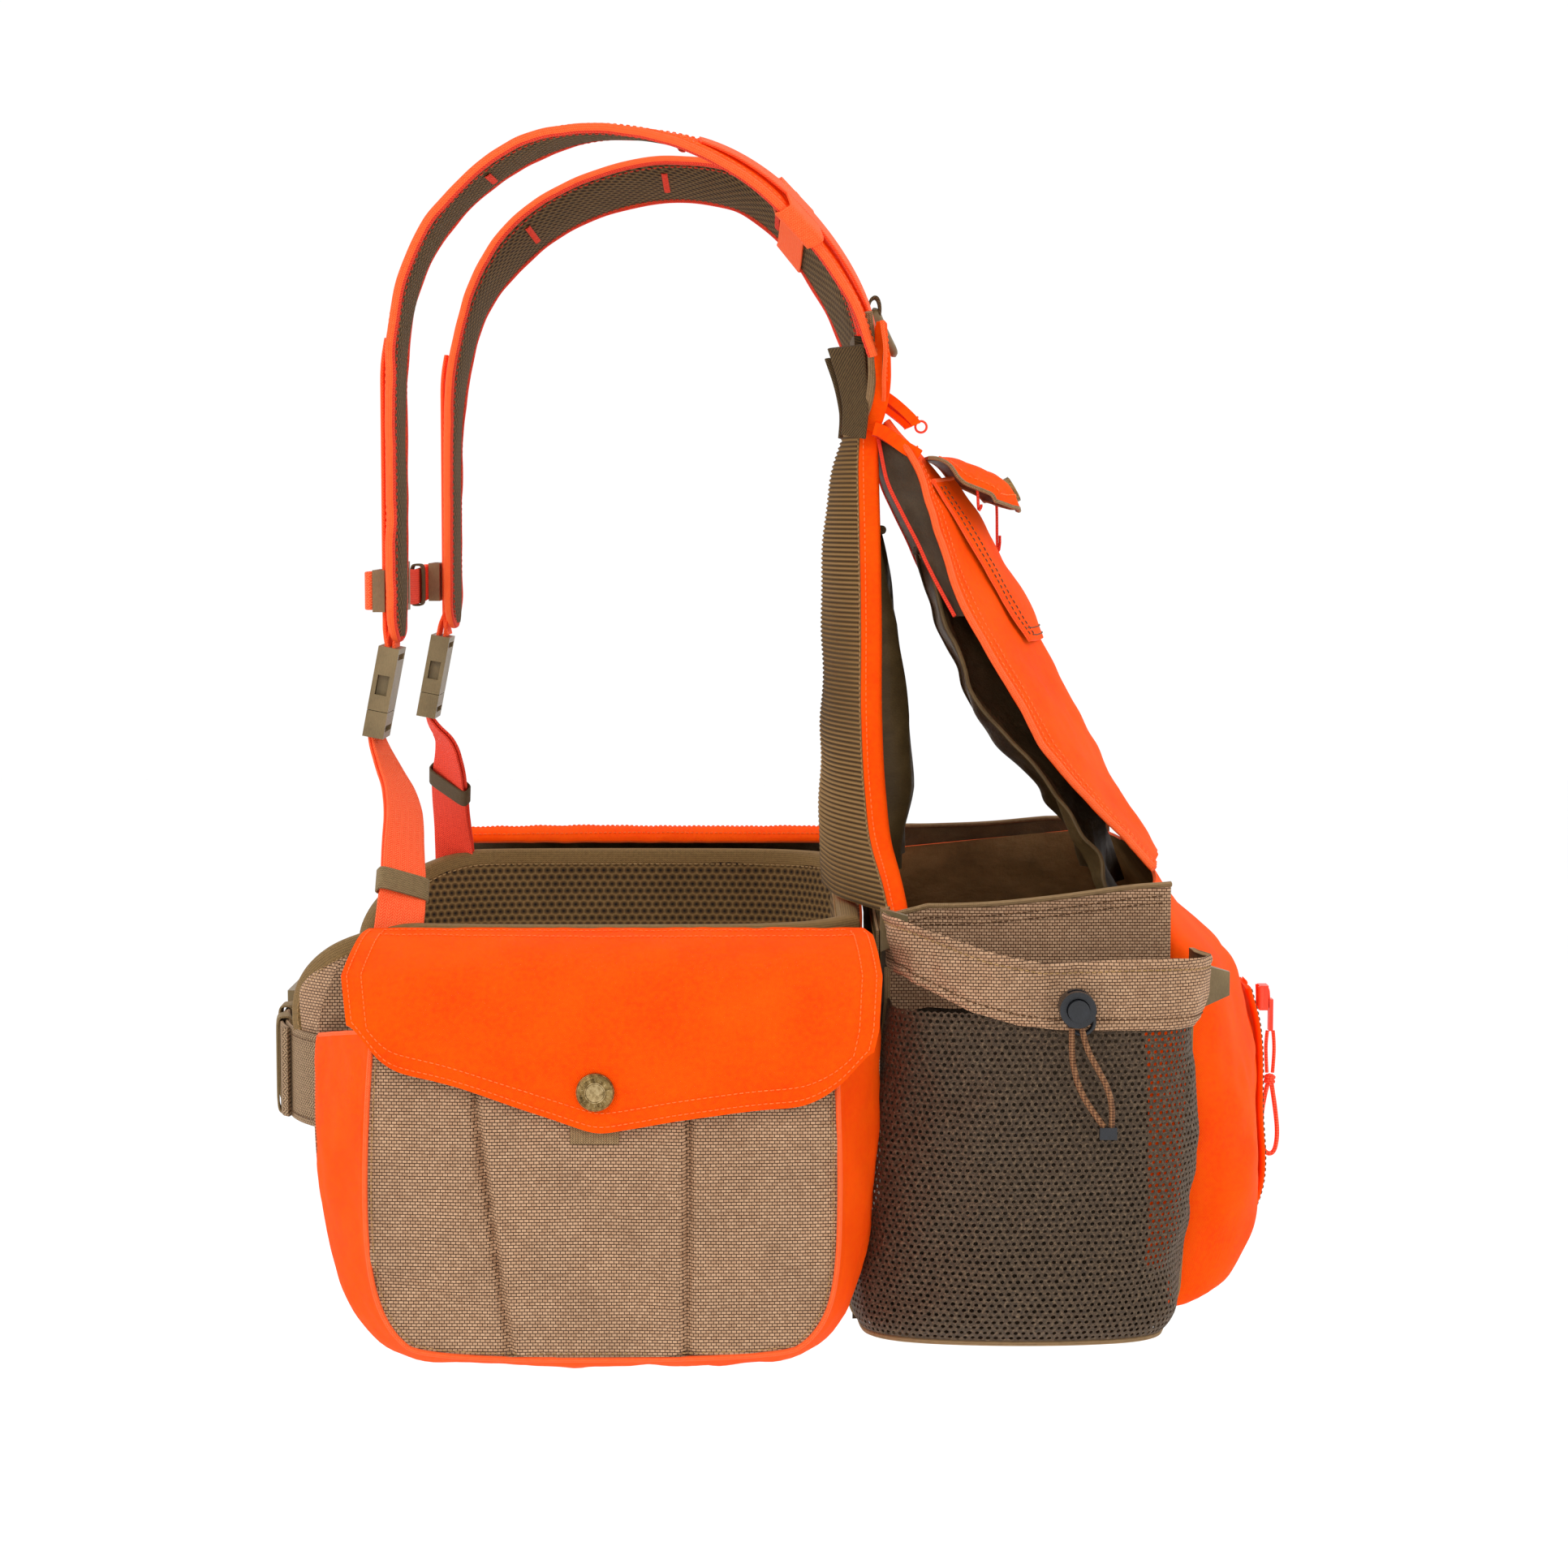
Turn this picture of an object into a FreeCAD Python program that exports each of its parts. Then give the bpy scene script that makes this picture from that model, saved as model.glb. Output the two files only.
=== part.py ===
# Strap vest for upland hunting: padded hip belt, two shoulder straps, back pad,
# rear game bag, two flap pouches and two mesh pockets, with buckles, snaps,
# zippers and cord locks.
# Frame: +Z up, the wearer faces -Y, the wearer's left is +X.  The origin is the
# middle of the waist opening at mid height of the padded belt.  Millimetres.
import FreeCAD, Part
import os, math

Vec = FreeCAD.Vector
Rot = FreeCAD.Rotation
Pla = FreeCAD.Placement
doc = FreeCAD.newDocument("strap_vest")

# ---------------------------------------------------------------- dimensions
sheet = doc.addObject("Spreadsheet::Sheet", "Dims")
DIMS = [
    ("belt_height", 100.0), ("pad_thick", 12.0), ("half_waist", 186.0),
    ("lumbar_len", 284.0), ("lumbar_gap_y", 146.0),
    ("strap_width", 62.0), ("strap_thick", 7.0), ("strap_x", 100.0),
    ("web_wide", 25.0), ("web_thick", 2.0), ("waist_web", 50.0),
    ("bk_wide", 32.0), ("bk_thick", 11.0), ("bk_socket", 34.0), ("bk_base", 14.0),
    ("bk_wall", 3.0), ("bk_slot", 3.2), ("bk_arm", 4.0), ("bk_clear", 0.4),
    ("wb_wide", 58.0), ("wb_thick", 12.0), ("wb_socket", 44.0), ("wb_base", 18.0),
    ("sb_wide", 27.0), ("sb_thick", 9.0), ("sb_socket", 24.0), ("sb_base", 12.0),
    ("pouch_depth", 58.0), ("pouch_x", 193.0),
    ("front_thick", 3.0), ("flap_span", 264.0), ("flap_thick", 3.0),
    ("snap_radius", 9.3), ("snap_tall", 4.0), ("stud_radius", 5.0), ("stud_tall", 1.6),
    ("bag_width", 320.0), ("bag_wall", 5.0), ("bag_floor", 6.0),
    ("mesh_tall", 163.0), ("hem_tall", 31.0), ("pocket_floor", 4.0),
    ("rail_wide", 25.0), ("rail_thick", 2.0), ("rail_tall", 130.0),
    ("lock_radius", 9.0), ("lock_tall", 14.0), ("button_radius", 5.4), ("button_tall", 9.0),
    ("cord_dia", 3.0), ("pull_dia", 2.6),
    ("slider_wide", 10.0), ("slider_tall", 14.0), ("slider_thick", 5.0),
    ("small_flap_wide", 96.0), ("small_pocket_wide", 104.0),
    ("tab_wide", 20.0), ("tab_thick", 6.0),
]
for i, (name, value) in enumerate(DIMS):
    sheet.set("A%d" % (i + 1), name)
    sheet.set("B%d" % (i + 1), repr(value))
    sheet.setAlias("B%d" % (i + 1), name)
doc.recompute()


def D(name):
    return float(sheet.get(name))


NODES = {}


def keep(node, obj):
    obj.Label = node
    NODES[node] = obj
    return obj


def link(obj, prop, expr):
    # a name alone is a cell of the sheet
    obj.setExpression(prop, expr)


# ---------------------------------------------------------------- helpers
def sketch(body, name, plane, pts, offset=0.0):
    sk = body.newObject("Sketcher::SketchObject", name)
    pl = [f for f in body.Origin.OriginFeatures if f.Role == plane][0]
    sk.AttachmentSupport = [(pl, "")]
    sk.MapMode = "FlatFace"
    sk.AttachmentOffset = Pla(Vec(0, 0, offset), Rot())
    n = len(pts)
    for k in range(n):
        a, b = pts[k], pts[(k + 1) % n]
        sk.addGeometry(Part.LineSegment(Vec(a[0], a[1], 0), Vec(b[0], b[1], 0)), False)
    import Sketcher
    for k in range(n):
        sk.addConstraint(Sketcher.Constraint("Coincident", k, 2, (k + 1) % n, 1))
    return sk


def pad(body, name, sk, expr, mid=False, rev=False, taper=None):
    p = body.newObject("PartDesign::Pad", name)
    p.Profile = sk
    if mid:
        try:
            p.SideType = "Symmetric"
        except Exception:
            p.Midplane = True
    p.Reversed = rev
    link(p, "Length", expr)
    if taper:
        link(p, "TaperAngle", taper)
    sk.Visibility = False
    body.Tip = p
    return p


def pocket(body, name, sk, depth, rev=False):
    q = body.newObject("PartDesign::Pocket", name)
    q.Profile = sk
    q.Reversed = rev
    q.Length = depth
    body.Tip = q
    return q


def new_body(name):
    return doc.addObject("PartDesign::Body", name)


def band(path, t):
    # closed outline of a strip of thickness t along a plan path
    left, right = [], []
    n = len(path)
    for k in range(n):
        a = Vec(*path[max(k - 1, 0)], 0)
        b = Vec(*path[min(k + 1, n - 1)], 0)
        d = (b - a).normalize()
        m = Vec(-d.y, d.x, 0)
        p = Vec(*path[k], 0)
        left.append((p.x + m.x * t / 2, p.y + m.y * t / 2))
        right.append((p.x - m.x * t / 2, p.y - m.y * t / 2))
    return left + right[::-1]


def feature(node, shape):
    f = doc.addObject("Part::Feature", node)
    f.Shape = shape
    f.Placement = Pla()
    return keep(node, f)


def ruled(polys):
    # ruled solid through closed polygons with the same number of corners
    wires = [Part.makePolygon([Vec(*p) for p in poly] + [Vec(*poly[0])]) for poly in polys]
    s = Part.makeLoft(wires, True, True)
    if s.Volume < 0:
        s.reverse()
    return s


def ribbon(stations):
    # stations: centre, width direction, thickness direction, width, thickness
    polys = []
    for c, wd, td, w, t in stations:
        c, wd, td = Vec(*c), Vec(*wd).normalize(), Vec(*td).normalize()
        polys.append([tuple(c + wd * (sx * w / 2) + td * (sy * t / 2))
                      for sx, sy in ((-1, -1), (1, -1), (1, 1), (-1, 1))])
    return ruled(polys)


def mirror(node, src):
    m = doc.addObject("Part::Mirroring", node)
    m.Source = src
    m.Base = Vec(0, 0, 0)
    m.Normal = Vec(1, 0, 0)
    return keep(node, m)


def box(name, sx, sy, sz, centre, exprs=None):
    # a box about its centre; exprs bind its three sizes to the sheet
    b = doc.addObject("Part::Box", name)
    b.Length, b.Width, b.Height = sx, sy, sz
    if exprs:
        for prop, e in zip(("Length", "Width", "Height"), exprs):
            if e:
                link(b, prop, e)
    b.Placement = Pla(Vec(centre[0] - sx / 2, centre[1] - sy / 2, centre[2] - sz / 2), Rot())
    return b


def fuse(name, parts):
    f = doc.addObject("Part::MultiFuse", name)
    f.Shapes = parts
    return f


def cut(name, base, tools):
    c = doc.addObject("Part::Cut", name)
    c.Base = base
    c.Tool = tools[0] if len(tools) == 1 else fuse(name + "_tools", tools)
    return c


# ---------------------------------------------------------------- hip belt
wing_path = [(147, 146), (170, 131), (183, 105), (D("half_waist"), 65), (D("half_waist"), -40),
             (181, -78), (168, -108), (148, -130), (136, -139)]
b = new_body("wing_l")
pad(b, "wing_l_pad", sketch(b, "wing_l_sk", "XY_Plane", band(wing_path, D("pad_thick"))),
    "Dims.belt_height", mid=True)
keep("hip_belt_left", b)
mirror("hip_belt_right", b)

b = new_body("lumbar")
h = D("lumbar_len") / 2
y0, y1 = D("lumbar_gap_y") - D("pad_thick") / 2, D("lumbar_gap_y") + D("pad_thick") / 2
pad(b, "lumbar_pad_f", sketch(b, "lumbar_sk", "XY_Plane", [(-h, y0), (h, y0), (h, y1), (-h, y1)]),
    "Dims.belt_height", mid=True)
keep("lumbar_pad", b)

# ---------------------------------------------------------------- back pad, sleeve, yoke
# a panel that bulges towards the back of the wearer: (z, half width, front y at
# the middle, front y at the edge, thickness)
pad_rows = [(52, 150, 135, 166, 11), (66, 136, 134, 163, 11), (84, 112, 134, 158, 11),
            (110, 98, 134, 155, 11), (150, 90, 134, 153, 11), (200, 80, 134, 153, 11),
            (250, 66, 136, 153, 10), (290, 52, 141, 153, 9), (312, 44, 146, 154, 8)]


def bulged(rows):
    out = []
    for z, w, yc, ye, t in rows:
        front = [(x * w, yc + (ye - yc) * abs(x) ** 1.6, z) for x in (-1, -0.5, 0, 0.5, 1)]
        out.append(front + [(p[0], p[1] + t, p[2]) for p in front[::-1]])
    return ruled(out)


feature("back_pad", bulged(pad_rows))
feature("hydration_sleeve", bulged([(60, 62, 146.5, 160, 30), (110, 62, 146.5, 159, 27),
                                    (170, 60, 146.5, 158, 25), (225, 54, 147.5, 157, 18),
                                    (252, 46, 148.5, 157, 9)]))
feature("yoke", ruled([
    [(-44, 150, 313), (44, 150, 313), (44, 160, 313), (-44, 160, 313)],
    [(-46, 152, 335), (46, 152, 335), (46, 161, 335), (-46, 161, 335)],
    [(-52, 150, 352), (52, 150, 352), (52, 159, 356), (-52, 159, 356)]]))

# ---------------------------------------------------------------- rear panel and its lining
# a sloping sheet from the yoke down to the rear lip of the bag, level rows:
# (z, half width, y at the middle, y at the edge, thickness along y)
rear_rows = [(312, 46, 172, 167, 4.5), (296, 54, 186, 178, 4.5), (268, 68, 211, 187, 4.5),
             (236, 82, 232, 200, 4.5), (203, 96, 252, 217, 4.5), (165, 108, 272, 241, 4.5),
             (128, 120, 290, 264, 4.5), (98, 132, 307, 289, 4.5), (76, 148, 320, 308, 4.5)]
feature("rear_panel", bulged(rear_rows))
# the slack lining hangs a little in front of it and ends inside the bag
feature("game_bag_liner", bulged([
    (242, 70, 218, 190, 3), (203, 84, 236, 204, 3), (165, 94, 253, 226, 3),
    (128, 104, 270, 247, 3), (98, 112, 284, 268, 3), (76, 120, 294, 286, 3), (50, 126, 302, 298, 3)]))

# ---------------------------------------------------------------- game bag
b = new_body("bag")
bag_side = [(160, -156), (160, 46), (186, 57), (314, 71), (330, 44), (358, 20), (374, -14),
            (379, -70), (376, -128), (338, -156)]
pad(b, "bag_pad", sketch(b, "bag_sk", "YZ_Plane", bag_side), "Dims.bag_width", mid=True)
# the hollow follows the outside a wall's thickness in, and is open at the top
bag_in = [(165, -150), (165, 110), (309, 110), (309, 65), (325.5, 41), (353, 17), (368.5, -16),
          (373.8, -70), (371, -126.5), (335.5, -150)]
cav = sketch(b, "bag_cav_sk", "YZ_Plane", bag_in)
q = pocket(b, "bag_cav", cav, 310)
try:
    q.SideType = "Symmetric"
except Exception:
    q.Midplane = True
link(q, "Length", "Dims.bag_width - 2 * Dims.bag_wall")
keep("game_bag", b)

# ---------------------------------------------------------------- mesh pockets with their hems
plan_out = [(162, 164), (196, 164), (214, 176), (222, 204), (224, 250), (219, 292), (204, 316), (162, 322)]


def inset(poly, d):
    # inner outline, d inside a convex one
    n = len(poly)
    cx = sum(p[0] for p in poly) / n
    cy = sum(p[1] for p in poly) / n
    out = []
    for k in range(n):
        a, b_, c = Vec(*poly[k - 1], 0), Vec(*poly[k], 0), Vec(*poly[(k + 1) % n], 0)
        d1, d2 = (b_ - a).normalize(), (c - b_).normalize()
        n1, n2 = Vec(-d1.y, d1.x, 0), Vec(-d2.y, d2.x, 0)
        if n1.dot(Vec(cx, cy, 0) - b_) < 0:
            n1, n2 = n1 * -1, n2 * -1
        bis = (n1 + n2).normalize()
        out.append(((b_ + bis * (d / max(0.3, bis.dot(n1)))).x, (b_ + bis * (d / max(0.3, bis.dot(n1)))).y))
    return out


b = new_body("meshp_l")
s = sketch(b, "meshp_sk", "XY_Plane", plan_out, offset=-158)
pad(b, "meshp_pad", s, "Dims.mesh_tall")
pocket(b, "meshp_cav", sketch(b, "meshp_cav_sk", "XY_Plane", inset(plan_out, 3.0),
                              offset=-158 + D("pocket_floor")), 400, rev=True)
keep("mesh_pocket_left", b)
mirror("mesh_pocket_right", b)
b = new_body("hem_l")
s = sketch(b, "hem_sk", "XY_Plane", plan_out, offset=-158 + D("mesh_tall"))
pad(b, "hem_pad", s, "Dims.hem_tall")
pocket(b, "hem_cav", sketch(b, "hem_cav_sk", "XY_Plane", inset(plan_out, 3.0), offset=-160), 400, rev=True)
keep("pocket_hem_left", b)
mirror("pocket_hem_right", b)

# ---------------------------------------------------------------- pouches
# rounded outlines seen from the side: the back one against the belt, and the
# narrower one behind the front panel, with the gusset ruled between them
po = [(-112, 36), (-124, 10), (-127, -40), (-122, -85), (-111, -121), (-89, -149), (-63, -160),
      (104, -160), (131, -149), (149, -119), (158, -70), (161, -10), (160, 36)]
pm = [(-88, 12), (-90, 2), (-93, -40), (-92, -84), (-86, -119), (-71, -143), (-53, -153),
      (109, -152), (127, -142), (136, -119), (138, -70), (138, -10), (138, 12)]
pi0 = [(-100, 80), (-112, 8), (-116, -40), (-112, -82), (-102, -113), (-83, -139), (-60, -150),
       (100, -150), (124, -140), (140, -114), (148, -68), (150, -10), (150, 80)]
pi1 = [(-82, 80), (-84, 2), (-87, -40), (-86, -82), (-80, -114), (-67, -136), (-51, -145),
       (105, -144), (121, -135), (130, -114), (132, -68), (132, -10), (132, 80)]
px0, px1 = D("pouch_x"), D("pouch_x") + D("pouch_depth")
shell = ruled([[(px0, y, z) for y, z in po], [(px1, y, z) for y, z in pm]])
hollow = ruled([[(px0 + 4, y, z) for y, z in pi0], [(px1 - 8, y, z) for y, z in pi1]])
pouch_l = feature("pouch_body_left", shell.cut(hollow))
mirror("pouch_body_right", pouch_l)

b = new_body("pfront_l")
pf = [(-89, 2), (-93, -40), (-92, -84), (-86, -119), (-71, -143), (-53, -153),
      (109, -152), (127, -142), (136, -119), (138, -70), (138, -2)]
pad(b, "pfront_pad", sketch(b, "pfront_sk", "YZ_Plane", pf, offset=D("pouch_x") + D("pouch_depth")),
    "Dims.front_thick")
keep("pouch_front_left", b)
mirror("pouch_front_right", b)

# flap: over the pouch's mouth and down its front, with a shallow point
b = new_body("flap_l")
ft = D("flap_thick")
fx = D("pouch_x") + D("pouch_depth") + D("front_thick") + 1.0
sec = [(192.6, 50.3), (214.0, 46.0), (238.0, 33.0), (fx - 1.5, 13.0), (fx, -8.0), (fx, -40.0),
       (fx + ft, -40.0), (fx + ft, -7.0), (fx + 1.5, 15.0), (240.0, 36.4), (215.0, 49.4), (192.6, 53.2)]
s = sketch(b, "flap_sk", "XZ_Plane", sec, offset=-27.0)
pad(b, "flap_pad", s, "Dims.flap_span", mid=True)
# the lower edge rises to both sides of the point
s = sketch(b, "flap_cut_sk", "YZ_Plane", [(17, -40.5), (-110, -6), (-110, -60), (17, -60)], offset=180)
pocket(b, "flap_cut_f", s, 120, rev=True)
s = sketch(b, "flap_cut2_sk", "YZ_Plane", [(17, -40.5), (17, -60), (165, -60), (165, -22), (90, -30)], offset=180)
pocket(b, "flap_cut_b", s, 120, rev=True)
keep("pouch_flap_left", b)
mirror("pouch_flap_right", b)

# snap: domed cap on the flap, stud on the pouch front
sy, sz = 20.0, -20.0
c = doc.addObject("Part::Cylinder", "cap_l_base")
link(c, "Radius", "Dims.snap_radius")
link(c, "Height", "Dims.snap_tall")
rx = Rot(Vec(0, 1, 0), 90)
c.Placement = Pla(Vec(fx + ft, sy, sz), rx)
k = doc.addObject("Part::Chamfer", "cap_l")
k.Base = c
doc.recompute()
top = [i + 1 for i, e in enumerate(c.Shape.Edges)
       if abs(e.CenterOfMass.x - (fx + ft + D("snap_tall"))) < 0.01 and e.isClosed()]
k.Edges = [(top[0], 1.4, 2.2)]
keep("snap_cap_left", k)
mirror("snap_cap_right", k)
studs = []
for sgn, nm in ((1, "l"), (-1, "r")):
    c = doc.addObject("Part::Cylinder", "stud_" + nm)
    link(c, "Radius", "Dims.stud_radius")
    c.Height = 0.7
    c.Placement = Pla(Vec(sgn * (fx - 1.0), sy, sz), Rot(Vec(0, 1, 0), 90 * sgn))
    studs.append(c)
keep("snap_studs", fuse("studs", studs))

# ---------------------------------------------------------------- shoulder straps
# outer surface (y, z) and the middle's x, front end first
left_outer = [(-97, 196, 100), (-97, 250, 100), (-97, 330, 100), (-92, 370, 100), (-79, 403, 100),
              (-55, 431, 101), (-25, 452, 102), (0, 461, 103), (25, 464.5, 103), (56, 462, 102), (83, 453, 98),
              (107, 438, 91), (128, 418, 82), (145, 396, 74), (157, 374, 66), (163.5, 352, 60)]
right_outer = [(-89, 196, -100), (-89, 250, -100), (-88, 330, -100), (-80, 366, -100), (-67, 395, -100),
               (-47, 420, -101), (-20, 441, -102), (12, 454, -103), (42, 459.5, -103), (70, 458, -102), (96, 450, -98),
               (120, 430, -90), (138, 402, -80), (150, 376, -69), (157, 352, -60)]


def strap(path, w, t):
    st = []
    n = len(path)
    for k, (y, z, x) in enumerate(path):
        a, c = path[max(k - 1, 0)], path[min(k + 1, n - 1)]
        d = Vec(0, c[0] - a[0], c[1] - a[1]).normalize()
        nrm = Vec(0, -d.z, d.y)      # out of the loop
        if nrm.dot(Vec(0, y - 25, z - 300)) < 0:
            nrm = nrm * -1
        st.append(((x, y - nrm.y * t / 2, z - nrm.z * t / 2), (1, 0, 0), tuple(nrm), w, t))
    return ribbon(st)


feature("shoulder_strap_left", strap(left_outer, D("strap_width"), D("strap_thick")))
feature("shoulder_strap_right", strap(right_outer, D("strap_width"), D("strap_thick")))

# webbing rails that the chest strap runs on, standing just off the straps
RL, RR = -100.5, -92.5      # rail mid planes
rails = []
for sgn, yy, nm in ((1, RL, "l"), (-1, RR, "r")):
    rails.append(box("rail_" + nm, D("rail_wide"), D("rail_thick"), D("rail_tall"),
                     (sgn * D("strap_x"), yy, 265), ("Dims.rail_wide", "Dims.rail_thick", "Dims.rail_tall")))
keep("strap_rails", fuse("rails", rails))


# ---------------------------------------------------------------- side-release buckles
def buckle(tag, pre, rot, pos):
    # local frame: width along X, thickness along Y, the mouth of the socket at
    # z = 0, the plug leaves along -Z
    w, t, ls, lb = (D(pre + k) for k in ("_wide", "_thick", "_socket", "_base"))
    wall, slot, arm, cl = D("bk_wall"), D("bk_slot"), D("bk_arm"), D("bk_clear")
    e = ("Dims.%s_wide" % pre, "Dims.%s_thick" % pre, "Dims.%s_socket" % pre)
    deep = ls - 9.0
    ct = t - 2 * 2.2
    o = box(tag + "_so", w, t, ls, (0, 0, ls / 2), e)
    cav = box(tag + "_cav", w - 2 * wall, ct, deep + 2, (0, 0, deep / 2 - 1))
    win = box(tag + "_win", w + 4, ct - 0.4, deep * 0.42, (0, 0, deep * 0.55))
    slt = box(tag + "_slt", w - 2 * wall - 1, t + 4, slot, (0, 0, ls - 4.6))
    sock = cut(tag + "_socket", o, [cav, win, slt])
    mb = box(tag + "_mb", w, t, lb, (0, 0, -lb / 2 - 0.3), (e[0], e[1], "Dims.%s_base" % pre))
    ax = w / 2 - wall - cl - arm / 2
    th = ct - 2 * cl
    a1 = box(tag + "_a1", arm, th, deep - 2.5, (ax, 0, (deep - 2.5) / 2 - 0.4), ("Dims.bk_arm", None, None))
    a2 = box(tag + "_a2", arm, th, deep - 2.5, (-ax, 0, (deep - 2.5) / 2 - 0.4), ("Dims.bk_arm", None, None))
    gd = box(tag + "_gd", arm * 1.2, th, deep - 5, (0, 0, (deep - 5) / 2 - 0.4))
    body = fuse(tag + "_mfuse", [mb, a1, a2, gd])
    ms = box(tag + "_ms", w - 2 * wall - 1, t + 4, slot, (0, 0, -lb + 5.0))
    plug = cut(tag + "_plug", body, [ms])
    doc.recompute()
    for o_ in (sock, plug):
        o_.Placement = Pla(Vec(*pos), rot)
    return sock, plug


tilt = Rot(Vec(1, 0, 0), -11.0)     # the lower end leans forwards
BL = (D("strap_x") - 1, -102.0, 157.0)
BR = (-D("strap_x") + 1, -95.5, 155.0)
so, pl = buckle("bl", "bk", tilt, BL)
keep("strap_buckle_socket_left", so)
keep("strap_buckle_plug_left", pl)
so, pl = buckle("br", "bk", tilt, BR)
keep("strap_buckle_socket_right", so)
keep("strap_buckle_plug_right", pl)
# waist buckle: the socket points to the wearer's left
lay = Rot(Vec(0, 1, 0), 90)
so, pl = buckle("wb", "wb", lay, (-8, -157, -32))
keep("waist_buckle_socket", so)
keep("waist_buckle_plug", pl)
# chest buckle, along the slightly turned chest strap
turn = Rot(Vec(0, 0, 1), -2.6)
SZ = 220.0
so, pl = buckle("sb", "sb", turn.multiply(Rot(Vec(0, 1, 0), 90)), (4, -103.0, SZ))
keep("chest_buckle_socket", so)
keep("chest_buckle_plug", pl)

# ---------------------------------------------------------------- lower webbing, belt to buckle
for sgn, nm, B in ((1, "left", BL), (-1, "right", BR)):
    top = Vec(B[0], B[1], B[2]) + tilt.multVec(Vec(0, 0, -15.5))
    st = [((top.x, top.y, top.z), (1, 0, 0), (0, 1, 0), 25, 2.0)]
    pts = [(0.18, 12), (0.42, 34), (0.66, 58), (0.85, 76), (1.0, 88)]
    endp = Vec(sgn * 176.0, -91.0, 56.0)
    for f_, ang in pts:
        c = top + (endp - top) * f_
        c = Vec(c.x, c.y + 3 * math.sin(math.pi * f_), c.z)
        a = math.radians(ang)
        st.append(((c.x, c.y, c.z), (math.cos(a) * sgn, math.sin(a), 0), (-math.sin(a), math.cos(a) * sgn, 0), 25, 2.0))
    feature("lower_webbing_" + nm, ribbon(st))


# ---------------------------------------------------------------- waist webbing
def flat_path(node, pts, z0, z1, t):
    body = new_body(node + "_b")
    pad(body, node + "_pad", sketch(body, node + "_sk", "XY_Plane", band(pts, t), offset=z0), "Dims.waist_web")
    return keep(node, body)


flat_path("waist_webbing_left", [(134, -143.5), (118, -151), (94, -156), (64, -157.5), (36.4, -157)], -57, -7, D("web_thick"))
flat_path("waist_webbing_right", [(-134, -143.5), (-118, -151), (-94, -156), (-62, -157.5), (-27.5, -157)], -57, -7, D("web_thick"))

# ---------------------------------------------------------------- chest strap
sl = []
for sgn, yy, nm in ((1, RL, "l"), (-1, RR, "r")):
    o = box("csl_o" + nm, 34, 6.4, 22, (sgn * D("strap_x"), yy, SZ))
    i = box("csl_i" + nm, 26.2, 3.0, 30, (sgn * D("strap_x"), yy, SZ))
    sl.append(cut("csl_" + nm, o, [i]))
keep("chest_strap_sliders", fuse("chest_sliders", sl))


def chest_web(node, x0, yy0, x1, yy1):
    f = ribbon([((x0, yy0, SZ), (0, 0, 1), (0, 1, 0), 20, 2.0), ((x1, yy1, SZ), (0, 0, 1), (0, 1, 0), 20, 2.0)])
    return feature(node, f)


chest_web("chest_webbing_left", 28.4, -104.1, 82.6, -103.2)
chest_web("chest_webbing_right", -8.4, -102.5, -82.6, -96.4)

# ---------------------------------------------------------------- cord locks and drawcords
LY, LZ = 257.0, 17.0
LX = 224.0


def lock(sgn, nm):
    # the barrel lies with its axis along X, the button faces outwards
    c = doc.addObject("Part::Cylinder", "lock_" + nm)
    link(c, "Radius", "Dims.lock_radius")
    link(c, "Height", "Dims.lock_tall")
    c.Placement = Pla(Vec(sgn * (LX + 0.6), LY, LZ), Rot(Vec(0, 1, 0), 90 * sgn))
    h_ = doc.addObject("Part::Cylinder", "lock_h" + nm)
    h_.Radius = D("button_radius") + 0.4
    h_.Height = 12
    h_.Placement = Pla(Vec(sgn * (LX + 4.0), LY, LZ), Rot(Vec(0, 1, 0), 90 * sgn))
    g = box("lock_g" + nm, 4.4, 9.6, 40, (sgn * (LX + 4.6 + 2.4), LY, LZ))
    o = cut("lockc_" + nm, c, [h_, g])
    keep("cord_lock_" + ("left" if sgn > 0 else "right"), o)
    p_ = doc.addObject("Part::Cylinder", "btn_" + nm)
    link(p_, "Radius", "Dims.button_radius")
    link(p_, "Height", "Dims.button_tall")
    p_.Placement = Pla(Vec(sgn * (LX + 9.4), LY, LZ), Rot(Vec(0, 1, 0), 90 * sgn))
    keep("cord_lock_button_" + ("left" if sgn > 0 else "right"), p_)
    q = doc.addObject("Part::Cylinder", "spr_" + nm)
    q.Radius, q.Height = 2.2, 0.9
    q.Placement = Pla(Vec(sgn * (LX + 4.05), LY, LZ), Rot(Vec(0, 1, 0), 90 * sgn))
    keep("cord_lock_spring_" + ("left" if sgn > 0 else "right"), q)


lock(1, "l")
lock(-1, "r")


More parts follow.
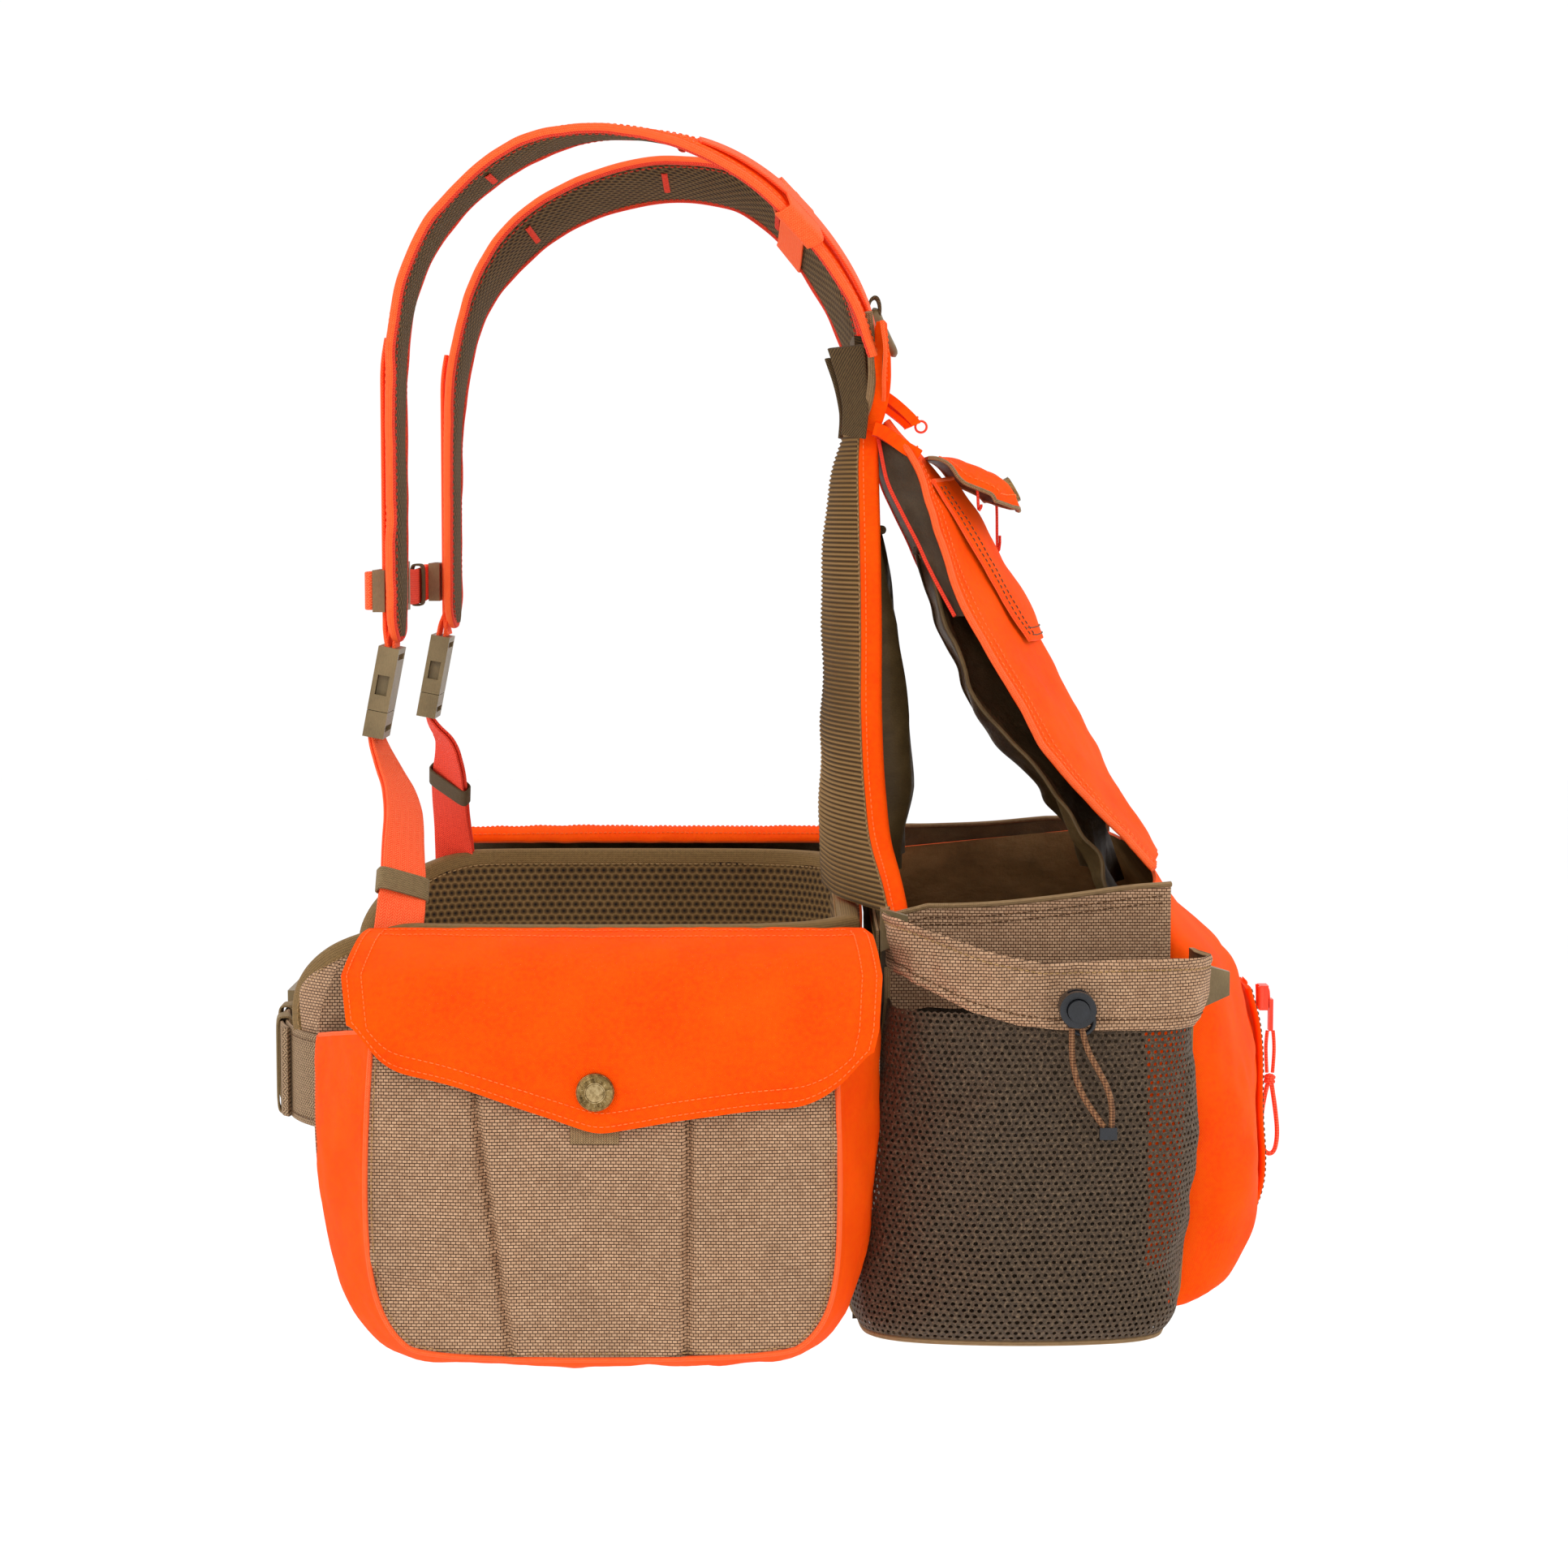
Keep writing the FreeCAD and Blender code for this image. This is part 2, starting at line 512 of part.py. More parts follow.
def tube(points, dia, label):
    # straight runs joined by tangent arcs as large as the runs allow
    P = [Vec(*p) for p in points]
    edges, cur, radii = [], P[0], []
    for k in range(1, len(P) - 1):
        a, b_, c = P[k - 1], P[k], P[k + 1]
        u, v = (b_ - a), (c - b_)
        lu, lv = u.Length, v.Length
        u, v = u.normalize(), v.normalize()
        ang = math.acos(max(-1, min(1, u.dot(v))))
        r = 0.45 * min(lu, lv) / math.tan(ang / 2)
        radii.append(r)
        back = 0.45 * min(lu, lv)
        p0, p1 = b_ - u * back, b_ + v * back
        bis = (v - u).normalize()
        centre = b_ + bis * (r / math.cos(ang / 2))
        mid = centre - bis * r
        edges.append(Part.LineSegment(cur, p0).toShape())
        edges.append(Part.Arc(p0, mid, p1).toShape())
        cur = p1
    edges.append(Part.LineSegment(cur, P[-1]).toShape())
    wire = Part.Wire(edges)
    d0 = (P[1] - P[0]).normalize()
    prof = Part.Wire([Part.makeCircle(dia / 2, P[0], d0)])
    s_ = wire.makePipeShell([prof], True, False)
    want = math.pi * dia * dia / 4 * wire.Length
    print("%s: length %.1f mm, radii %s, volume ratio %.4f" %
          (label, wire.Length, ["%.1f" % r for r in radii], s_.Volume / want))
    return s_


CX = LX + 6.9
cord_a = [(CX, 254.6, 7.0), (CX, 254.3, -3.0), (CX, 255.6, -14.0), (CX + 0.4, 259.5, -26.0), (CX + 0.3, 266.0, -36.0), (CX, 270.8, -42.5)]
cord_b = [(CX, 259.4, 7.0), (CX, 261.6, -3.0), (CX + 0.4, 267.2, -13.0), (CX + 0.6, 272.6, -23.0), (CX + 0.3, 275.2, -34.0), (CX, 274.6, -42.5)]
for sgn, nm in ((1, "left"), (-1, "right")):
    sa = tube([(sgn * p[0], p[1], p[2]) for p in cord_a], D("cord_dia"), "drawcord_%s strand a" % nm)
    sb_ = tube([(sgn * p[0], p[1], p[2]) for p in cord_b], D("cord_dia"), "drawcord_%s strand b" % nm)
    feature("drawcord_" + nm, Part.makeCompound([sa, sb_]))
ends = []
for sgn, nm in ((1, "l"), (-1, "r")):
    e_ = doc.addObject("Part::Box", "cend_" + nm)
    e_.Length, e_.Width, e_.Height = 5.0, 8.6, 6.0
    e_.Placement = Pla(Vec(sgn * CX - 2.5, 268.6, -48.6), Rot())
    ends.append(e_)
keep("cord_ends", fuse("cends", ends))

# ---------------------------------------------------------------- rear zipper of the bag
ZY = 380.6
zs = box("rzs", D("slider_wide"), D("slider_thick"), D("slider_tall"), (0, ZY + 2.0, -12), ("Dims.slider_wide", "Dims.slider_thick", "Dims.slider_tall"))
keep("rear_zip_slider", zs)
# pull: tab and cord loop hanging from the slider
tab = box("rzt", 7, 2.2, 18, (0, ZY + 6.4, -22))
PX = ZY + 6.4
pa = tube([(0, PX - 1.6, -31.3), (0, PX - 2.4, -38), (0.4, PX - 2.2, -47), (0, PX - 1.6, -55.2)], D("pull_dia") * 0.8, "rear pull upper a")
pb = tube([(0, PX + 1.6, -31.3), (0, PX + 2.4, -38), (0.4, PX + 2.2, -47), (0, PX + 1.6, -55.2)], D("pull_dia") * 0.8, "rear pull upper b")
kn = Part.makeSphere(4.0, Vec(0, PX, -58.6))
lo = tube([(0, PX - 1.2, -62.0), (0, PX - 4.0, -74), (0, PX - 4.6, -90), (0, PX - 2.4, -101), (0, PX + 3.4, -102),
           (0, PX + 5.0, -90), (0, PX + 3.2, -74), (0, PX + 1.2, -62.0)], D("pull_dia"), "rear pull loop")
doc.recompute()
keep("rear_zip_tab", tab)
feature("rear_zip_pull", Part.makeCompound([pa, pb, kn, lo]))

# ---------------------------------------------------------------- yoke zipper
YZy, YZz = 165.6, 322.0
ys = box("yzs", 12, 4, 9, (26, YZy - 1.2, YZz), None)
keep("yoke_zip_slider", ys)
yp = doc.addObject("Part::Box", "yzp")
yp.Length, yp.Width, yp.Height = 8, 22, 2.4
yp.Placement = Pla(Vec(22, YZy + 1.6, YZz + 0.4), Rot(Vec(1, 0, 0), -38))
keep("yoke_zip_pull", yp)

# ---------------------------------------------------------------- small rear pocket
half = D("small_pocket_wide") / 2
feature("small_pocket", ruled([
    [(-half, 209 - 0, 275), (half, 209, 275), (half, 214, 278), (-half, 214, 278)],
    [(-half, 229, 250), (half, 229, 250), (half, 239, 255), (-half, 239, 255)],
    [(-half, 249, 218), (half, 249, 218), (half, 259, 223), (-half, 259, 223)],
    [(-half, 266, 190), (half, 266, 190), (half, 270, 193), (-half, 270, 193)]]))
b = new_body("sflap")
s = sketch(b, "sflap_sk", "YZ_Plane", [(199, 291), (226, 280), (240, 259), (243, 261), (229, 283.5), (200, 294.5)])
pad(b, "sflap_pad", s, "Dims.small_flap_wide", mid=True)
keep("small_pocket_flap", b)
c = doc.addObject("Part::Cylinder", "ssnap")
c.Radius, c.Height = 7.5, 3.2
d_ = Vec(0, 24.5, 14).normalize()
c.Placement = Pla(Vec(0, 237.6, 272.5), Rot(Vec(0, 0, 1), d_))
keep("small_pocket_snap", c)

# ---------------------------------------------------------------- plastic tabs, hang loop
tabs = []
for sgn, nm in ((1, "l"), (-1, "r")):
    for j, (x, y, z, az) in enumerate(((177.5, 168.0, 45, 0), (161.0, 334, 14, 0))):
        w_ = doc.addObject("Part::Wedge", "tab_%s%d" % (nm, j))
        w_.Xmin, w_.Xmax, w_.Ymin, w_.Ymax, w_.Zmin, w_.Zmax = 0, 9, 0, D("tab_wide") * 0.7, 0, 22
        w_.X2min, w_.X2max, w_.Z2min, w_.Z2max = 2, 7, 6, 18
        # stand the wedge with its thick end inboard
        w_.Placement = Pla(Vec(sgn * x + (0 if sgn > 0 else -9), y - 8.0 + 1.0, z - 6), Rot(Vec(1, 0, 0), 0))
        tabs.append(w_)
keep("adjuster_tabs", fuse("tabs", tabs))
hb = box("hang_b", 18, 3, 26, (0, 161.8, 344))
ht = doc.addObject("Part::Box", "hang_t")
ht.Length, ht.Width, ht.Height = 22, 4, 24
ht.Placement = Pla(Vec(-11, 163.8, 337), Rot(Vec(1, 0, 0), 22))
keep("hang_loop", fuse("hangl", [hb, ht]))

# ---------------------------------------------------------------- checks and export
doc.recompute()
bad = []
for o in doc.Objects:
    st = o.State
    if "Invalid" in st or "Error" in st:
        bad.append("%s %s" % (o.Name, st))
for node, o in NODES.items():
    sh = o.Shape
    if sh.isNull() or not sh.isValid() or sh.Volume <= 0:
        bad.append("shape of %s" % node)
if bad:
    raise SystemExit("failed: " + "; ".join(bad))
if len(NODES) > 60:
    raise SystemExit("too many nodes: %d" % len(NODES))
os.makedirs("parts", exist_ok=True)
for node, o in NODES.items():
    bb = o.Shape.BoundBox
    print("%-26s solids %d  x %.1f..%.1f  y %.1f..%.1f  z %.1f..%.1f  vol %.0f" % (
        node, len(o.Shape.Solids), bb.XMin, bb.XMax, bb.YMin, bb.YMax, bb.ZMin, bb.ZMax, o.Shape.Volume))
    o.Shape.exportStep("parts/%s.step" % node)
print(len(NODES), "nodes")
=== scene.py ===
import math
import bpy
import numpy as np
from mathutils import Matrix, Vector


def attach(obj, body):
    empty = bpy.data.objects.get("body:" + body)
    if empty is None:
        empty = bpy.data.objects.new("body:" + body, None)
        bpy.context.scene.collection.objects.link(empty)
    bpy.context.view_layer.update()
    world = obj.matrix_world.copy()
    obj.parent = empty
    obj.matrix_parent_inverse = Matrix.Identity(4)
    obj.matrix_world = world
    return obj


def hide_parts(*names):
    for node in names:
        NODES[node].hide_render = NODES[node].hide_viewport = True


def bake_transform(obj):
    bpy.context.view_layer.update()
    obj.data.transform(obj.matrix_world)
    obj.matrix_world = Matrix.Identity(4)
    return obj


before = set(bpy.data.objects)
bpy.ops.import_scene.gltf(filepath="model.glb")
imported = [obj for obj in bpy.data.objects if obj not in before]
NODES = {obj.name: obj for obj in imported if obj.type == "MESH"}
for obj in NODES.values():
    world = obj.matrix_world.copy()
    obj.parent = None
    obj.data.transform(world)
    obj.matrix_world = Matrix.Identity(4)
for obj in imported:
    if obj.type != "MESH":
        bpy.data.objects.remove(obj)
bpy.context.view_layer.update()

MM = 0.001
COL = bpy.context.scene.collection


# ------------------------------------------------------------------ small maths
def unit(a):
    a = np.asarray(a, float)
    return a / np.maximum(np.linalg.norm(a, axis=-1, keepdims=True), 1e-9)


def chaikin(p, n=2):
    p = np.asarray(p, float)
    for _ in range(n):
        a = .75 * p[:-1] + .25 * p[1:]
        b = .25 * p[:-1] + .75 * p[1:]
        m = np.empty((2 * len(a), p.shape[1]))
        m[0::2], m[1::2] = a, b
        p = np.vstack([p[:1], m, p[-1:]])
    return p


def arc(p):
    p = np.asarray(p, float)
    return np.r_[0, np.cumsum(np.linalg.norm(np.diff(p, axis=0), axis=1))]


def resample(p, n):
    p = np.asarray(p, float)
    d = arc(p[:, :3])
    t = np.linspace(0, d[-1], n)
    return np.stack([np.interp(t, d, p[:, k]) for k in range(p.shape[1])], 1)


def curve(p, n, k=3):
    # smooth line near the given points, evenly spaced
    return resample(chaikin(p, k), n)


def smooth1(xs, ys):
    # smooth function through points, xs rising
    xs, ys = np.asarray(xs, float), np.asarray(ys, float)
    m = np.gradient(ys, xs)

    def f(x):
        x = np.clip(np.asarray(x, float), xs[0], xs[-1])
        i = np.clip(np.searchsorted(xs, x) - 1, 0, len(xs) - 2)
        h = xs[i + 1] - xs[i]
        t = (x - xs[i]) / h
        a = 2 * t ** 3 - 3 * t ** 2 + 1
        b = t ** 3 - 2 * t ** 2 + t
        return a * ys[i] + b * h * m[i] + (1 - a) * ys[i + 1] + (t ** 3 - t ** 2) * h * m[i + 1]
    return f


def step(x, a, b):
    t = np.clip((np.asarray(x, float) - a) / (b - a), 0, 1)
    return t * t * (3 - 2 * t)


class Waves:
    # gentle repeatable noise: a sum of sines in random directions, about unit size
    def __init__(self, seed, lo=18, hi=90, n=16, stretch=(1, 1, 1)):
        r = np.random.RandomState(seed)
        lam = np.exp(r.uniform(math.log(lo), math.log(hi), n))
        self.k = unit(r.normal(size=(n, 3))) * (2 * math.pi / lam)[:, None] * np.array(stretch, float)
        self.p = r.uniform(0, 2 * math.pi, n)
        a = (lam / hi) ** 0.8
        self.a = a / math.sqrt((a * a).sum() / 2)

    def __call__(self, P):
        return (np.sin(np.asarray(P) @ self.k.T + self.p) * self.a).sum(-1)


def grid_normals(P):
    du = np.gradient(P, axis=0)
    dv = np.gradient(P, axis=1)
    return unit(np.cross(du, dv))


# ------------------------------------------------------------------ mesh building
class Parts:
    def __init__(self):
        self.v, self.f, self.uv, self.m, self.mats, self.n = [], [], [], [], [], 0

    def add(self, V, F, UV, mat):
        if mat not in self.mats:
            self.mats.append(mat)
        k = self.mats.index(mat)
        self.v.append(np.asarray(V, float).reshape(-1, 3))
        for f, u in zip(F, UV):
            self.f.append([int(i) + self.n for i in f])
            self.uv.append(u)
            self.m.append(k)
        self.n += len(self.v[-1])

    def quads(self, idx, uvg, mat, flip=False):
        # idx: (a, b) indices into the vertices added by raw(); uvg the same shape with uv
        if mat not in self.mats:
            self.mats.append(mat)
        k = self.mats.index(mat)
        q = np.stack([idx[:-1, :-1], idx[1:, :-1], idx[1:, 1:], idx[:-1, 1:]], -1).reshape(-1, 4)
        u = np.stack([uvg[:-1, :-1], uvg[1:, :-1], uvg[1:, 1:], uvg[:-1, 1:]], -2).reshape(-1, 4, 2)
        if flip:
            q, u = q[:, ::-1], u[:, ::-1]
        self.f.extend(q.tolist())
        self.uv.extend(u.tolist())
        self.m.extend([k] * len(q))

    def raw(self, V):
        V = np.asarray(V, float).reshape(-1, 3)
        self.v.append(V)
        a = self.n
        self.n += len(V)
        return a

    def build(self, name, body="root", side=1, sharp=48, ride=True):
        V = np.vstack(self.v) * MM
        F, UV = self.f, self.uv
        if side < 0:
            V = V * np.array([-1, 1, 1])
            F = [f[::-1] for f in F]
            UV = [list(u)[::-1] for u in UV]
        me = bpy.data.meshes.new(name)
        me.from_pydata(V.tolist(), [], F)
        lay = me.uv_layers.new(name="UVMap")
        lay.data.foreach_set("uv", np.concatenate([np.asarray(u, float) for u in UV]).ravel())
        me.polygons.foreach_set("material_index", self.m)
        me.polygons.foreach_set("use_smooth", [True] * len(F))
        for m in self.mats:
            me.materials.append(m)
        me.update()
        if sharp:
            me.set_sharp_from_angle(angle=math.radians(sharp))
        ob = bpy.data.objects.new(name, me)
        COL.objects.link(ob)
        if ride:
            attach(ob, body)
        return ob


def arc_uv(P):
    n, m = P.shape[:2]
    a = arc(P[:, m // 2])
    b = arc(P[n // 2])
    return np.stack(np.meshgrid(a, b, indexing="ij"), -1)


def sheet(parts, P, t, out, inner=None, rim=None, uv=None, N=None):
    # closed cloth of thickness t behind the grid P, whose normals point outwards
    n, m = P.shape[:2]
    N = grid_normals(P) if N is None else N
    uv = arc_uv(P) if uv is None else uv
    inner, rim = inner or out, rim or out
    Q = P - N * (t if np.isscalar(t) else np.asarray(t)[..., None])
    a = parts.raw(P)
    b = parts.raw(Q)
    I = np.arange(n * m).reshape(n, m)
    parts.quads(I + a, uv, out)
    parts.quads(I + b, uv, inner, flip=True)
    for line, fl in ((I[0], False), (I[-1], True)):
        e = np.stack([line + a, line + b])
        g = np.stack([uv.reshape(-1, 2)[line], uv.reshape(-1, 2)[line] + (1.5, 0)])
        parts.quads(e, g, rim, flip=not fl)
    for line, fl in ((I[:, 0], False), (I[:, -1], True)):
        e = np.stack([line + a, line + b])
        g = np.stack([uv.reshape(-1, 2)[line], uv.reshape(-1, 2)[line] + (0, 1.5)])
        parts.quads(e, g, rim, flip=fl)
    return Q


def extrude(parts, path, wdir, tdir, sec, mats, scale=None, closed=False, caps=True, u0=0.0):
    # sec: (k, 2) closed outline in (width, thickness), mats one per segment of it
    path = np.asarray(path, float)
    n = len(path)
    wdir = np.broadcast_to(np.asarray(wdir, float), (n, 3))
    tdir = np.broadcast_to(np.asarray(tdir, float), (n, 3))
    wdir, tdir = unit(wdir), unit(tdir)
    sec = np.asarray(sec, float)
    k = len(sec)
    if scale is None:
        scale = np.ones((n, 2))
    scale = np.asarray(scale, float).reshape(n, -1)
    if scale.shape[1] == 1:
        scale = np.repeat(scale, 2, 1)
    V = (path[:, None] + wdir[:, None] * (sec[None, :, 0] * scale[:, :1])[..., None]
         + tdir[:, None] * (sec[None, :, 1] * scale[:, 1:])[..., None])
    a = parts.raw(V)
    I = a + np.arange(n * k).reshape(n, k)
    L = arc(path) + u0
    if closed:
        I = np.vstack([I, I[:1]])
        L = np.r_[L, L[-1] + np.linalg.norm(path[0] - path[-1])]
    sd = np.r_[0, np.cumsum(np.linalg.norm(np.diff(np.vstack([sec, sec[:1]]), axis=0), axis=1))]
    if not isinstance(mats, (list, tuple)):
        mats = [mats] * k
    s = 0
    while s < k:
        e = s
        while e + 1 < k and mats[e + 1] is mats[s]:
            e += 1
        cols = [c % k for c in range(s, e + 2)]
        idx = I[:, cols]
        uv = np.stack(np.meshgrid(L, sd[s:e + 2], indexing="ij"), -1)
        parts.quads(idx, uv, mats[s], flip=True)
        s = e + 1
    if caps and not closed:
        for row, fl in ((I[0], True), (I[-1], False)):
            f = row.tolist()
            u = [(float(x), float(y)) for x, y in sec]
            if fl:
                f, u = f[::-1], u[::-1]
            if mats[0] not in parts.mats:
                parts.mats.append(mats[0])
            parts.f.append(f[::-1])
            parts.uv.append(u[::-1])
            parts.m.append(parts.mats.index(mats[0]))
    return V


def flat_sec(w, t, nw=8, r=None):
    # rounded strip section, anticlockwise, outer face (+t) first
    r = min(t / 2, w / 2) if r is None else r
    pts = []
    xs = np.linspace(-w / 2 + r, w / 2 - r, nw)
    for x in xs:
        pts.append((x, t / 2))
    for a in (60, 30, 0, -30, -60):
        pts.append((w / 2 - r + r * math.cos(math.radians(a)), t / 2 - r + r * math.sin(math.radians(a)) if a > 0 else
                    (-t / 2 + r + r * math.sin(math.radians(a)) if a < 0 else 0)))
    for x in xs[::-1]:
        pts.append((x, -t / 2))
    for a in (-120, -150, 180, 150, 120):
        s = math.sin(math.radians(a))
        pts.append((-w / 2 + r + r * math.cos(math.radians(a)),
                    0 if a == 180 else (-t / 2 + r + r * s if a < 0 else t / 2 - r + r * s)))
    return np.array(pts)


def round_sec(r, n=8):
    a = np.linspace(0, 2 * math.pi, n, endpoint=False)[::-1]
    return np.stack([r * np.cos(a), r * np.sin(a)], 1)


def frames(path, up):
    # tangent-based frame: width direction across the path, thickness towards "up"
    path = np.asarray(path, float)
    T = unit(np.gradient(path, axis=0))
    up = np.broadcast_to(np.asarray(up, float), T.shape)
    W = unit(np.cross(up, T))
    return W, unit(np.cross(T, W))


def webbing(parts, path, tdir, w, t, mat, back=None, scale=None, nw=8, wdir=None):
    sec = flat_sec(w, t, nw)
    k = len(sec)
    T = unit(np.gradient(np.asarray(path, float), axis=0))
    tdir = unit(np.broadcast_to(np.asarray(tdir, float), T.shape))
    if wdir is None:
        wdir = unit(np.cross(T, tdir))
        tdir = unit(np.cross(wdir, T))
    mats = [mat] * k
    if back is not None:
        for i in range(nw + 2, 2 * nw + 7):
            mats[i % k] = back
    extrude(parts, path, wdir, tdir, sec, mats, scale)


def rope(parts, path, r, mat, up=(0.3, 0.2, 1), n=8, closed=False, scale=None):
    W, N = frames(path, up)
    extrude(parts, path, W, N, round_sec(r, n), mat, scale, closed=closed)


def stitch(parts, path, normal, mat, pitch=3.3, length=2.4, r=0.36, lift=0.15):
    # a row of thread floats lying along a seam
    path = np.asarray(path, float)
    d = arc(path)
    if d[-1] < length:
        return
    normal = np.broadcast_to(np.asarray(normal, float), path.shape)
    c = np.arange(pitch / 2, d[-1] - length / 2, pitch)
    offs = np.array([-.5, -.28, .28, .5]) * length
    drop = np.array([-.5, .55, .55, -.5]) * r
    rad = np.array([.45, 1, 1, .45]) * r
    S = c[:, None] + offs[None]
    P = np.stack([np.interp(S, d, path[:, k]) for k in range(3)], -1)
    N = unit(np.stack([np.interp(S, d, normal[:, k]) for k in range(3)], -1))
    T = unit(np.gradient(P, axis=1))
    B = unit(np.cross(T, N))
    ang = np.linspace(0, 2 * math.pi, 5, endpoint=False)
    V = (P + N * (drop + lift)[None, :, None])[:, :, None] + rad[None, :, None, None] * (
        B[:, :, None] * np.cos(ang)[None, None, :, None] + N[:, :, None] * np.sin(ang)[None, None, :, None])
    m = len(c)
    a = parts.raw(V)
    I = a + np.arange(m * 20).reshape(m, 4, 5)
    I2 = np.concatenate([I, I[:, :, :1]], 2)
    q = np.stack([I2[:, :-1, :-1], I2[:, 1:, :-1], I2[:, 1:, 1:], I2[:, :-1, 1:]], -1).reshape(-1, 4)[:, ::-1]
    if mat not in parts.mats:
        parts.mats.append(mat)
    k = parts.mats.index(mat)
    parts.f.extend(q.tolist())
    parts.uv.extend([[(0, 0), (1, 0), (1, 1), (0, 1)]] * len(q))
    caps = np.concatenate([I[:, 0], I[:, 3, ::-1]]).tolist()
    parts.f.extend(caps)
    parts.uv.extend([[(0, 0)] * 5] * len(caps))
    parts.m.extend([k] * (len(q) + len(caps)))


def bartack(parts, centre, along, normal, mat, length=10, width=2.2, r=0.35):
    # close zigzag of thread across a strap
    along, normal = unit(along), unit(normal)
    across = unit(np.cross(normal, along))
    n = int(length / 0.75)
    t = np.linspace(-.5, .5, n)
    for i in range(0, n):
        c = np.asarray(centre, float) + along * t[i] * length
        p = np.array([c - across * width / 2, c + across * width / 2 + along * .3])
        W, N = frames(resample(p, 4), normal)
        extrude(parts, resample(p, 4) + normal * np.array([-.1, .25, .25, -.1])[:, None], W, N, round_sec(r, 5), mat)


# ------------------------------------------------------------------ materials
def lin(r, g, b):
    f = lambda c: (c / 255 / 12.92) if c / 255 <= 0.04045 else ((c / 255 + 0.055) / 1.055) ** 2.4
    return (f(r), f(g), f(b), 1.0)


class Mat:
    def __init__(self, name, rough=0.8, spec=0.3, sheen=0.0, sheen_rough=0.5, sheen_tint=None, metal=0.0, coat=0.0,
                 emis=None, emis_s=0.0):
        self.m = bpy.data.materials.new(name)
        self.m.use_nodes = True
        self.t = self.m.node_tree
        self.b = self.t.nodes["Principled BSDF"]
        b = self.b.inputs
        b["Roughness"].default_value = rough
        b["Specular IOR Level"].default_value = spec
        b["Metallic"].default_value = metal
        b["Sheen Weight"].default_value = sheen
        b["Sheen Roughness"].default_value = sheen_rough
        if sheen_tint:
            b["Sheen Tint"].default_value = sheen_tint
        b["Coat Weight"].default_value = coat
        if emis:
            b["Emission Color"].default_value = emis
            b["Emission Strength"].default_value = emis_s

    def n(self, typ, ins=None, **props):
        n = self.t.nodes.new("ShaderNode" + typ)
        for k, v in props.items():
            setattr(n, k, v)
        for k, v in (ins or {}).items():
            if isinstance(v, bpy.types.NodeSocket):
                self.t.links.new(v, n.inputs[k])
            else:
                n.inputs[k].default_value = v
        return n

    def uv(self):
        return self.n("TexCoord").outputs["UV"]

    def obj(self, s=1000.0):
        c = self.n("TexCoord").outputs["Object"]
        return self.n("VectorMath", {0: c, 3: s}, operation="SCALE").outputs[0]

    def op(self, o, a, b=None, c=None, clamp=False):
        ins = {0: a}
        if b is not None:
            ins[1] = b
        if c is not None:
            ins[2] = c
        return self.n("Math", ins, operation=o, use_clamp=clamp).outputs[0]

    def noise(self, vec, scale, detail=3.0, rough=0.55):
        return self.n("TexNoise", {"Vector": vec, "Scale": scale, "Detail": detail, "Roughness": rough}).outputs["Fac"]

    def ramp(self, fac, stops):
        r = self.n("ValToRGB", {"Fac": fac})
        el = r.color_ramp.elements
        el[0].position, el[0].color = stops[0]
        el[1].position, el[1].color = stops[-1]
        for p, c in stops[1:-1]:
            e = el.new(p)
            e.color = c
        return r.outputs["Color"]

    def mix(self, fac, a, b, mode="MIX"):
        n = self.n("Mix", data_type="RGBA", blend_type=mode)
        for k, v in ((0, fac), (6, a), (7, b)):
            if isinstance(v, bpy.types.NodeSocket):
                self.t.links.new(v, n.inputs[k])
            else:
                n.inputs[k].default_value = v
        return n.outputs[2]

    def color(self, c):
        self.t.links.new(c, self.b.inputs["Base Color"])

    def rough(self, c):
        self.t.links.new(c, self.b.inputs["Roughness"])

    def bump(self, h, dist, strength=1.0, prev=None):
        ins = {"Height": h, "Distance": dist, "Strength": strength}
        if prev is not None:
            ins["Normal"] = prev
        o = self.n("Bump", ins).outputs["Normal"]
        self.t.links.new(o, self.b.inputs["Normal"])
        return o


def grey(v):
    return (v, v, v, 1.0)


def sep(M, v):
    s = M.n("SeparateXYZ", {0: v})
    return s.outputs[0], s.outputs[1]


def twill(name, base, light, dark, emis=0.0, pitch=0.9, sheen=0.25, rough=0.75, obj=False, tex=.035):
    M = Mat(name, rough=rough, spec=0.08, sheen=sheen, sheen_rough=0.4, sheen_tint=light, emis=base, emis_s=emis)
    v = M.obj() if obj else M.uv()
    x, y = sep(M, v)
    d = M.op("ADD", x, M.op("MULTIPLY", y, 0.55))
    w = M.op("SINE", M.op("MULTIPLY", d, 2 * math.pi / pitch))
    w2 = M.op("SINE", M.op("MULTIPLY", y, 2 * math.pi / (pitch * 0.62)))
    wv = M.op("ADD", M.op("MULTIPLY", w, 0.5), M.op("MULTIPLY", w2, 0.35))
    big = M.noise(v, 0.022, 3)
    mid = M.noise(v, 0.35, 4)
    f = M.op("ADD", M.op("MULTIPLY", big, .55), M.op("MULTIPLY", mid, .45))
    c = M.ramp(f, [(.30, dark), (.5, base), (.72, light)])
    c = M.mix(M.op("MULTIPLY_ADD", wv, tex, tex * 1.2), c, dark)
    M.color(c)
    n = M.bump(mid, 0.0006, 0.35)
    M.bump(wv, 0.00012, 0.8, n)
    M.rough(M.op("MULTIPLY_ADD", mid, 0.2, rough - 0.1))
    return M.m


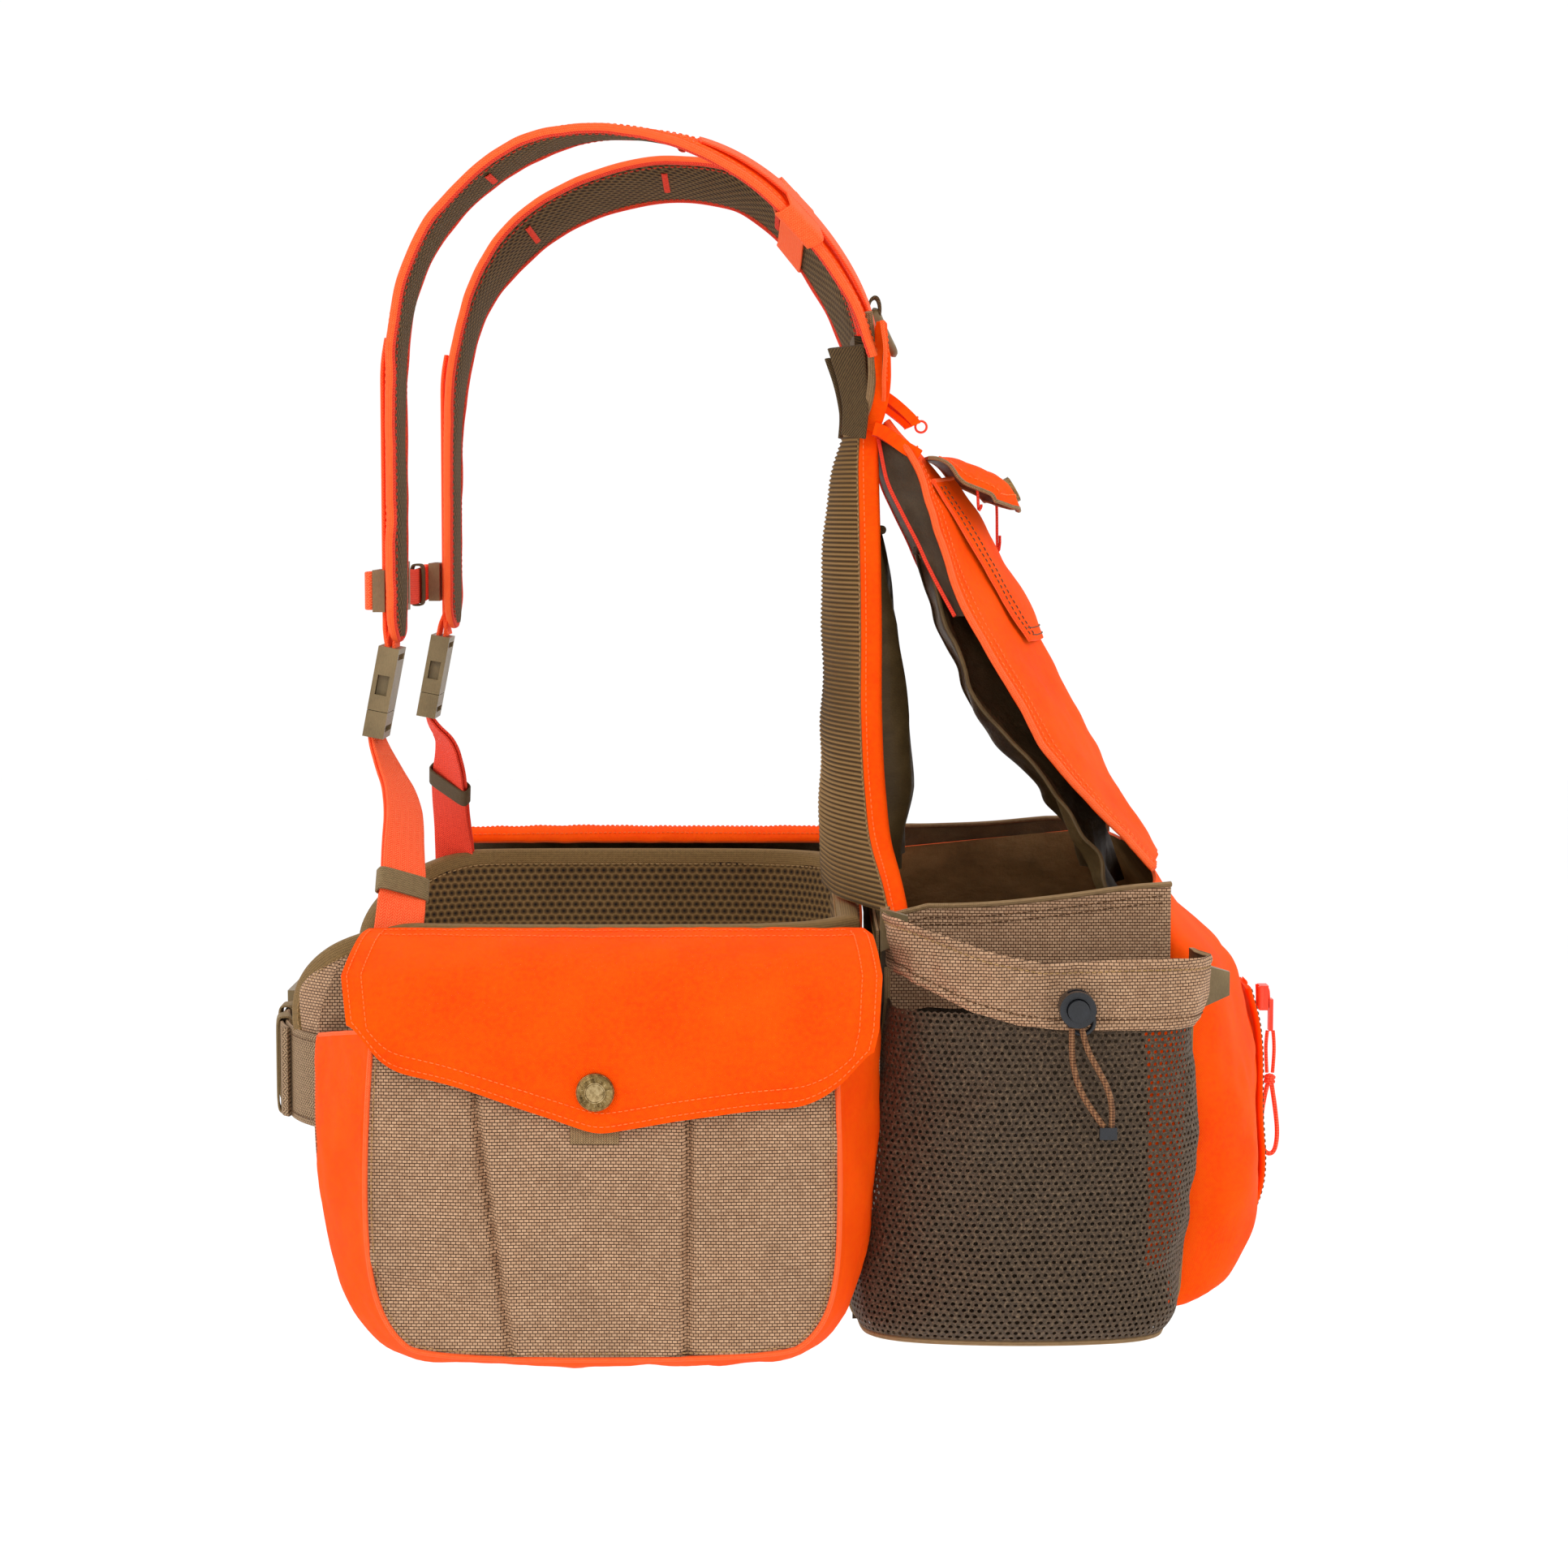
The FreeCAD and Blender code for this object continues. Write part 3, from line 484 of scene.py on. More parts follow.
def ballistic(name, c1, c2, dark, bw=2.1, rh=1.25):
    M = Mat(name, rough=0.72, spec=0.3, sheen=0.12, sheen_tint=c1)
    v = M.uv()
    wob = M.n("TexNoise", {"Vector": v, "Scale": 0.25, "Detail": 2.0}).outputs["Color"]
    vv = M.n("VectorMath", {0: v, 1: M.n("VectorMath", {0: wob, 3: 0.14}, operation="SCALE").outputs[0]}, operation="ADD").outputs[0]
    br = M.n("TexBrick", {"Vector": vv, "Scale": 1.0, "Mortar Size": 0.27, "Mortar Smooth": 0.7, "Brick Width": bw,
                          "Row Height": rh, "Color1": c1, "Color2": c2, "Mortar": dark}, offset=0.5)
    big = M.noise(v, 0.03, 3)
    fine = M.noise(v, 2.2, 2)
    c = M.mix(M.op("MULTIPLY_ADD", fine, 0.5, -0.05, clamp=True), br.outputs["Color"], dark)
    c = M.mix(M.op("MULTIPLY_ADD", big, 0.5, -0.12, clamp=True), c, dark)
    M.color(c)
    h = M.op("SUBTRACT", 1.0, br.outputs["Fac"])
    M.bump(h, 0.0004, 0.9)
    return M.m


def weave_band(name, base, light, dark, pitch=1.5, chev=5.0, sheen=0.2, emis=0.0, obj=False, rough=.75):
    # narrow woven tape: chevron twill with a ribbed edge
    M = Mat(name, rough=rough, spec=0.3, sheen=sheen, sheen_tint=light, emis=base, emis_s=emis)
    v = M.obj() if obj else M.uv()
    x, y = sep(M, v)
    tri = M.op("ABSOLUTE", M.op("SUBTRACT", M.op("FRACT", M.op("DIVIDE", y, chev)), 0.5))
    d = M.op("ADD", M.op("DIVIDE", x, pitch), M.op("MULTIPLY", tri, chev / pitch * 1.1))
    w = M.op("MULTIPLY_ADD", M.op("SINE", M.op("MULTIPLY", d, 2 * math.pi)), 0.5, 0.5)
    rib = M.op("MULTIPLY_ADD", M.op("SINE", M.op("MULTIPLY", y, 2 * math.pi / 1.25)), 0.5, 0.5)
    mid = M.noise(v, 0.5, 4)
    h = M.op("ADD", M.op("MULTIPLY", w, 0.7), M.op("MULTIPLY", rib, 0.3))
    f = M.op("ADD", M.op("MULTIPLY", h, 0.6), M.op("MULTIPLY", mid, 0.4))
    M.color(M.ramp(f, [(.22, dark), (.5, base), (.8, light)]))
    M.bump(h, 0.0003, 0.8)
    return M.m


def dots(name, base, light, dark, sx=3.2, sy=2.8, rad=0.42, row=True, depth=0.0009, rough=.85, diag=0.0):
    # knitted spacer mesh: staggered oval holes between raised ribs
    M = Mat(name, rough=rough, spec=0.2, sheen=0.15, sheen_tint=light)
    v = M.uv()
    x, y = sep(M, v)
    if diag:
        y2 = M.op("ADD", y, M.op("MULTIPLY", x, diag))
    else:
        y2 = y
    j = M.op("DIVIDE", y2, sy)
    jr = M.op("FLOOR", j)
    odd = M.op("MULTIPLY", M.op("MODULO", M.op("ABSOLUTE", jr), 2.0), 0.5)
    i = M.op("ADD", M.op("DIVIDE", x, sx), odd)
    fx = M.op("SUBTRACT", M.op("FRACT", i), 0.5)
    fy = M.op("MULTIPLY", M.op("SUBTRACT", M.op("FRACT", j), 0.5), 1.0)
    r2 = M.op("SQRT", M.op("ADD", M.op("MULTIPLY", fx, fx), M.op("MULTIPLY", fy, fy)))
    h = M.op("SMOOTH_MIN", M.op("DIVIDE", r2, rad), 1.0, 0.35)
    fine = M.noise(v, 1.6, 3)
    big = M.noise(v, 0.04, 2)
    f = M.op("ADD", M.op("MULTIPLY", h, 0.72), M.op("ADD", M.op("MULTIPLY", fine, 0.25), M.op("MULTIPLY", big, 0.12)))
    M.color(M.ramp(f, [(.30, dark), (.72, base), (1.0, light)]))
    M.bump(h, depth, 1.0, M.bump(fine, 0.0003, 0.5))
    return M.m


def ribbed(name, base, light, dark, pitch=2.5, obj=False):
    M = Mat(name, rough=.85, spec=.2, sheen=.12, sheen_tint=light)
    v = M.uv()
    x, y = sep(M, v)
    a = M.op("MULTIPLY_ADD", M.op("SINE", M.op("MULTIPLY", x, 2 * math.pi / pitch)), .5, .5)
    b = M.op("MULTIPLY_ADD", M.op("SINE", M.op("ADD", M.op("MULTIPLY", y, 2 * math.pi / 1.9), M.op("MULTIPLY", M.op("FLOOR", M.op("DIVIDE", x, pitch)), 3.1))), .5, .5)
    fine = M.noise(v, 1.8, 3)
    f = M.op("ADD", M.op("MULTIPLY", a, .55), M.op("ADD", M.op("MULTIPLY", b, .22), M.op("MULTIPLY", fine, .28)))
    M.color(M.ramp(f, [(.18, dark), (.55, base), (.95, light)]))
    M.bump(f, .0006, .9)
    return M.m


def nylon(name, base, light, dark, sheen=0.3, rough=.5, scale=.05, tex=.5):
    M = Mat(name, rough=rough, spec=.35, sheen=sheen, sheen_rough=.3, sheen_tint=light)
    v = M.uv()
    x, y = sep(M, v)
    big = M.noise(v, scale, 4, .6)
    w = M.op("MULTIPLY", M.op("SINE", M.op("MULTIPLY", x, 2 * math.pi / .55)), M.op("SINE", M.op("MULTIPLY", y, 2 * math.pi / .55)))
    fine = M.noise(v, 1.2, 3)
    f = M.op("ADD", M.op("MULTIPLY", big, .7), M.op("MULTIPLY", fine, .3))
    M.color(M.ramp(f, [(.25, dark), (.5, base), (.8, light)]))
    n = M.bump(big, .004, .5)
    n = M.bump(fine, .0004, .4, n)
    M.bump(w, .0001, .5, n)
    return M.m


def moulded(name, base, light, dark, rough=.45, spec=.45, coat=0.0, mould=.25):
    M = Mat(name, rough=rough, spec=spec, coat=coat)
    v = M.obj()
    big = M.noise(v, .06, 3)
    fine = M.noise(v, 2.5, 3)
    scr = M.n("TexNoise", {"Vector": M.n("VectorMath", {0: v, 1: (.25, 2.5, .6)}, operation="MULTIPLY").outputs[0], "Scale": 1.0, "Detail": 4.0}).outputs["Fac"]
    f = M.op("ADD", M.op("MULTIPLY", big, .6), M.op("MULTIPLY", scr, .4))
    M.color(M.ramp(f, [(.3, dark), (.5, base), (.75, light)]))
    M.rough(M.op("MULTIPLY_ADD", fine, .25, rough - .12))
    M.bump(fine, .0002, mould, M.bump(scr, .0003, .25))
    return M.m


def metal(name, base, light, dark, rough=.38, obj=True):
    M = Mat(name, rough=rough, metal=1.0)
    v = M.obj()
    a = M.noise(v, .35, 5, .65)
    f2 = M.noise(v, 3.0, 3)
    M.color(M.ramp(a, [(.32, dark), (.5, base), (.7, light)]))
    M.rough(M.op("MULTIPLY_ADD", a, .35, rough - .15))
    M.bump(f2, .00015, .5)
    return M.m


def braid(name, base, light, dark, emis=0.0, k=1.0):
    # cord cover: crossing spirals with flecks
    M = Mat(name, rough=.7, spec=.3, sheen=.15, sheen_tint=light, emis=base, emis_s=emis)
    v = M.obj()
    s = M.n("SeparateXYZ", {0: v})
    a = M.op("ADD", M.op("MULTIPLY", s.outputs[2], 2.1 * k), M.op("MULTIPLY", M.op("ADD", s.outputs[0], s.outputs[1]), 1.6 * k))
    b = M.op("SUBTRACT", M.op("MULTIPLY", s.outputs[2], 2.1 * k), M.op("MULTIPLY", M.op("ADD", s.outputs[0], s.outputs[1]), 1.6 * k))
    w = M.op("MULTIPLY", M.op("SINE", a), M.op("SINE", b))
    fl = M.noise(v, 1.3, 2)
    f = M.op("ADD", M.op("MULTIPLY_ADD", w, .3, .3), M.op("MULTIPLY", fl, .5))
    M.color(M.ramp(f, [(.2, dark), (.5, base), (.85, light)]))
    M.bump(w, .0002, .8)
    return M.m


def thread(name, base, light, dark, emis=0.0):
    M = Mat(name, rough=.6, spec=.3, sheen=.2, sheen_tint=light, emis=base, emis_s=emis)
    v = M.obj()
    a = M.noise(v, 1.5, 3)
    M.color(M.ramp(a, [(.3, dark), (.5, base), (.75, light)]))
    M.bump(M.noise(v, 6.0, 2), .0001, .6)
    return M.m


ORG = lin(255, 86, 0)
# E: emission strength for the orange cloth, binding and webbing: a painted glow that keeps their shaded sides bright
# orange, though the cloth is no lamp
E = 0.10
M_OR = twill("orange_twill", lin(254, 80, 0), lin(255, 92, 2), lin(248, 62, 0), emis=E, sheen=.05)
M_OR_EDGE = weave_band("orange_binding", lin(255, 96, 34), lin(255, 122, 66), lin(246, 66, 10), pitch=1.1, chev=3.2, emis=E)
M_OR_WEB = weave_band("orange_webbing", lin(255, 92, 40), lin(255, 122, 74), lin(240, 62, 20), pitch=1.5, chev=4.2, emis=E)
# darker, redder copy of the orange webbing: painted shade, used where orange webbing lies on a far or under side
M_SHADED_OR_WEB = weave_band("shaded_webbing", lin(236, 58, 34), lin(255, 84, 52), lin(196, 36, 16), pitch=1.5, chev=4.2, emis=.04)
M_TAN = ballistic("tan_ballistic", lin(232, 186, 146), lin(206, 160, 122), lin(68, 43, 24), bw=2.5, rh=1.6)
M_TAN_WEB = weave_band("tan_webbing", lin(132, 104, 74), lin(186, 154, 120), lin(62, 44, 26), pitch=2.2, chev=6.0, rough=.8)
M_BIND = weave_band("olive_binding", lin(126, 96, 52), lin(160, 126, 76), lin(78, 58, 30), pitch=1.0, chev=2.6)
M_TAN_BIND = weave_band("tan_binding", lin(142, 112, 74), lin(184, 150, 108), lin(84, 62, 38), pitch=1.0, chev=2.6)
M_SPACER = dots("spacer_mesh", lin(92, 68, 38), lin(140, 108, 66), lin(24, 15, 7), sx=5.0, sy=4.2, rad=.54)
M_CHAIN = dots("chain_mesh", lin(84, 62, 34), lin(138, 108, 66), lin(18, 12, 6), sx=4.4, sy=3.4, rad=.56, diag=.6)
M_RIB = ribbed("ribbed_mesh", lin(116, 86, 46), lin(172, 134, 82), lin(34, 23, 11))
M_NY = nylon("brown_nylon", lin(92, 72, 40), lin(120, 96, 58), lin(66, 50, 27))
M_NYD = nylon("dark_nylon", lin(66, 50, 30), lin(88, 68, 42), lin(44, 33, 19))
M_NYL = nylon("bag_lining", lin(156, 118, 68), lin(184, 144, 90), lin(120, 90, 50))
M_NET = nylon("open_net", lin(78, 60, 42), lin(150, 124, 96), lin(38, 28, 19), scale=.5, rough=.6)
M_KEEP = weave_band("tan_elastic", lin(128, 106, 70), lin(160, 134, 94), lin(84, 66, 40), pitch=1.1, chev=30)
M_KEEP_D = weave_band("dark_elastic", lin(84, 64, 38), lin(108, 84, 52), lin(50, 37, 21), pitch=1.1, chev=30)
M_YOKE = weave_band("yoke_webbing", lin(84, 64, 36), lin(112, 88, 54), lin(46, 34, 18), pitch=2.0, chev=60)
# the orange threads carry a small emission too: painted glow
M_TH_OR = thread("orange_thread", lin(255, 112, 40), lin(255, 136, 66), lin(244, 84, 16), emis=.05)
M_TH_BR = thread("brown_thread", lin(98, 66, 38), lin(136, 98, 62), lin(64, 42, 22))
# orange thread darkened to red: painted shade, for stitches on inner, shaded faces
M_TH_OR_SHADED = thread("shaded_orange_thread", lin(222, 52, 26), lin(246, 82, 44), lin(170, 34, 14), emis=.04)
M_TH_TAN = thread("tan_thread", lin(164, 128, 80), lin(196, 160, 110), lin(120, 90, 54))
M_KHAKI = moulded("khaki_plastic", lin(126, 106, 70), lin(142, 120, 82), lin(108, 90, 58))
M_BLACK = moulded("black_plastic", lin(26, 28, 33), lin(40, 43, 50), lin(15, 16, 19), rough=.3, spec=.5)
M_BRASS = metal("antique_brass", lin(132, 108, 66), lin(176, 150, 100), lin(74, 58, 34))
M_BRASS_L = metal("worn_brass", lin(176, 152, 108), lin(206, 184, 140), lin(120, 98, 62), rough=.32)
M_STEEL = metal("spring_steel", lin(190, 190, 194), lin(220, 220, 224), lin(150, 150, 156), rough=.25)
M_OR_MET = moulded("orange_coated_metal", lin(250, 66, 24), lin(255, 92, 44), lin(226, 48, 12), rough=.35, spec=.5)
M_CORD = braid("brown_cord", lin(112, 72, 44), lin(166, 120, 82), lin(62, 38, 22))
# the orange cord carries a small emission: painted glow
M_OR_CORD = braid("orange_cord", lin(252, 74, 40), lin(255, 118, 84), lin(226, 48, 18), emis=.05)
M_TEETH = moulded("orange_teeth", lin(250, 74, 30), lin(255, 104, 58), lin(222, 52, 14), rough=.4)
M_COIL = moulded("brown_teeth", lin(104, 78, 44), lin(132, 102, 62), lin(74, 54, 30), rough=.4)


def cad(node, *mats):
    # better material on a carried-over CAD node
    o = NODES[node]
    for k in range(max(1, len(o.data.materials))):
        m = mats[min(k, len(mats) - 1)]
        if len(o.data.materials) == 0:
            o.data.materials.append(m)
        else:
            o.material_slots[k].link = "DATA"
            o.data.materials[k] = m
    return o


# ------------------------------------------------------------------ camera, floor, light
cam = bpy.data.cameras.new("camera")
cam.lens, cam.sensor_width = 75.84, 36.0
cam_o = bpy.data.objects.new("camera", cam)
cam_o.location = (1.850, 0.112, 0.266)
cam_o.rotation_euler = (math.radians(90 - 4.86), 0, math.radians(90))
COL.objects.link(cam_o)
bpy.context.scene.camera = cam_o

fm = Mat("floor_plaster", rough=.9, spec=.1)
fv = fm.obj(1.0)
fm.color(fm.ramp(fm.noise(fv, 1.2, 3), [(.3, (.985, .985, .985, 1)), (.7, (1, 1, 1, 1))]))
fp = Parts()
g = np.linspace(-9000, 9000, 13)
fp.quads(fp.raw(np.array([[(x, y, -640.0) for y in g] for x in g])) + np.arange(169).reshape(13, 13),
         np.stack(np.meshgrid(g, g, indexing="ij"), -1), fm.m)
floor = fp.build("studio_floor", ride=False, sharp=0)

world = bpy.context.scene.world or bpy.data.worlds.new("world")
bpy.context.scene.world = world
world.use_nodes = True
bg = world.node_tree.nodes.get("Background") or world.node_tree.nodes.new("ShaderNodeBackground")
bg.inputs["Color"].default_value = (1.0, 1.0, 1.0, 1.0)
bg.inputs["Strength"].default_value = 1.02
bpy.context.scene.view_settings.view_transform = "Standard"
bpy.context.scene.view_settings.look = "None"


def area(name, loc, target, size, power, color=(1, 1, 1)):
    li = bpy.data.lights.new(name, "AREA")
    li.shape, li.size, li.energy, li.color = "DISK", size, power, color
    o = bpy.data.objects.new(name, li)
    o.location = loc
    d = Vector(target) - Vector(loc)
    o.rotation_euler = d.to_track_quat("-Z", "Y").to_euler()
    COL.objects.link(o)


area("key", (1.9, -1.3, 1.9), (0, .05, .1), 1.1, 15)
area("fill", (-1.6, -1.8, 1.3), (0, .1, .1), 1.4, 10)
area("back", (-.6, 2.4, 1.6), (0, .2, .1), 1.4, 12)

# ------------------------------------------------------------------ CAD pieces kept, with their finishes
for s_ in ("left", "right"):
    cad("strap_buckle_socket_" + s_, M_KHAKI)
    cad("strap_buckle_plug_" + s_, M_KHAKI)
    cad("cord_lock_" + s_, M_BLACK)
    cad("cord_lock_button_" + s_, M_BLACK)
    cad("cord_lock_spring_" + s_, M_STEEL)
    cad("snap_cap_" + s_, M_BRASS)
for n_ in ("waist_buckle_socket", "waist_buckle_plug", "chest_buckle_socket", "chest_buckle_plug", "adjuster_tabs",
           "chest_strap_sliders"):
    cad(n_, M_KHAKI)
cad("snap_studs", M_BRASS_L)
cad("cord_ends", M_BLACK)
cad("rear_zip_slider", M_OR_MET)
cad("rear_zip_tab", M_OR_MET)
cad("yoke_zip_slider", M_OR_MET)
cad("yoke_zip_pull", M_OR_MET)
cad("small_pocket_snap", M_BRASS)
cad("hang_loop", M_KHAKI)


# ------------------------------------------------------------------ cords
def nurbs(name, pts, dia, mat, body, cap=True):
    cu = bpy.data.curves.new(name, "CURVE")
    cu.dimensions = "3D"
    sp = cu.splines.new("NURBS")
    sp.points.add(len(pts) - 1)
    for p, c in zip(sp.points, pts):
        p.co = (c[0], c[1], c[2], 1.0)
    sp.order_u = 3
    sp.use_endpoint_u = True
    sp.resolution_u = 14
    cu.bevel_depth = dia / 2
    cu.bevel_resolution = 4
    cu.use_fill_caps = cap
    cu.materials.append(mat)
    o = bpy.data.objects.new(name, cu)
    COL.objects.link(o)
    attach(o, body)
    return o


CX = .2309
for s_, sg in (("left", 1), ("right", -1)):
    a_pts = [(CX * sg, .2546, .007), (CX * sg, .2543, -.003), (CX * sg, .2556, -.014), ((CX + .0004) * sg, .2595, -.026),
             ((CX + .0003) * sg, .266, -.036), (CX * sg, .2708, -.0425)]
    b_pts = [(CX * sg, .2594, .007), (CX * sg, .2616, -.003), ((CX + .0004) * sg, .2672, -.013), ((CX + .0006) * sg, .2726, -.023),
             ((CX + .0003) * sg, .2752, -.034), (CX * sg, .2746, -.0425)]
    ca = nurbs("drawcord_a_" + s_, a_pts, .003, M_CORD, "root")
    cb = nurbs("drawcord_b_" + s_, b_pts, .003, M_CORD, "root")
    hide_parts("drawcord_" + s_)
    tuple(a_pts[0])
    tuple(b_pts[0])

PX = .387
up_a = [(0, PX - .0016, -.0313), (0, PX - .0024, -.038), (.0004, PX - .0022, -.047), (0, PX - .0016, -.0552)]
up_b = [(0, PX + .0016, -.0313), (0, PX + .0024, -.038), (.0004, PX + .0022, -.047), (0, PX + .0016, -.0552)]
loop = [(0, PX - .0012, -.062), (0, PX - .004, -.074), (0, PX - .0046, -.088), (0, PX - .0040, -.0975), (0, PX - .0008, -.1022),
        (0, PX + .0034, -.1008), (0, PX + .005, -.090), (0, PX + .0032, -.074), (0, PX + .0012, -.062)]
ua = nurbs("rear_pull_upper_a", up_a, .00208, M_OR_CORD, "rear_pull")
ub = nurbs("rear_pull_upper_b", up_b, .00208, M_OR_CORD, "rear_pull")
lp = nurbs("rear_pull_loop", loop, .0026, M_OR_CORD, "rear_pull")
# the overhand knot between the two: three crossing turns of the same cord
kn = Parts()
t_ = np.linspace(0, 2 * math.pi, 30, endpoint=False)
kc = np.array([0, PX * 1000, -58.6])
for tilt_, rr in ((0.5, 2.5), (-0.6, 2.4), (1.5, 2.1)):
    ring = np.stack([rr * np.cos(t_), rr * np.sin(t_) * math.cos(tilt_), rr * np.sin(t_) * math.sin(tilt_) + .5 * np.cos(2 * t_)], 1) + kc
    rope(kn, np.vstack([ring]), 1.25, M_OR_CORD, up=(0.2, .5, 1), closed=True)
rope(kn, np.array([kc + (0, 0, 2.6), kc + (.2, 0, 1), kc, kc - (0, 0, 1.5), kc - (0, 0, 3.6)]), 1.9, M_OR_CORD, up=(1, 0, 0))
knot = kn.build("rear_pull_knot", "rear_pull")
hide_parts("rear_zip_pull")


# ------------------------------------------------------------------ hip belt
wing_path = [(147, 146), (170, 131), (183, 105), (186, 65), (186, -40), (181, -78), (168, -108), (148, -130), (136, -139)]


def plan_line(pts, n, z=0.0):
    p = curve(np.array([(x, y, z) for x, y in pts]), n, 3)
    T = unit(np.gradient(p, axis=0))
    return p, T, unit(np.cross(T, np.array([0, 0, 1.0])))      # last: sideways, outwards for the left wing


def belt_wing(side, tag):
    n = 170
    p, T, out = plan_line(wing_path, n)
    if np.dot(out[n // 2], (1, 0, 0)) < 0:
        out = -out
    s = arc(p)
    L = s[-1]
    # half height: the front end is rounded
    e = np.clip((s - (L - 80)) / 80, 0, 1)
    hh = 50 - 44 * (1 - np.maximum(0, 1 - e ** 1.6) ** (1 / 1.6))
    wv = Waves(31 if side > 0 else 32, 25, 90)
    P = Parts()
    nh = 25
    zz = np.linspace(-1, 1, nh)
    # outer face (ballistic) and inner face (spacer mesh), crowned, meeting inside the binding
    prof = (1 - np.abs(zz) ** 6)
    Z = hh[:, None] * zz[None]
    C = p[:, None] + np.array([0, 0, 1.0]) * Z[..., None]
    bulge_o = 3.6 + 2.2 * prof[None] + .5 * wv(C)
    bulge_i = 3.6 + 3.0 * prof[None] + .45 * wv(C + 50)
    end = np.clip((L - s) / 6, 0, 1)[:, None] * .6 + .4
    O = C + out[:, None] * (bulge_o * end)[..., None]
    I = C - out[:, None] * (bulge_i * end)[..., None]
    uvs = np.stack(np.broadcast_arrays(s[:, None], Z), -1)
    a, b = P.raw(O), P.raw(I)
    idx = np.arange(n * nh).reshape(n, nh)
    P.quads(idx + a, uvs, M_TAN, flip=False)
    P.quads(idx + b, uvs, M_SPACER, flip=True)
    for col, fl in ((0, False), (nh - 1, True)):
        P.quads(np.stack([idx[:, col] + a, idx[:, col] + b]), np.stack([uvs[:, col], uvs[:, col] + (0, 3)]), M_BIND, flip=not fl)
    for row, fl in ((0, True), (n - 1, False)):
        P.quads(np.stack([idx[row] + a, idx[row] + b]), np.stack([uvs[row], uvs[row] + (3, 0)]), M_BIND, flip=not fl)
    ob = P.build("belt_wing_" + tag, "root", side)
    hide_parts("hip_belt_" + tag)
    # binding over the edge, all the way round
    B = Parts()
    top = np.c_[s, hh - 2.5]
    edge = np.vstack([top, top[::-1] * (1, -1)])
    # fill the rounded front end smoothly
    xyz = np.stack([np.interp(edge[:, 0], s, p[:, k]) for k in range(2)] + [edge[:, 1]], 1)
    xyz = resample(xyz, 360)
    T2 = unit(np.gradient(xyz, axis=0))
    # outward across the thickness: horizontal normal at the same station
    from_plan = np.array([np.argmin(((p[:, :2] - q[:2]) ** 2).sum(1)) for q in xyz])
    tn = out[from_plan]
    wn = unit(np.cross(tn, T2))
    ctr = np.array([p[n // 2, 0], 0, 0])
    if np.dot(wn[60], (0, 0, 1)) < 0:
        wn = -wn
    sec = flat_sec(11, 11.6, 5, r=3.2)
    extrude(B, xyz, wn, tn, sec, M_BIND)
    for off in (6.05, -6.05):
        line = xyz - wn * 3.6 + tn * off
        stitch(B, line, tn * np.sign(off), M_TH_TAN, pitch=3.4, lift=-.1)
    ob2 = B.build("belt_binding_" + tag, "root", side)
    return ob


for s_, sg in (("left", 1), ("right", -1)):
    belt_wing(sg, s_)

# lumbar pad across the back
P = Parts()
nx, nz = 90, 25
xx, zz = np.linspace(-145, 145, nx), np.linspace(-1, 1, nz)
X, Z = np.meshgrid(xx, zz, indexing="ij")
wv = Waves(41, 30, 100)
base = np.stack([X, 146 + 3 * (np.abs(X) / 145) ** 4 * 0 + 0 * X, 48 * Z], -1)
pr = (1 - np.abs(Z) ** 6)
I_ = base.copy(); I_[..., 1] -= 3.4 + 2.8 * pr + .4 * wv(base)
O_ = base.copy(); O_[..., 1] += 3.4 + 2.0 * pr + .4 * wv(base + 40)
uvs = np.stack([X, 48 * Z], -1)
a, b = P.raw(I_), P.raw(O_)
idx = np.arange(nx * nz).reshape(nx, nz)
P.quads(idx + a, uvs, M_SPACER, flip=False)
P.quads(idx + b, uvs, M_TAN, flip=True)
for col, fl in ((0, True), (nz - 1, False)):
    P.quads(np.stack([idx[:, col] + a, idx[:, col] + b]), np.stack([uvs[:, col], uvs[:, col] + (0, 3)]), M_BIND, flip=fl)
for row, fl in ((0, False), (nx - 1, True)):
    P.quads(np.stack([idx[row] + a, idx[row] + b]), np.stack([uvs[row], uvs[row] + (3, 0)]), M_BIND, flip=fl)
lum = P.build("lumbar_pad_soft", "root")
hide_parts("lumbar_pad")
P = Parts()
for zs in (1, -1):
    path = np.array([(x, 146.0, zs * 46.0) for x in np.linspace(-146, 146, 60)])
    extrude(P, path, (0, 0, zs), (0, -1, 0), flat_sec(10, 11.4, 5, r=3.2), M_BIND)
    stitch(P, path + (0, -5.9, -zs * 3.4), (0, -1, 0), M_TH_TAN, lift=-.1)
P.build("lumbar_binding", "root")

# ------------------------------------------------------------------ pouches
po = [(-112, 36), (-124, 10), (-127, -40), (-124, -85), (-117, -121), (-104, -147), (-80, -162),
      (110, -162), (138, -151), (153, -120), (159, -70), (161, -10), (160, 36)]
pm = [(-88, 12), (-90, 2), (-93, -40), (-94, -84), (-91, -118), (-82, -141), (-65, -155),
      (110, -154), (128, -143), (138, -120), (140, -70), (138, -10), (138, 12)]


def edge_fn(poly, bottom):
    # left and right limits of a rounded outline at a height
    q = chaikin(np.array(poly, float), 3)
    k = len(q) // 2
    L, R = q[:k + 1], q[k:]
    lz, rz = L[::-1, 1], R[:, 1]
    return (lambda z: np.interp(z, np.maximum.accumulate(lz + np.arange(len(lz)) * 1e-6), L[::-1, 0]),
            lambda z: np.interp(z, np.maximum.accumulate(rz + np.arange(len(rz)) * 1e-6), R[:, 0]))


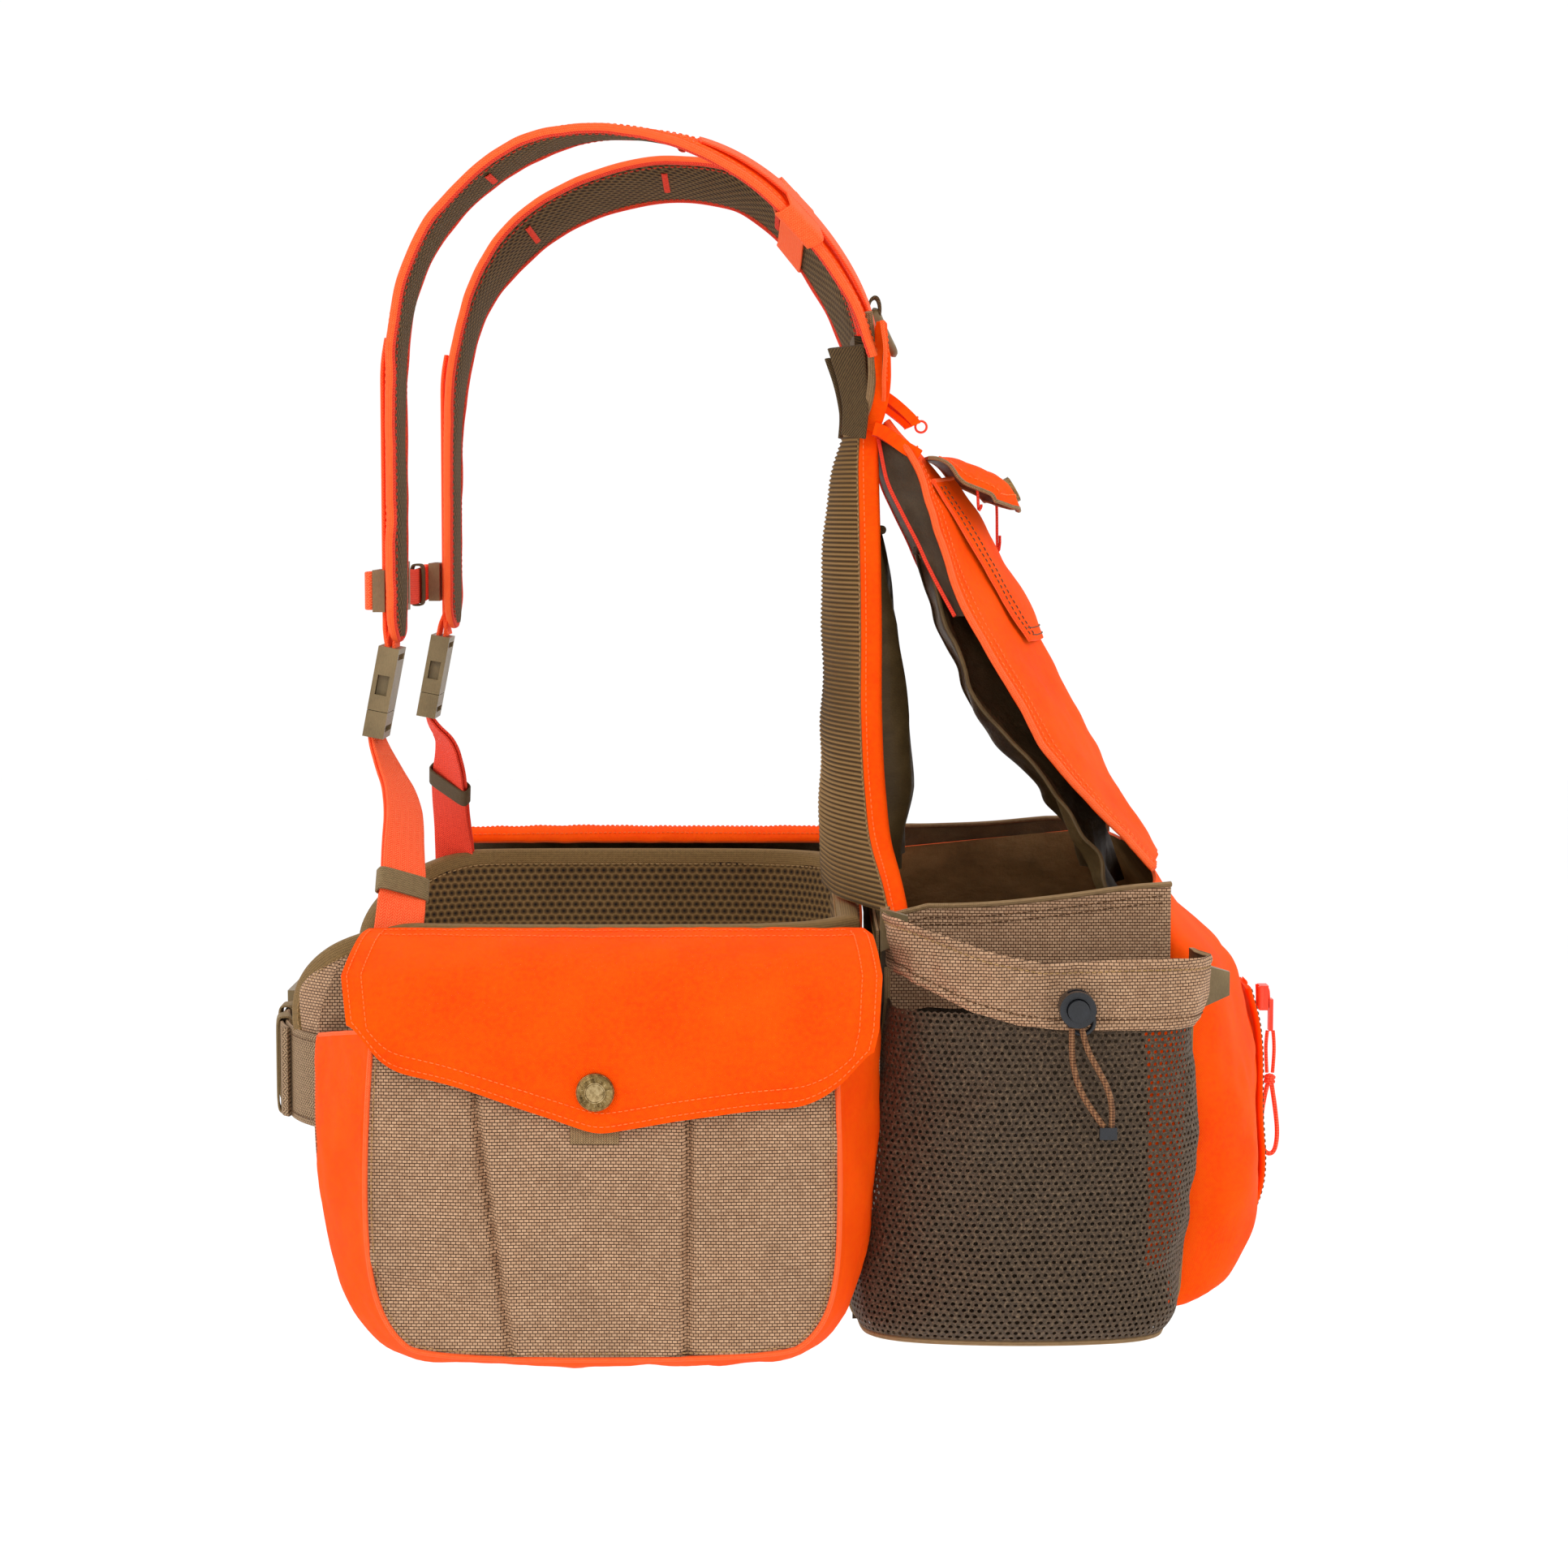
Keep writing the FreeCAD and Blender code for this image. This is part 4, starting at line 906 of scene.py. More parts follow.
def pouch(side, tag):
    seed = 50 if side > 0 else 60
    wv, wf = Waves(seed, 26, 110), Waves(seed + 1, 9, 34)
    # gusset: between the back outline and the front one, sagging a little
    A = resample(chaikin(np.array(po, float), 3), 150)
    # match by the same share of the chaikin line so corners keep facing each other
    a3, b3 = chaikin(np.array(po, float), 3), chaikin(np.array(pm, float), 3)
    t = np.linspace(0, 1, len(a3))
    tt = np.interp(np.linspace(0, 1, 150), arc(b3) / arc(b3)[-1], t)
    A = np.stack([np.interp(tt, t, a3[:, k]) for k in range(2)], 1)
    Bq = np.stack([np.interp(tt, t, b3[:, k]) for k in range(2)], 1)
    # at the front the gusset stops below the flap, with a turned top
    ia, ib = int(np.argmax(A[:, 1] < .5)), int(np.argmax(Bq[:, 1] < 9.0))
    if A[ia, 0] < 0 and Bq[ib, 0] < 0:
        A, Bq = resample(A[ia:], 150), resample(Bq[ib:], 150)
    nv = 22
    v = np.linspace(0, 1, nv)
    x = 193.5 + (252.2 - 193.5) * v
    YZ = A[:, None] * (1 - v)[None, :, None] + Bq[:, None] * v[None, :, None]
    G = np.concatenate([np.broadcast_to(x[None, :, None], (150, nv, 1)), YZ], -1)
    T = unit(np.gradient(G, axis=0))
    out = unit(np.stack([np.zeros(T.shape[:2]), T[..., 2], -T[..., 1]], -1))
    if np.dot(out[75, 3], (0, 0, -1)) < 0:
        out = -out
    hump = np.sin(np.pi * v ** .8)[None]
    side_w = np.interp(np.linspace(0, 1, 150), [0, .12, .3, .7, .88, 1], [.35, 1, .9, .9, 1, .35])[:, None]
    low = np.clip(-out[..., 2], 0, 1)
    G = G + out * (hump * (4.2 + 3.6 * low) * side_w + hump * .9 * wv(G) + .25 * wf(G))[..., None]
    # a seam roll where the gusset meets the front panel
    G = G + out * (1.2 * np.exp(-((v - .97) / .035) ** 2))[None, :, None]
    P = Parts()
    sheet(P, G, 1.6, M_OR, M_NY, M_OR_EDGE, N=out)
    rope(P, G[0, 1:-1] - out[0, 1:-1] * .8, 1.3, M_OR_EDGE, up=(0, 1, 0), n=8)
    # back panel, against the belt
    lf, rf = edge_fn(po, -160)
    nz, ny = 40, 30
    z = np.linspace(35, -159, nz)
    s = np.linspace(0, 1, ny)
    Yb = lf(z)[:, None] * (1 - s) + rf(z)[:, None] * s
    Bp = np.stack([np.full_like(Yb, 195.0), Yb, np.broadcast_to(z[:, None], Yb.shape)], -1)
    sheet(P, Bp, 1.4, M_TAN, M_TAN, M_BIND, N=np.broadcast_to(np.array([1.0, 0, 0]), Bp.shape), uv=np.stack([Bp[..., 1], Bp[..., 2]], -1))
    g_ob = P.build("pouch_gusset_" + tag, "root", side)
    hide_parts("pouch_body_" + tag)
    # front panel with two pleats
    lf, rf = edge_fn([(a_, b_) for a_, b_ in pm], -153)
    nz, ny = 98, 150
    z = np.concatenate([np.linspace(10, -120, 62), np.linspace(-121.5, -154.6, 36)])
    s = np.linspace(0, 1, ny)
    Y = lf(z)[:, None] * (1 - s) + rf(z)[:, None] * s
    Z = np.broadcast_to(z[:, None], Y.shape).copy()
    u = (Y - 22) / 116
    w = (Z + 72) / 84
    crown = 4.6 * np.clip(1 - np.abs(u) ** 3.2, 0, 1) * np.clip(1 - np.abs(w) ** 3.4, 0, 1)
    # fold lines of the pleats, top to bottom, leaning inwards
    f1 = np.interp(Z, [-151, -26], [-20, -36.5])
    f2 = np.interp(Z, [-151, -33], [61.4, 62.8])
    depth = np.interp(Z, [-151, -110, -50, -28, 10], [2.4, 3.5, 4.2, 3.3, 3.4])

    def pleat(d, sgn):
        # a flat fold: cloth climbs slowly, then drops under the fold edge
        d = d * sgn
        return np.where(d < 0, np.exp(d / 16.0), np.exp(-d / 1.7)) - 1.85 * np.exp(-((d - 2.7) / 2.1) ** 2)
    relief = depth * (.62 * pleat(Y - f1, -1) + .62 * pleat(Y - f2, 1))
    F3 = np.stack([np.full_like(Y, 252.0), Y, Z], -1)
    puck = 1.3 * np.exp(-((Z + 118 + .28 * (Y + 40)) / 7) ** 2) * step(-Y, 20, 60) \
        - 1.5 * np.exp(-((Z + 128 + .26 * (Y + 40)) / 6) ** 2) * step(-Y, 15, 60) \
        + 1.1 * np.exp(-((Z + 22 + .55 * (Y - 95)) / 9) ** 2) * step(Y, 66, 90) \
        - .9 * np.exp(-((Z + 40 + .55 * (Y - 95)) / 8) ** 2) * step(Y, 66, 90)
    F3[..., 0] += crown + relief + puck + .55 * wv(F3) * np.clip(crown / 3, 0, 1) + .10 * wf(F3)
    F3[..., 0] = np.maximum(F3[..., 0], 250.8)
    P = Parts()
    uvp = np.stack([Y + .25 * relief, Z], -1)
    sheet(P, F3, 1.5, M_TAN, M_NY, M_BIND, uv=uvp, N=np.broadcast_to(np.array([1.0, 0, 0]), F3.shape))
    f_ob = P.build("pouch_panel_" + tag, "root", side)
    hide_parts("pouch_front_" + tag)
    # seam where panel and gusset are turned together: a narrow roll with its stitches
    P = Parts()
    b4 = resample(chaikin(np.array(pm, float), 3), 220)
    roll = np.c_[np.full(len(b4), 252.6), b4]
    rope(P, roll, 1.35, M_OR_EDGE, up=(1, 0, 0), n=8)
    inner = roll.copy()
    c0 = np.array([0, 22, -60.0])
    stitch(P, roll + unit(c0 - roll * (0, 1, 1)) * (0, 3.2, 3.2) + (.4, 0, 0), (1, 0, 0), M_TH_TAN, pitch=3.2)
    P.build("pouch_seam_" + tag, "root", side)


def flap_edge(y):
    # height along the flap's section where the lower edge runs
    return np.interp(y, [-108, -97, -90, -60, 17, 60, 100, 128, 144, 155, 160], [20, 1, -9.5, -16.5, -41, -34, -29, -27, -20, -8, 6])


def flap(side, tag):
    seed = 70 if side > 0 else 80
    wv, wf = Waves(seed, 30, 120), Waves(seed + 1, 8, 26)
    head = [(192.8, 52.4), (203, 50.8), (214, 47.9), (226, 42.6), (239, 34.6)] if side > 0 else \
        [(192.8, 56.5), (198, 62.5), (206, 65), (217, 61.5), (229, 52), (240, 38.6)]
    mid = np.array(head + [(248.5, 25), (255.4, 14), (257.6, 4),
                    (257.9, -8), (258, -20), (258, -41.2)])
    sec = curve(mid, 90, 3)
    d = arc(sec)
    # for each column: from the hem at the belt down to this column's lower edge
    ny, nr = 190, 64
    s = np.linspace(0, 1, ny)
    ylo, yhi = -106.5, 160.5
    Yc = ylo + (yhi - ylo) * s
    zend = flap_edge(Yc)
    # smooth the corner polyline
    for _ in range(6):
        zend = np.convolve(np.pad(zend, 2, mode="edge"), np.ones(5) / 5, mode="valid")
    k_top = int(np.argmax(sec[:, 1]))
    dz = np.array([np.interp(-ze, -sec[k_top:, 1], d[k_top:]) for ze in zend])
    t = np.linspace(0, 1, nr)
    D = dz[:, None] * t[None]
    # the two sides draw in: the top is narrower and the corners are round
    left_in = np.interp(D, [0, 12, 50, 95, 110], [9, 6, 0.5, 8, 15])
    right_in = np.interp(D, [0, 12, 50, 80, 110], [9, 4, 0, 2, 9])
    c = (s[:, None])
    Y = (ylo + left_in) * (1 - c) + (yhi - right_in) * c
    Xs = np.interp(D, d, sec[:, 0])
    Zs = np.interp(D, d, sec[:, 1])
    S = np.stack([Xs, Y, Zs], -1)
    N = grid_normals(S)
    if np.dot(N[ny // 2, nr // 2], (1, 0, .3)) < 0:
        N = -N
    fall = step(D, 8, 40)
    edge_lift = 1.6 * np.exp(-(dz[:, None] - D) / 14.0) * np.abs(np.sin(Yc[:, None] / 19 + .6)) * .55
    crown = 2.0 * np.sin(np.pi * np.clip(c, 0, 1)) * fall
    dent = -1.4 * np.exp(-((Y - 20) ** 2 + (Zs + 20) ** 2) / 150.0)
    S = S + N * (crown + fall * .75 * wv(S) + .12 * wf(S) + edge_lift + dent)[..., None]
    S[..., 0] = np.maximum(S[..., 0], 194.2)
    # where the cap is pressed on, the cloth stays under it
    near = np.exp(-(((Y - 20) / 13) ** 2 + ((Zs + 20) / 13) ** 2) ** 2)
    S[..., 0] = S[..., 0] * (1 - near) + 257.7 * near
    uv = np.stack([Y, D], -1)
    P = Parts()
    sheet(P, S, 1.7, M_OR, M_NY, M_OR_EDGE, uv=uv, N=N)
    ob = P.build("pouch_flap_cloth_" + tag, "pouch_flap_" + tag, side)
    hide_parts("pouch_flap_" + tag)
    P = Parts()
    # topstitching 3 mm inside the sides and the lower edge, and a second row
    for off in (3.0, 9.5):
        k1 = np.argmin(np.abs(s * (yhi - ylo) - off))
        rows = [(k1, j) for j in range(4, nr)]
        line = [S[k1, j] for j in range(4, nr) if dz[k1] - D[k1, j] > off]
        nrm = [N[k1, j] for j in range(4, nr) if dz[k1] - D[k1, j] > off]
        for i in range(k1, ny - k1):
            j = np.interp(dz[i] - off, D[i], np.arange(nr))
            j0 = int(j)
            f = j - j0
            j1 = min(j0 + 1, nr - 1)
            line.append(S[i, j0] * (1 - f) + S[i, j1] * f)
            nrm.append(N[i, j0])
        k2 = ny - 1 - k1
        for j in range(nr - 1, 3, -1):
            if dz[k2] - D[k2, j] > off:
                line.append(S[k2, j])
                nrm.append(N[k2, j])
        line, nrm = np.array(line), np.array(nrm)
        m = 400
        L = arc(line)
        q = np.stack([np.interp(np.linspace(0, L[-1], m), L, line[:, k]) for k in range(3)], 1)
        qn = unit(np.stack([np.interp(np.linspace(0, L[-1], m), L, nrm[:, k]) for k in range(3)], 1))
        stitch(P, q, qn, M_TH_OR, pitch=3.0, length=2.2, r=.34)
    # two rows across the top where the flap is sewn to the belt
    for j in (3, 8):
        stitch(P, S[6:-6, j], N[6:-6, j], M_TH_OR, pitch=3.0, length=2.2, r=.34)
    P.build("pouch_flap_stitching_" + tag, "pouch_flap_" + tag, side)
    # tab of webbing under the point, to pull the snap open
    P = Parts()
    path = curve(np.array([(256.2, 19.5, -30), (256.3, 19.5, -38), (257.2, 19.5, -43), (257.0, 19.5, -46.5), (255.7, 19.5, -44.5), (255.4, 19.5, -36)]), 26, 2)
    W, Nn = frames(path, (1, 0, .2))
    extrude(P, path, (0, 1, 0), np.cross(unit(np.gradient(path, axis=0)), (0, 1, 0)), flat_sec(24, 1.0, 8), M_TAN_BIND)
    P.build("pouch_flap_tab_" + tag, "pouch_flap_" + tag, side)
    # ring and centre of the snap, worn bright on its high parts; no lettering
    P = Parts()
    cy, cz, x0 = 20.0, -20.0, 262.0
    tt = np.linspace(0, 2 * math.pi, 48, endpoint=False)
    for rr, rad, xo, mat in ((8.2, .8, -1.2, M_BRASS), (4.9, .34, .15, M_BRASS_L)):
        ring = np.stack([np.full(48, x0 + xo), cy + rr * np.cos(tt), cz + rr * np.sin(tt)], 1)
        rope(P, ring, rad, mat, up=(1, 0, 0), closed=True)
    nr_, na_ = 9, 40
    rr = np.linspace(0, 4.4, nr_)
    dome = np.array([[(x0 + .25 + .55 * math.cos(r_ / 4.4 * math.pi / 2), cy + r_ * math.cos(a_), cz + r_ * math.sin(a_))
                      for a_ in np.linspace(0, 2 * math.pi, na_)] for r_ in np.maximum(rr, .02)])
    sheet(P, dome[:, ::-1], 0.5, M_BRASS_L, N=np.broadcast_to(np.array([1.0, 0, 0]), dome.shape))
    # raised ticks round the rim
    for k in range(28):
        a_ = k / 28 * 2 * math.pi
        c_ = np.array([x0 + .05, cy + 6.4 * math.cos(a_), cz + 6.4 * math.sin(a_)])
        d_ = np.array([0, math.cos(a_), math.sin(a_)])
        p_ = np.array([c_ - d_ * .7, c_ - d_ * .25, c_ + d_ * .25, c_ + d_ * .7])
        rope(P, p_, .24, M_BRASS_L if k % 2 else M_BRASS, up=(1, 0, 0), n=5)
    P.build("snap_detail_" + tag, "pouch_flap_" + tag, side)


for s_, sg in (("left", 1), ("right", -1)):
    pouch(sg, s_)
    flap(sg, s_)


# ------------------------------------------------------------------ shoulder straps
left_outer = [(-97, 196, 100), (-97, 250, 100), (-97, 330, 100), (-92, 370, 100), (-79, 403, 100),
              (-55, 431, 101), (-25, 452, 102), (0, 461, 103), (25, 464.5, 103), (56, 462, 102), (83, 453, 98),
              (107, 438, 91), (128, 418, 82), (145, 396, 74), (157, 374, 66), (163.5, 352, 60)]
right_outer = [(-89, 196, -100), (-89, 250, -100), (-88, 330, -100), (-80, 366, -100), (-67, 395, -100),
               (-47, 420, -101), (-20, 441, -102), (12, 454, -103), (42, 459.5, -103), (70, 458, -102), (96, 450, -98),
               (120, 430, -90), (138, 402, -80), (150, 376, -69), (157, 352, -60)]


TILT = {  # station along the strap (0 front end, 1 back end): lean in degrees, and how far the line moves out
    "left": ([0, .25, .34, .46, .54, .62, .72, .86, 1], [0, 0, 1, 3, 3, -3, -9, -9, -4], [-1.6, -1.6, -.2, 1.0, .6, -1.8, -3.8, -4.0, -2]),
    "right": ([0, .22, .30, .36, .45, .6, .72, .86, 1], [0, 1, 3, 5, 14, 17, 17, 15, 9], [-3.4, -3.4, -3.6, -2.4, -1.2, -1.8, -2.0, -1.5, 0])}


def strap_frame(outer, n, tag):
    p = np.array([(x, y, z) for y, z, x in outer], float)
    p = curve(p, n, 3)
    T = unit(np.gradient(p, axis=0))
    # out of the loop, square to the path, with the width lying near X
    W = np.broadcast_to(np.array([1.0, 0, 0]), T.shape)
    W = unit(W - T * (W * T).sum(1, keepdims=True))
    N = unit(np.cross(T, W))
    if np.dot(N[n // 2], (0, 0, 1)) < 0:
        N = -N
    # the padding leans so that its inner face turns a little towards the left
    u_ = np.linspace(0, 1, n)
    st_, ln_, mv_ = TILT[tag]
    th = np.radians(smooth1(st_, ln_)(u_))[:, None]
    p = p + N * smooth1(st_, mv_)(u_)[:, None]
    W, N = W * np.cos(th) + N * np.sin(th), N * np.cos(th) - W * np.sin(th)
    return p, T, W, N


def shoulder_strap(outer, tag, seed):
    n = 300
    p, T, W, N = strap_frame(outer, n, tag)
    s = arc(p)
    L = s[-1]
    wv = Waves(seed, 30, 110)
    # the front end is rounded, the back end narrows into the yoke
    wide = np.interp(s, [0, 3, 8, 16, 30, L - 60, L], [.42, .66, .84, .96, 1.0, 1.0, .92])
    P = Parts()
    k = 21
    q = np.linspace(-1, 1, k)
    half = 28.4 * wide
    # outer face: smooth cloth with a shallow crown
    O = p[:, None] + W[:, None] * (q[None, :, None] * half[:, None, None])
    co = .55 * (1 - q ** 4)[None] + .25 * wv(O) * (1 - q ** 4)[None] - .35
    Of = O + N[:, None] * co[..., None]
    If = O - N[:, None] * (4.2 + 2.0 * (1 - np.abs(q) ** 3.5)[None] + .3 * wv(O + 90) * (1 - q ** 4)[None])[..., None]
    uvs = np.stack(np.broadcast_arrays(s[:, None], q[None] * half[:, None]), -1)
    a, b = P.raw(Of), P.raw(If)
    idx = np.arange(n * k).reshape(n, k)
    flip = np.dot(np.cross(T[n // 2], W[n // 2]), N[n // 2]) < 0
    P.quads(idx + a, uvs, M_OR, flip=flip)
    P.quads(idx + b, uvs, M_CHAIN, flip=not flip)
    for col, fl in ((0, True), (k - 1, False)):
        P.quads(np.stack([idx[:, col] + a, idx[:, col] + b]), np.stack([uvs[:, col], uvs[:, col] + (0, 3)]), M_OR, flip=fl != flip)
    for row, fl in ((0, False), (n - 1, True)):
        P.quads(np.stack([idx[row] + a, idx[row] + b]), np.stack([uvs[row], uvs[row] + (3, 0)]), M_OR, flip=fl != flip)
    ob = P.build("shoulder_strap_pad_" + tag, "root")
    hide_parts("shoulder_strap_" + tag)
    # rolled edges, one run down one side, round the front end and back up
    up_side = p[::-1] + W[::-1] * (half[::-1, None])
    dn_side = p - W * half[:, None]
    mid_end = p[0] - T[0] * 1.5
    rollc = np.vstack([up_side, [mid_end + W[0] * 6, mid_end - W[0] * 6], dn_side])
    nn = np.vstack([N[::-1], [N[0], N[0]], N])
    ww = np.vstack([W[::-1], [W[0], -W[0]], -W])
    m = 640
    Lr = arc(rollc)
    tq = np.linspace(0, Lr[-1], m)
    R = np.stack([np.interp(tq, Lr, rollc[:, c]) for c in range(3)], 1)
    RN = unit(np.stack([np.interp(tq, Lr, nn[:, c]) for c in range(3)], 1))
    Tr = unit(np.gradient(R, axis=0))
    RW = unit(np.cross(Tr, RN))
    wob = Waves(seed + 5, 14, 60)
    cen = R - RN * 2.7
    cen = cen + RN * (.22 * wob(cen))[:, None]
    B = Parts()
    ang = np.linspace(0, 2 * math.pi, 14, endpoint=False)[::-1]
    sec = np.stack([2.3 * np.cos(ang), 2.9 * np.sin(ang) * (1 + .08 * np.cos(2 * ang))], 1)
    slim = np.interp(tq / Lr[-1], [0, .47, .53, 1], [1, 1, .72, .72])
    cen = cen - RN * (.9 * (1 - slim) / .28)[:, None]
    mid_ = .5 * (sec[:, 1] + np.roll(sec, -1, 0)[:, 1])
    # the inner half of the roll takes the shaded webbing: painted shade on its underside
    extrude(B, cen, RW, RN, sec, [M_SHADED_OR_WEB if y_ < -1.1 else M_OR_EDGE for y_ in mid_], scale=slim[:, None])
    # stitching beside the roll on both faces
    c_in = -RW if np.dot(RW[m // 4], p[int(n * .5)] - R[m // 4]) < 0 else RW
    inn = unit(np.cross(RN, Tr))
    to_mid = unit(np.stack([np.interp(tq, Lr, (-ww)[:, c]) for c in range(3)], 1))
    stitch(B, R + to_mid * 4.6 + RN * (-.15), RN, M_TH_OR, pitch=3.4)
    # the inner row uses the shaded thread: painted shade
    stitch(B, R + to_mid * 4.0 - RN * 5.0, -RN, M_TH_OR_SHADED, pitch=3.4)
    B.build("shoulder_strap_edge_" + tag, "root")
    return p, T, W, N, s


STR = {}
for tag, outer, seed in (("left", left_outer, 100), ("right", right_outer, 110)):
    STR[tag] = shoulder_strap(outer, tag, seed)
    p, T, W, N, s = STR[tag]
    L = s[-1]

    def at(d):
        i = int(np.clip(np.searchsorted(s, d), 1, len(s) - 2))
        return p[i], T[i], W[i], N[i]

    # bartacks across the padding, where the foam is caught down
    P = Parts()
    for ya in ((-44, 60, 112) if tag == "left" else (-38, 43, 113)):
        up_half = np.where(p[:, 2] > 395)[0]
        d = s[up_half[np.argmin(np.abs(p[up_half, 1] - ya))]]
        c, t_, w_, n_ = at(d)
        # the bartack on the inner face is in the shaded thread: painted shade
        bartack(P, c - n_ * 6.5 + w_ * 4, w_, -n_, M_TH_OR_SHADED, length=26, width=3.4, r=.5)
        bartack(P, c + n_ * .3, w_, n_, M_TH_OR, length=12, width=2.0)
    P.build("strap_bartacks_" + tag, "root")

    # rail of webbing on the front, with two bartacks near its upper end
    P = Parts()
    yo = RLY = (-98.2 if tag == "left" else -87.4)
    sx = 1 if tag == "left" else -1
    face = (-97 if tag == "left" else -89)
    zz = np.linspace(200, 330, 70)
    path = np.stack([np.full(70, 100.0 * sx), np.full(70, yo), zz], 1)
    ext = [(100.0 * sx, yo + .1, 334), (100.0 * sx, yo + .4, 339), (100.0 * sx, yo + 1.0, 344), (100.0 * sx, yo + 2.4, 352)]
    bot = [(100.0 * sx, yo + 1.6, 189), (100.0 * sx, yo + .6, 194)]
    path = np.vstack([bot, path, ext])
    path = resample(path, 110)
    webbing(P, path, (0, -1, 0), 25, 1.9, M_OR_WEB, wdir=np.array([1.0, 0, 0]))
    for zt in (348, 343):
        bartack(P, (100.0 * sx, yo + (1.4 if zt < 345 else 2.1), zt), (1, 0, 0), (0, -1, 0), M_TH_OR, length=22, width=2.2)
    ob = P.build("strap_rail_webbing_" + tag, "root")
    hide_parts("strap_rails")
    # elastic keeper high on the back of the strap, and a webbing sleeve over the shoulder
    P = Parts()
    c, t_, w_, n_ = at(s[np.argmin(((p[:, 1:] - (122, 424)) ** 2).sum(1))])
    loop_ = []
    for a_ in np.linspace(0, 2 * math.pi, 64, endpoint=False):
        ca_, sa_ = math.cos(a_), math.sin(a_)
        x_ = 31.8 * np.sign(ca_) * abs(ca_) ** .28
        y_ = 5.2 * np.sign(sa_) * abs(sa_) ** .45
        loop_.append(c + w_ * x_ + n_ * (y_ - 2.2) + t_ * 1.0 * math.sin(3 * a_))
    loop_ = np.array(loop_)
    Tl = unit(np.roll(loop_, -1, 0) - np.roll(loop_, 1, 0))
    Wl = np.broadcast_to(t_, Tl.shape)
    Nl = unit(np.cross(Tl, Wl))
    extrude(P, loop_, Wl, Nl, flat_sec(26 if tag == "left" else 22, 1.3, 6), M_OR_EDGE, closed=True)
    P.build("strap_keeper_" + tag, "root")
    # webbing that carries the upper part of the harness along the outer face at the back
    P = Parts()
    i0, i1 = int(np.searchsorted(s, L - 150)), int(np.searchsorted(s, L - 8))
    pts = p[i0:i1] + N[i0:i1] * (1.3 + (2.0 if tag == "left" else 4.6) * np.sin(np.linspace(0, math.pi, i1 - i0)) ** .8)[:, None]
    webbing(P, resample(pts, 90), np.stack([np.interp(np.linspace(0, 1, 90), np.linspace(0, 1, i1 - i0), N[i0:i1, c_]) for c_ in range(3)], 1),
            25, 1.7, M_OR_WEB, wdir=np.stack([np.interp(np.linspace(0, 1, 90), np.linspace(0, 1, i1 - i0), W[i0:i1, c_]) for c_ in range(3)], 1))
    P.build("strap_load_webbing_" + tag, "root")

# webbing loops that hold the buckle sockets to the strap ends
for tag, sx, yf, by, bz_ in (("left", 1, -97, -95.8, 188.9), ("right", -1, -89, -89.3, 186.9)):
    P = Parts()
    x0 = 99.0 * sx
    # round the bar, then both plies up inside the strap's end
    a_ = np.radians(np.linspace(-40, 220, 14))
    wrap = np.stack([np.full(14, x0), by - 2.5 * np.cos(a_), bz_ - 2.5 * np.sin(a_)], 1)
    up1 = np.array([(x0, yf + 4.4, 216), (x0, yf + 3.6, 206), (x0, by - 2.0 + 1.2, bz_ + 8)])
    up2 = np.array([(x0, by + 2.9, bz_ + 7), (x0, yf + 5.4, 206), (x0, yf + 6.0, 216)])
    pth = resample(np.vstack([up1, wrap, up2]), 90)
    pth = curve(pth[::4], 90, 2)
    W_ = np.broadcast_to(np.array([1.0, 0, 0]), pth.shape)
    Tn = unit(np.gradient(pth, axis=0))
    extrude(P, pth, W_, np.cross(Tn, W_), flat_sec(24, 1.5, 7), M_OR_WEB)
    P.build("buckle_loop_" + tag, "root")

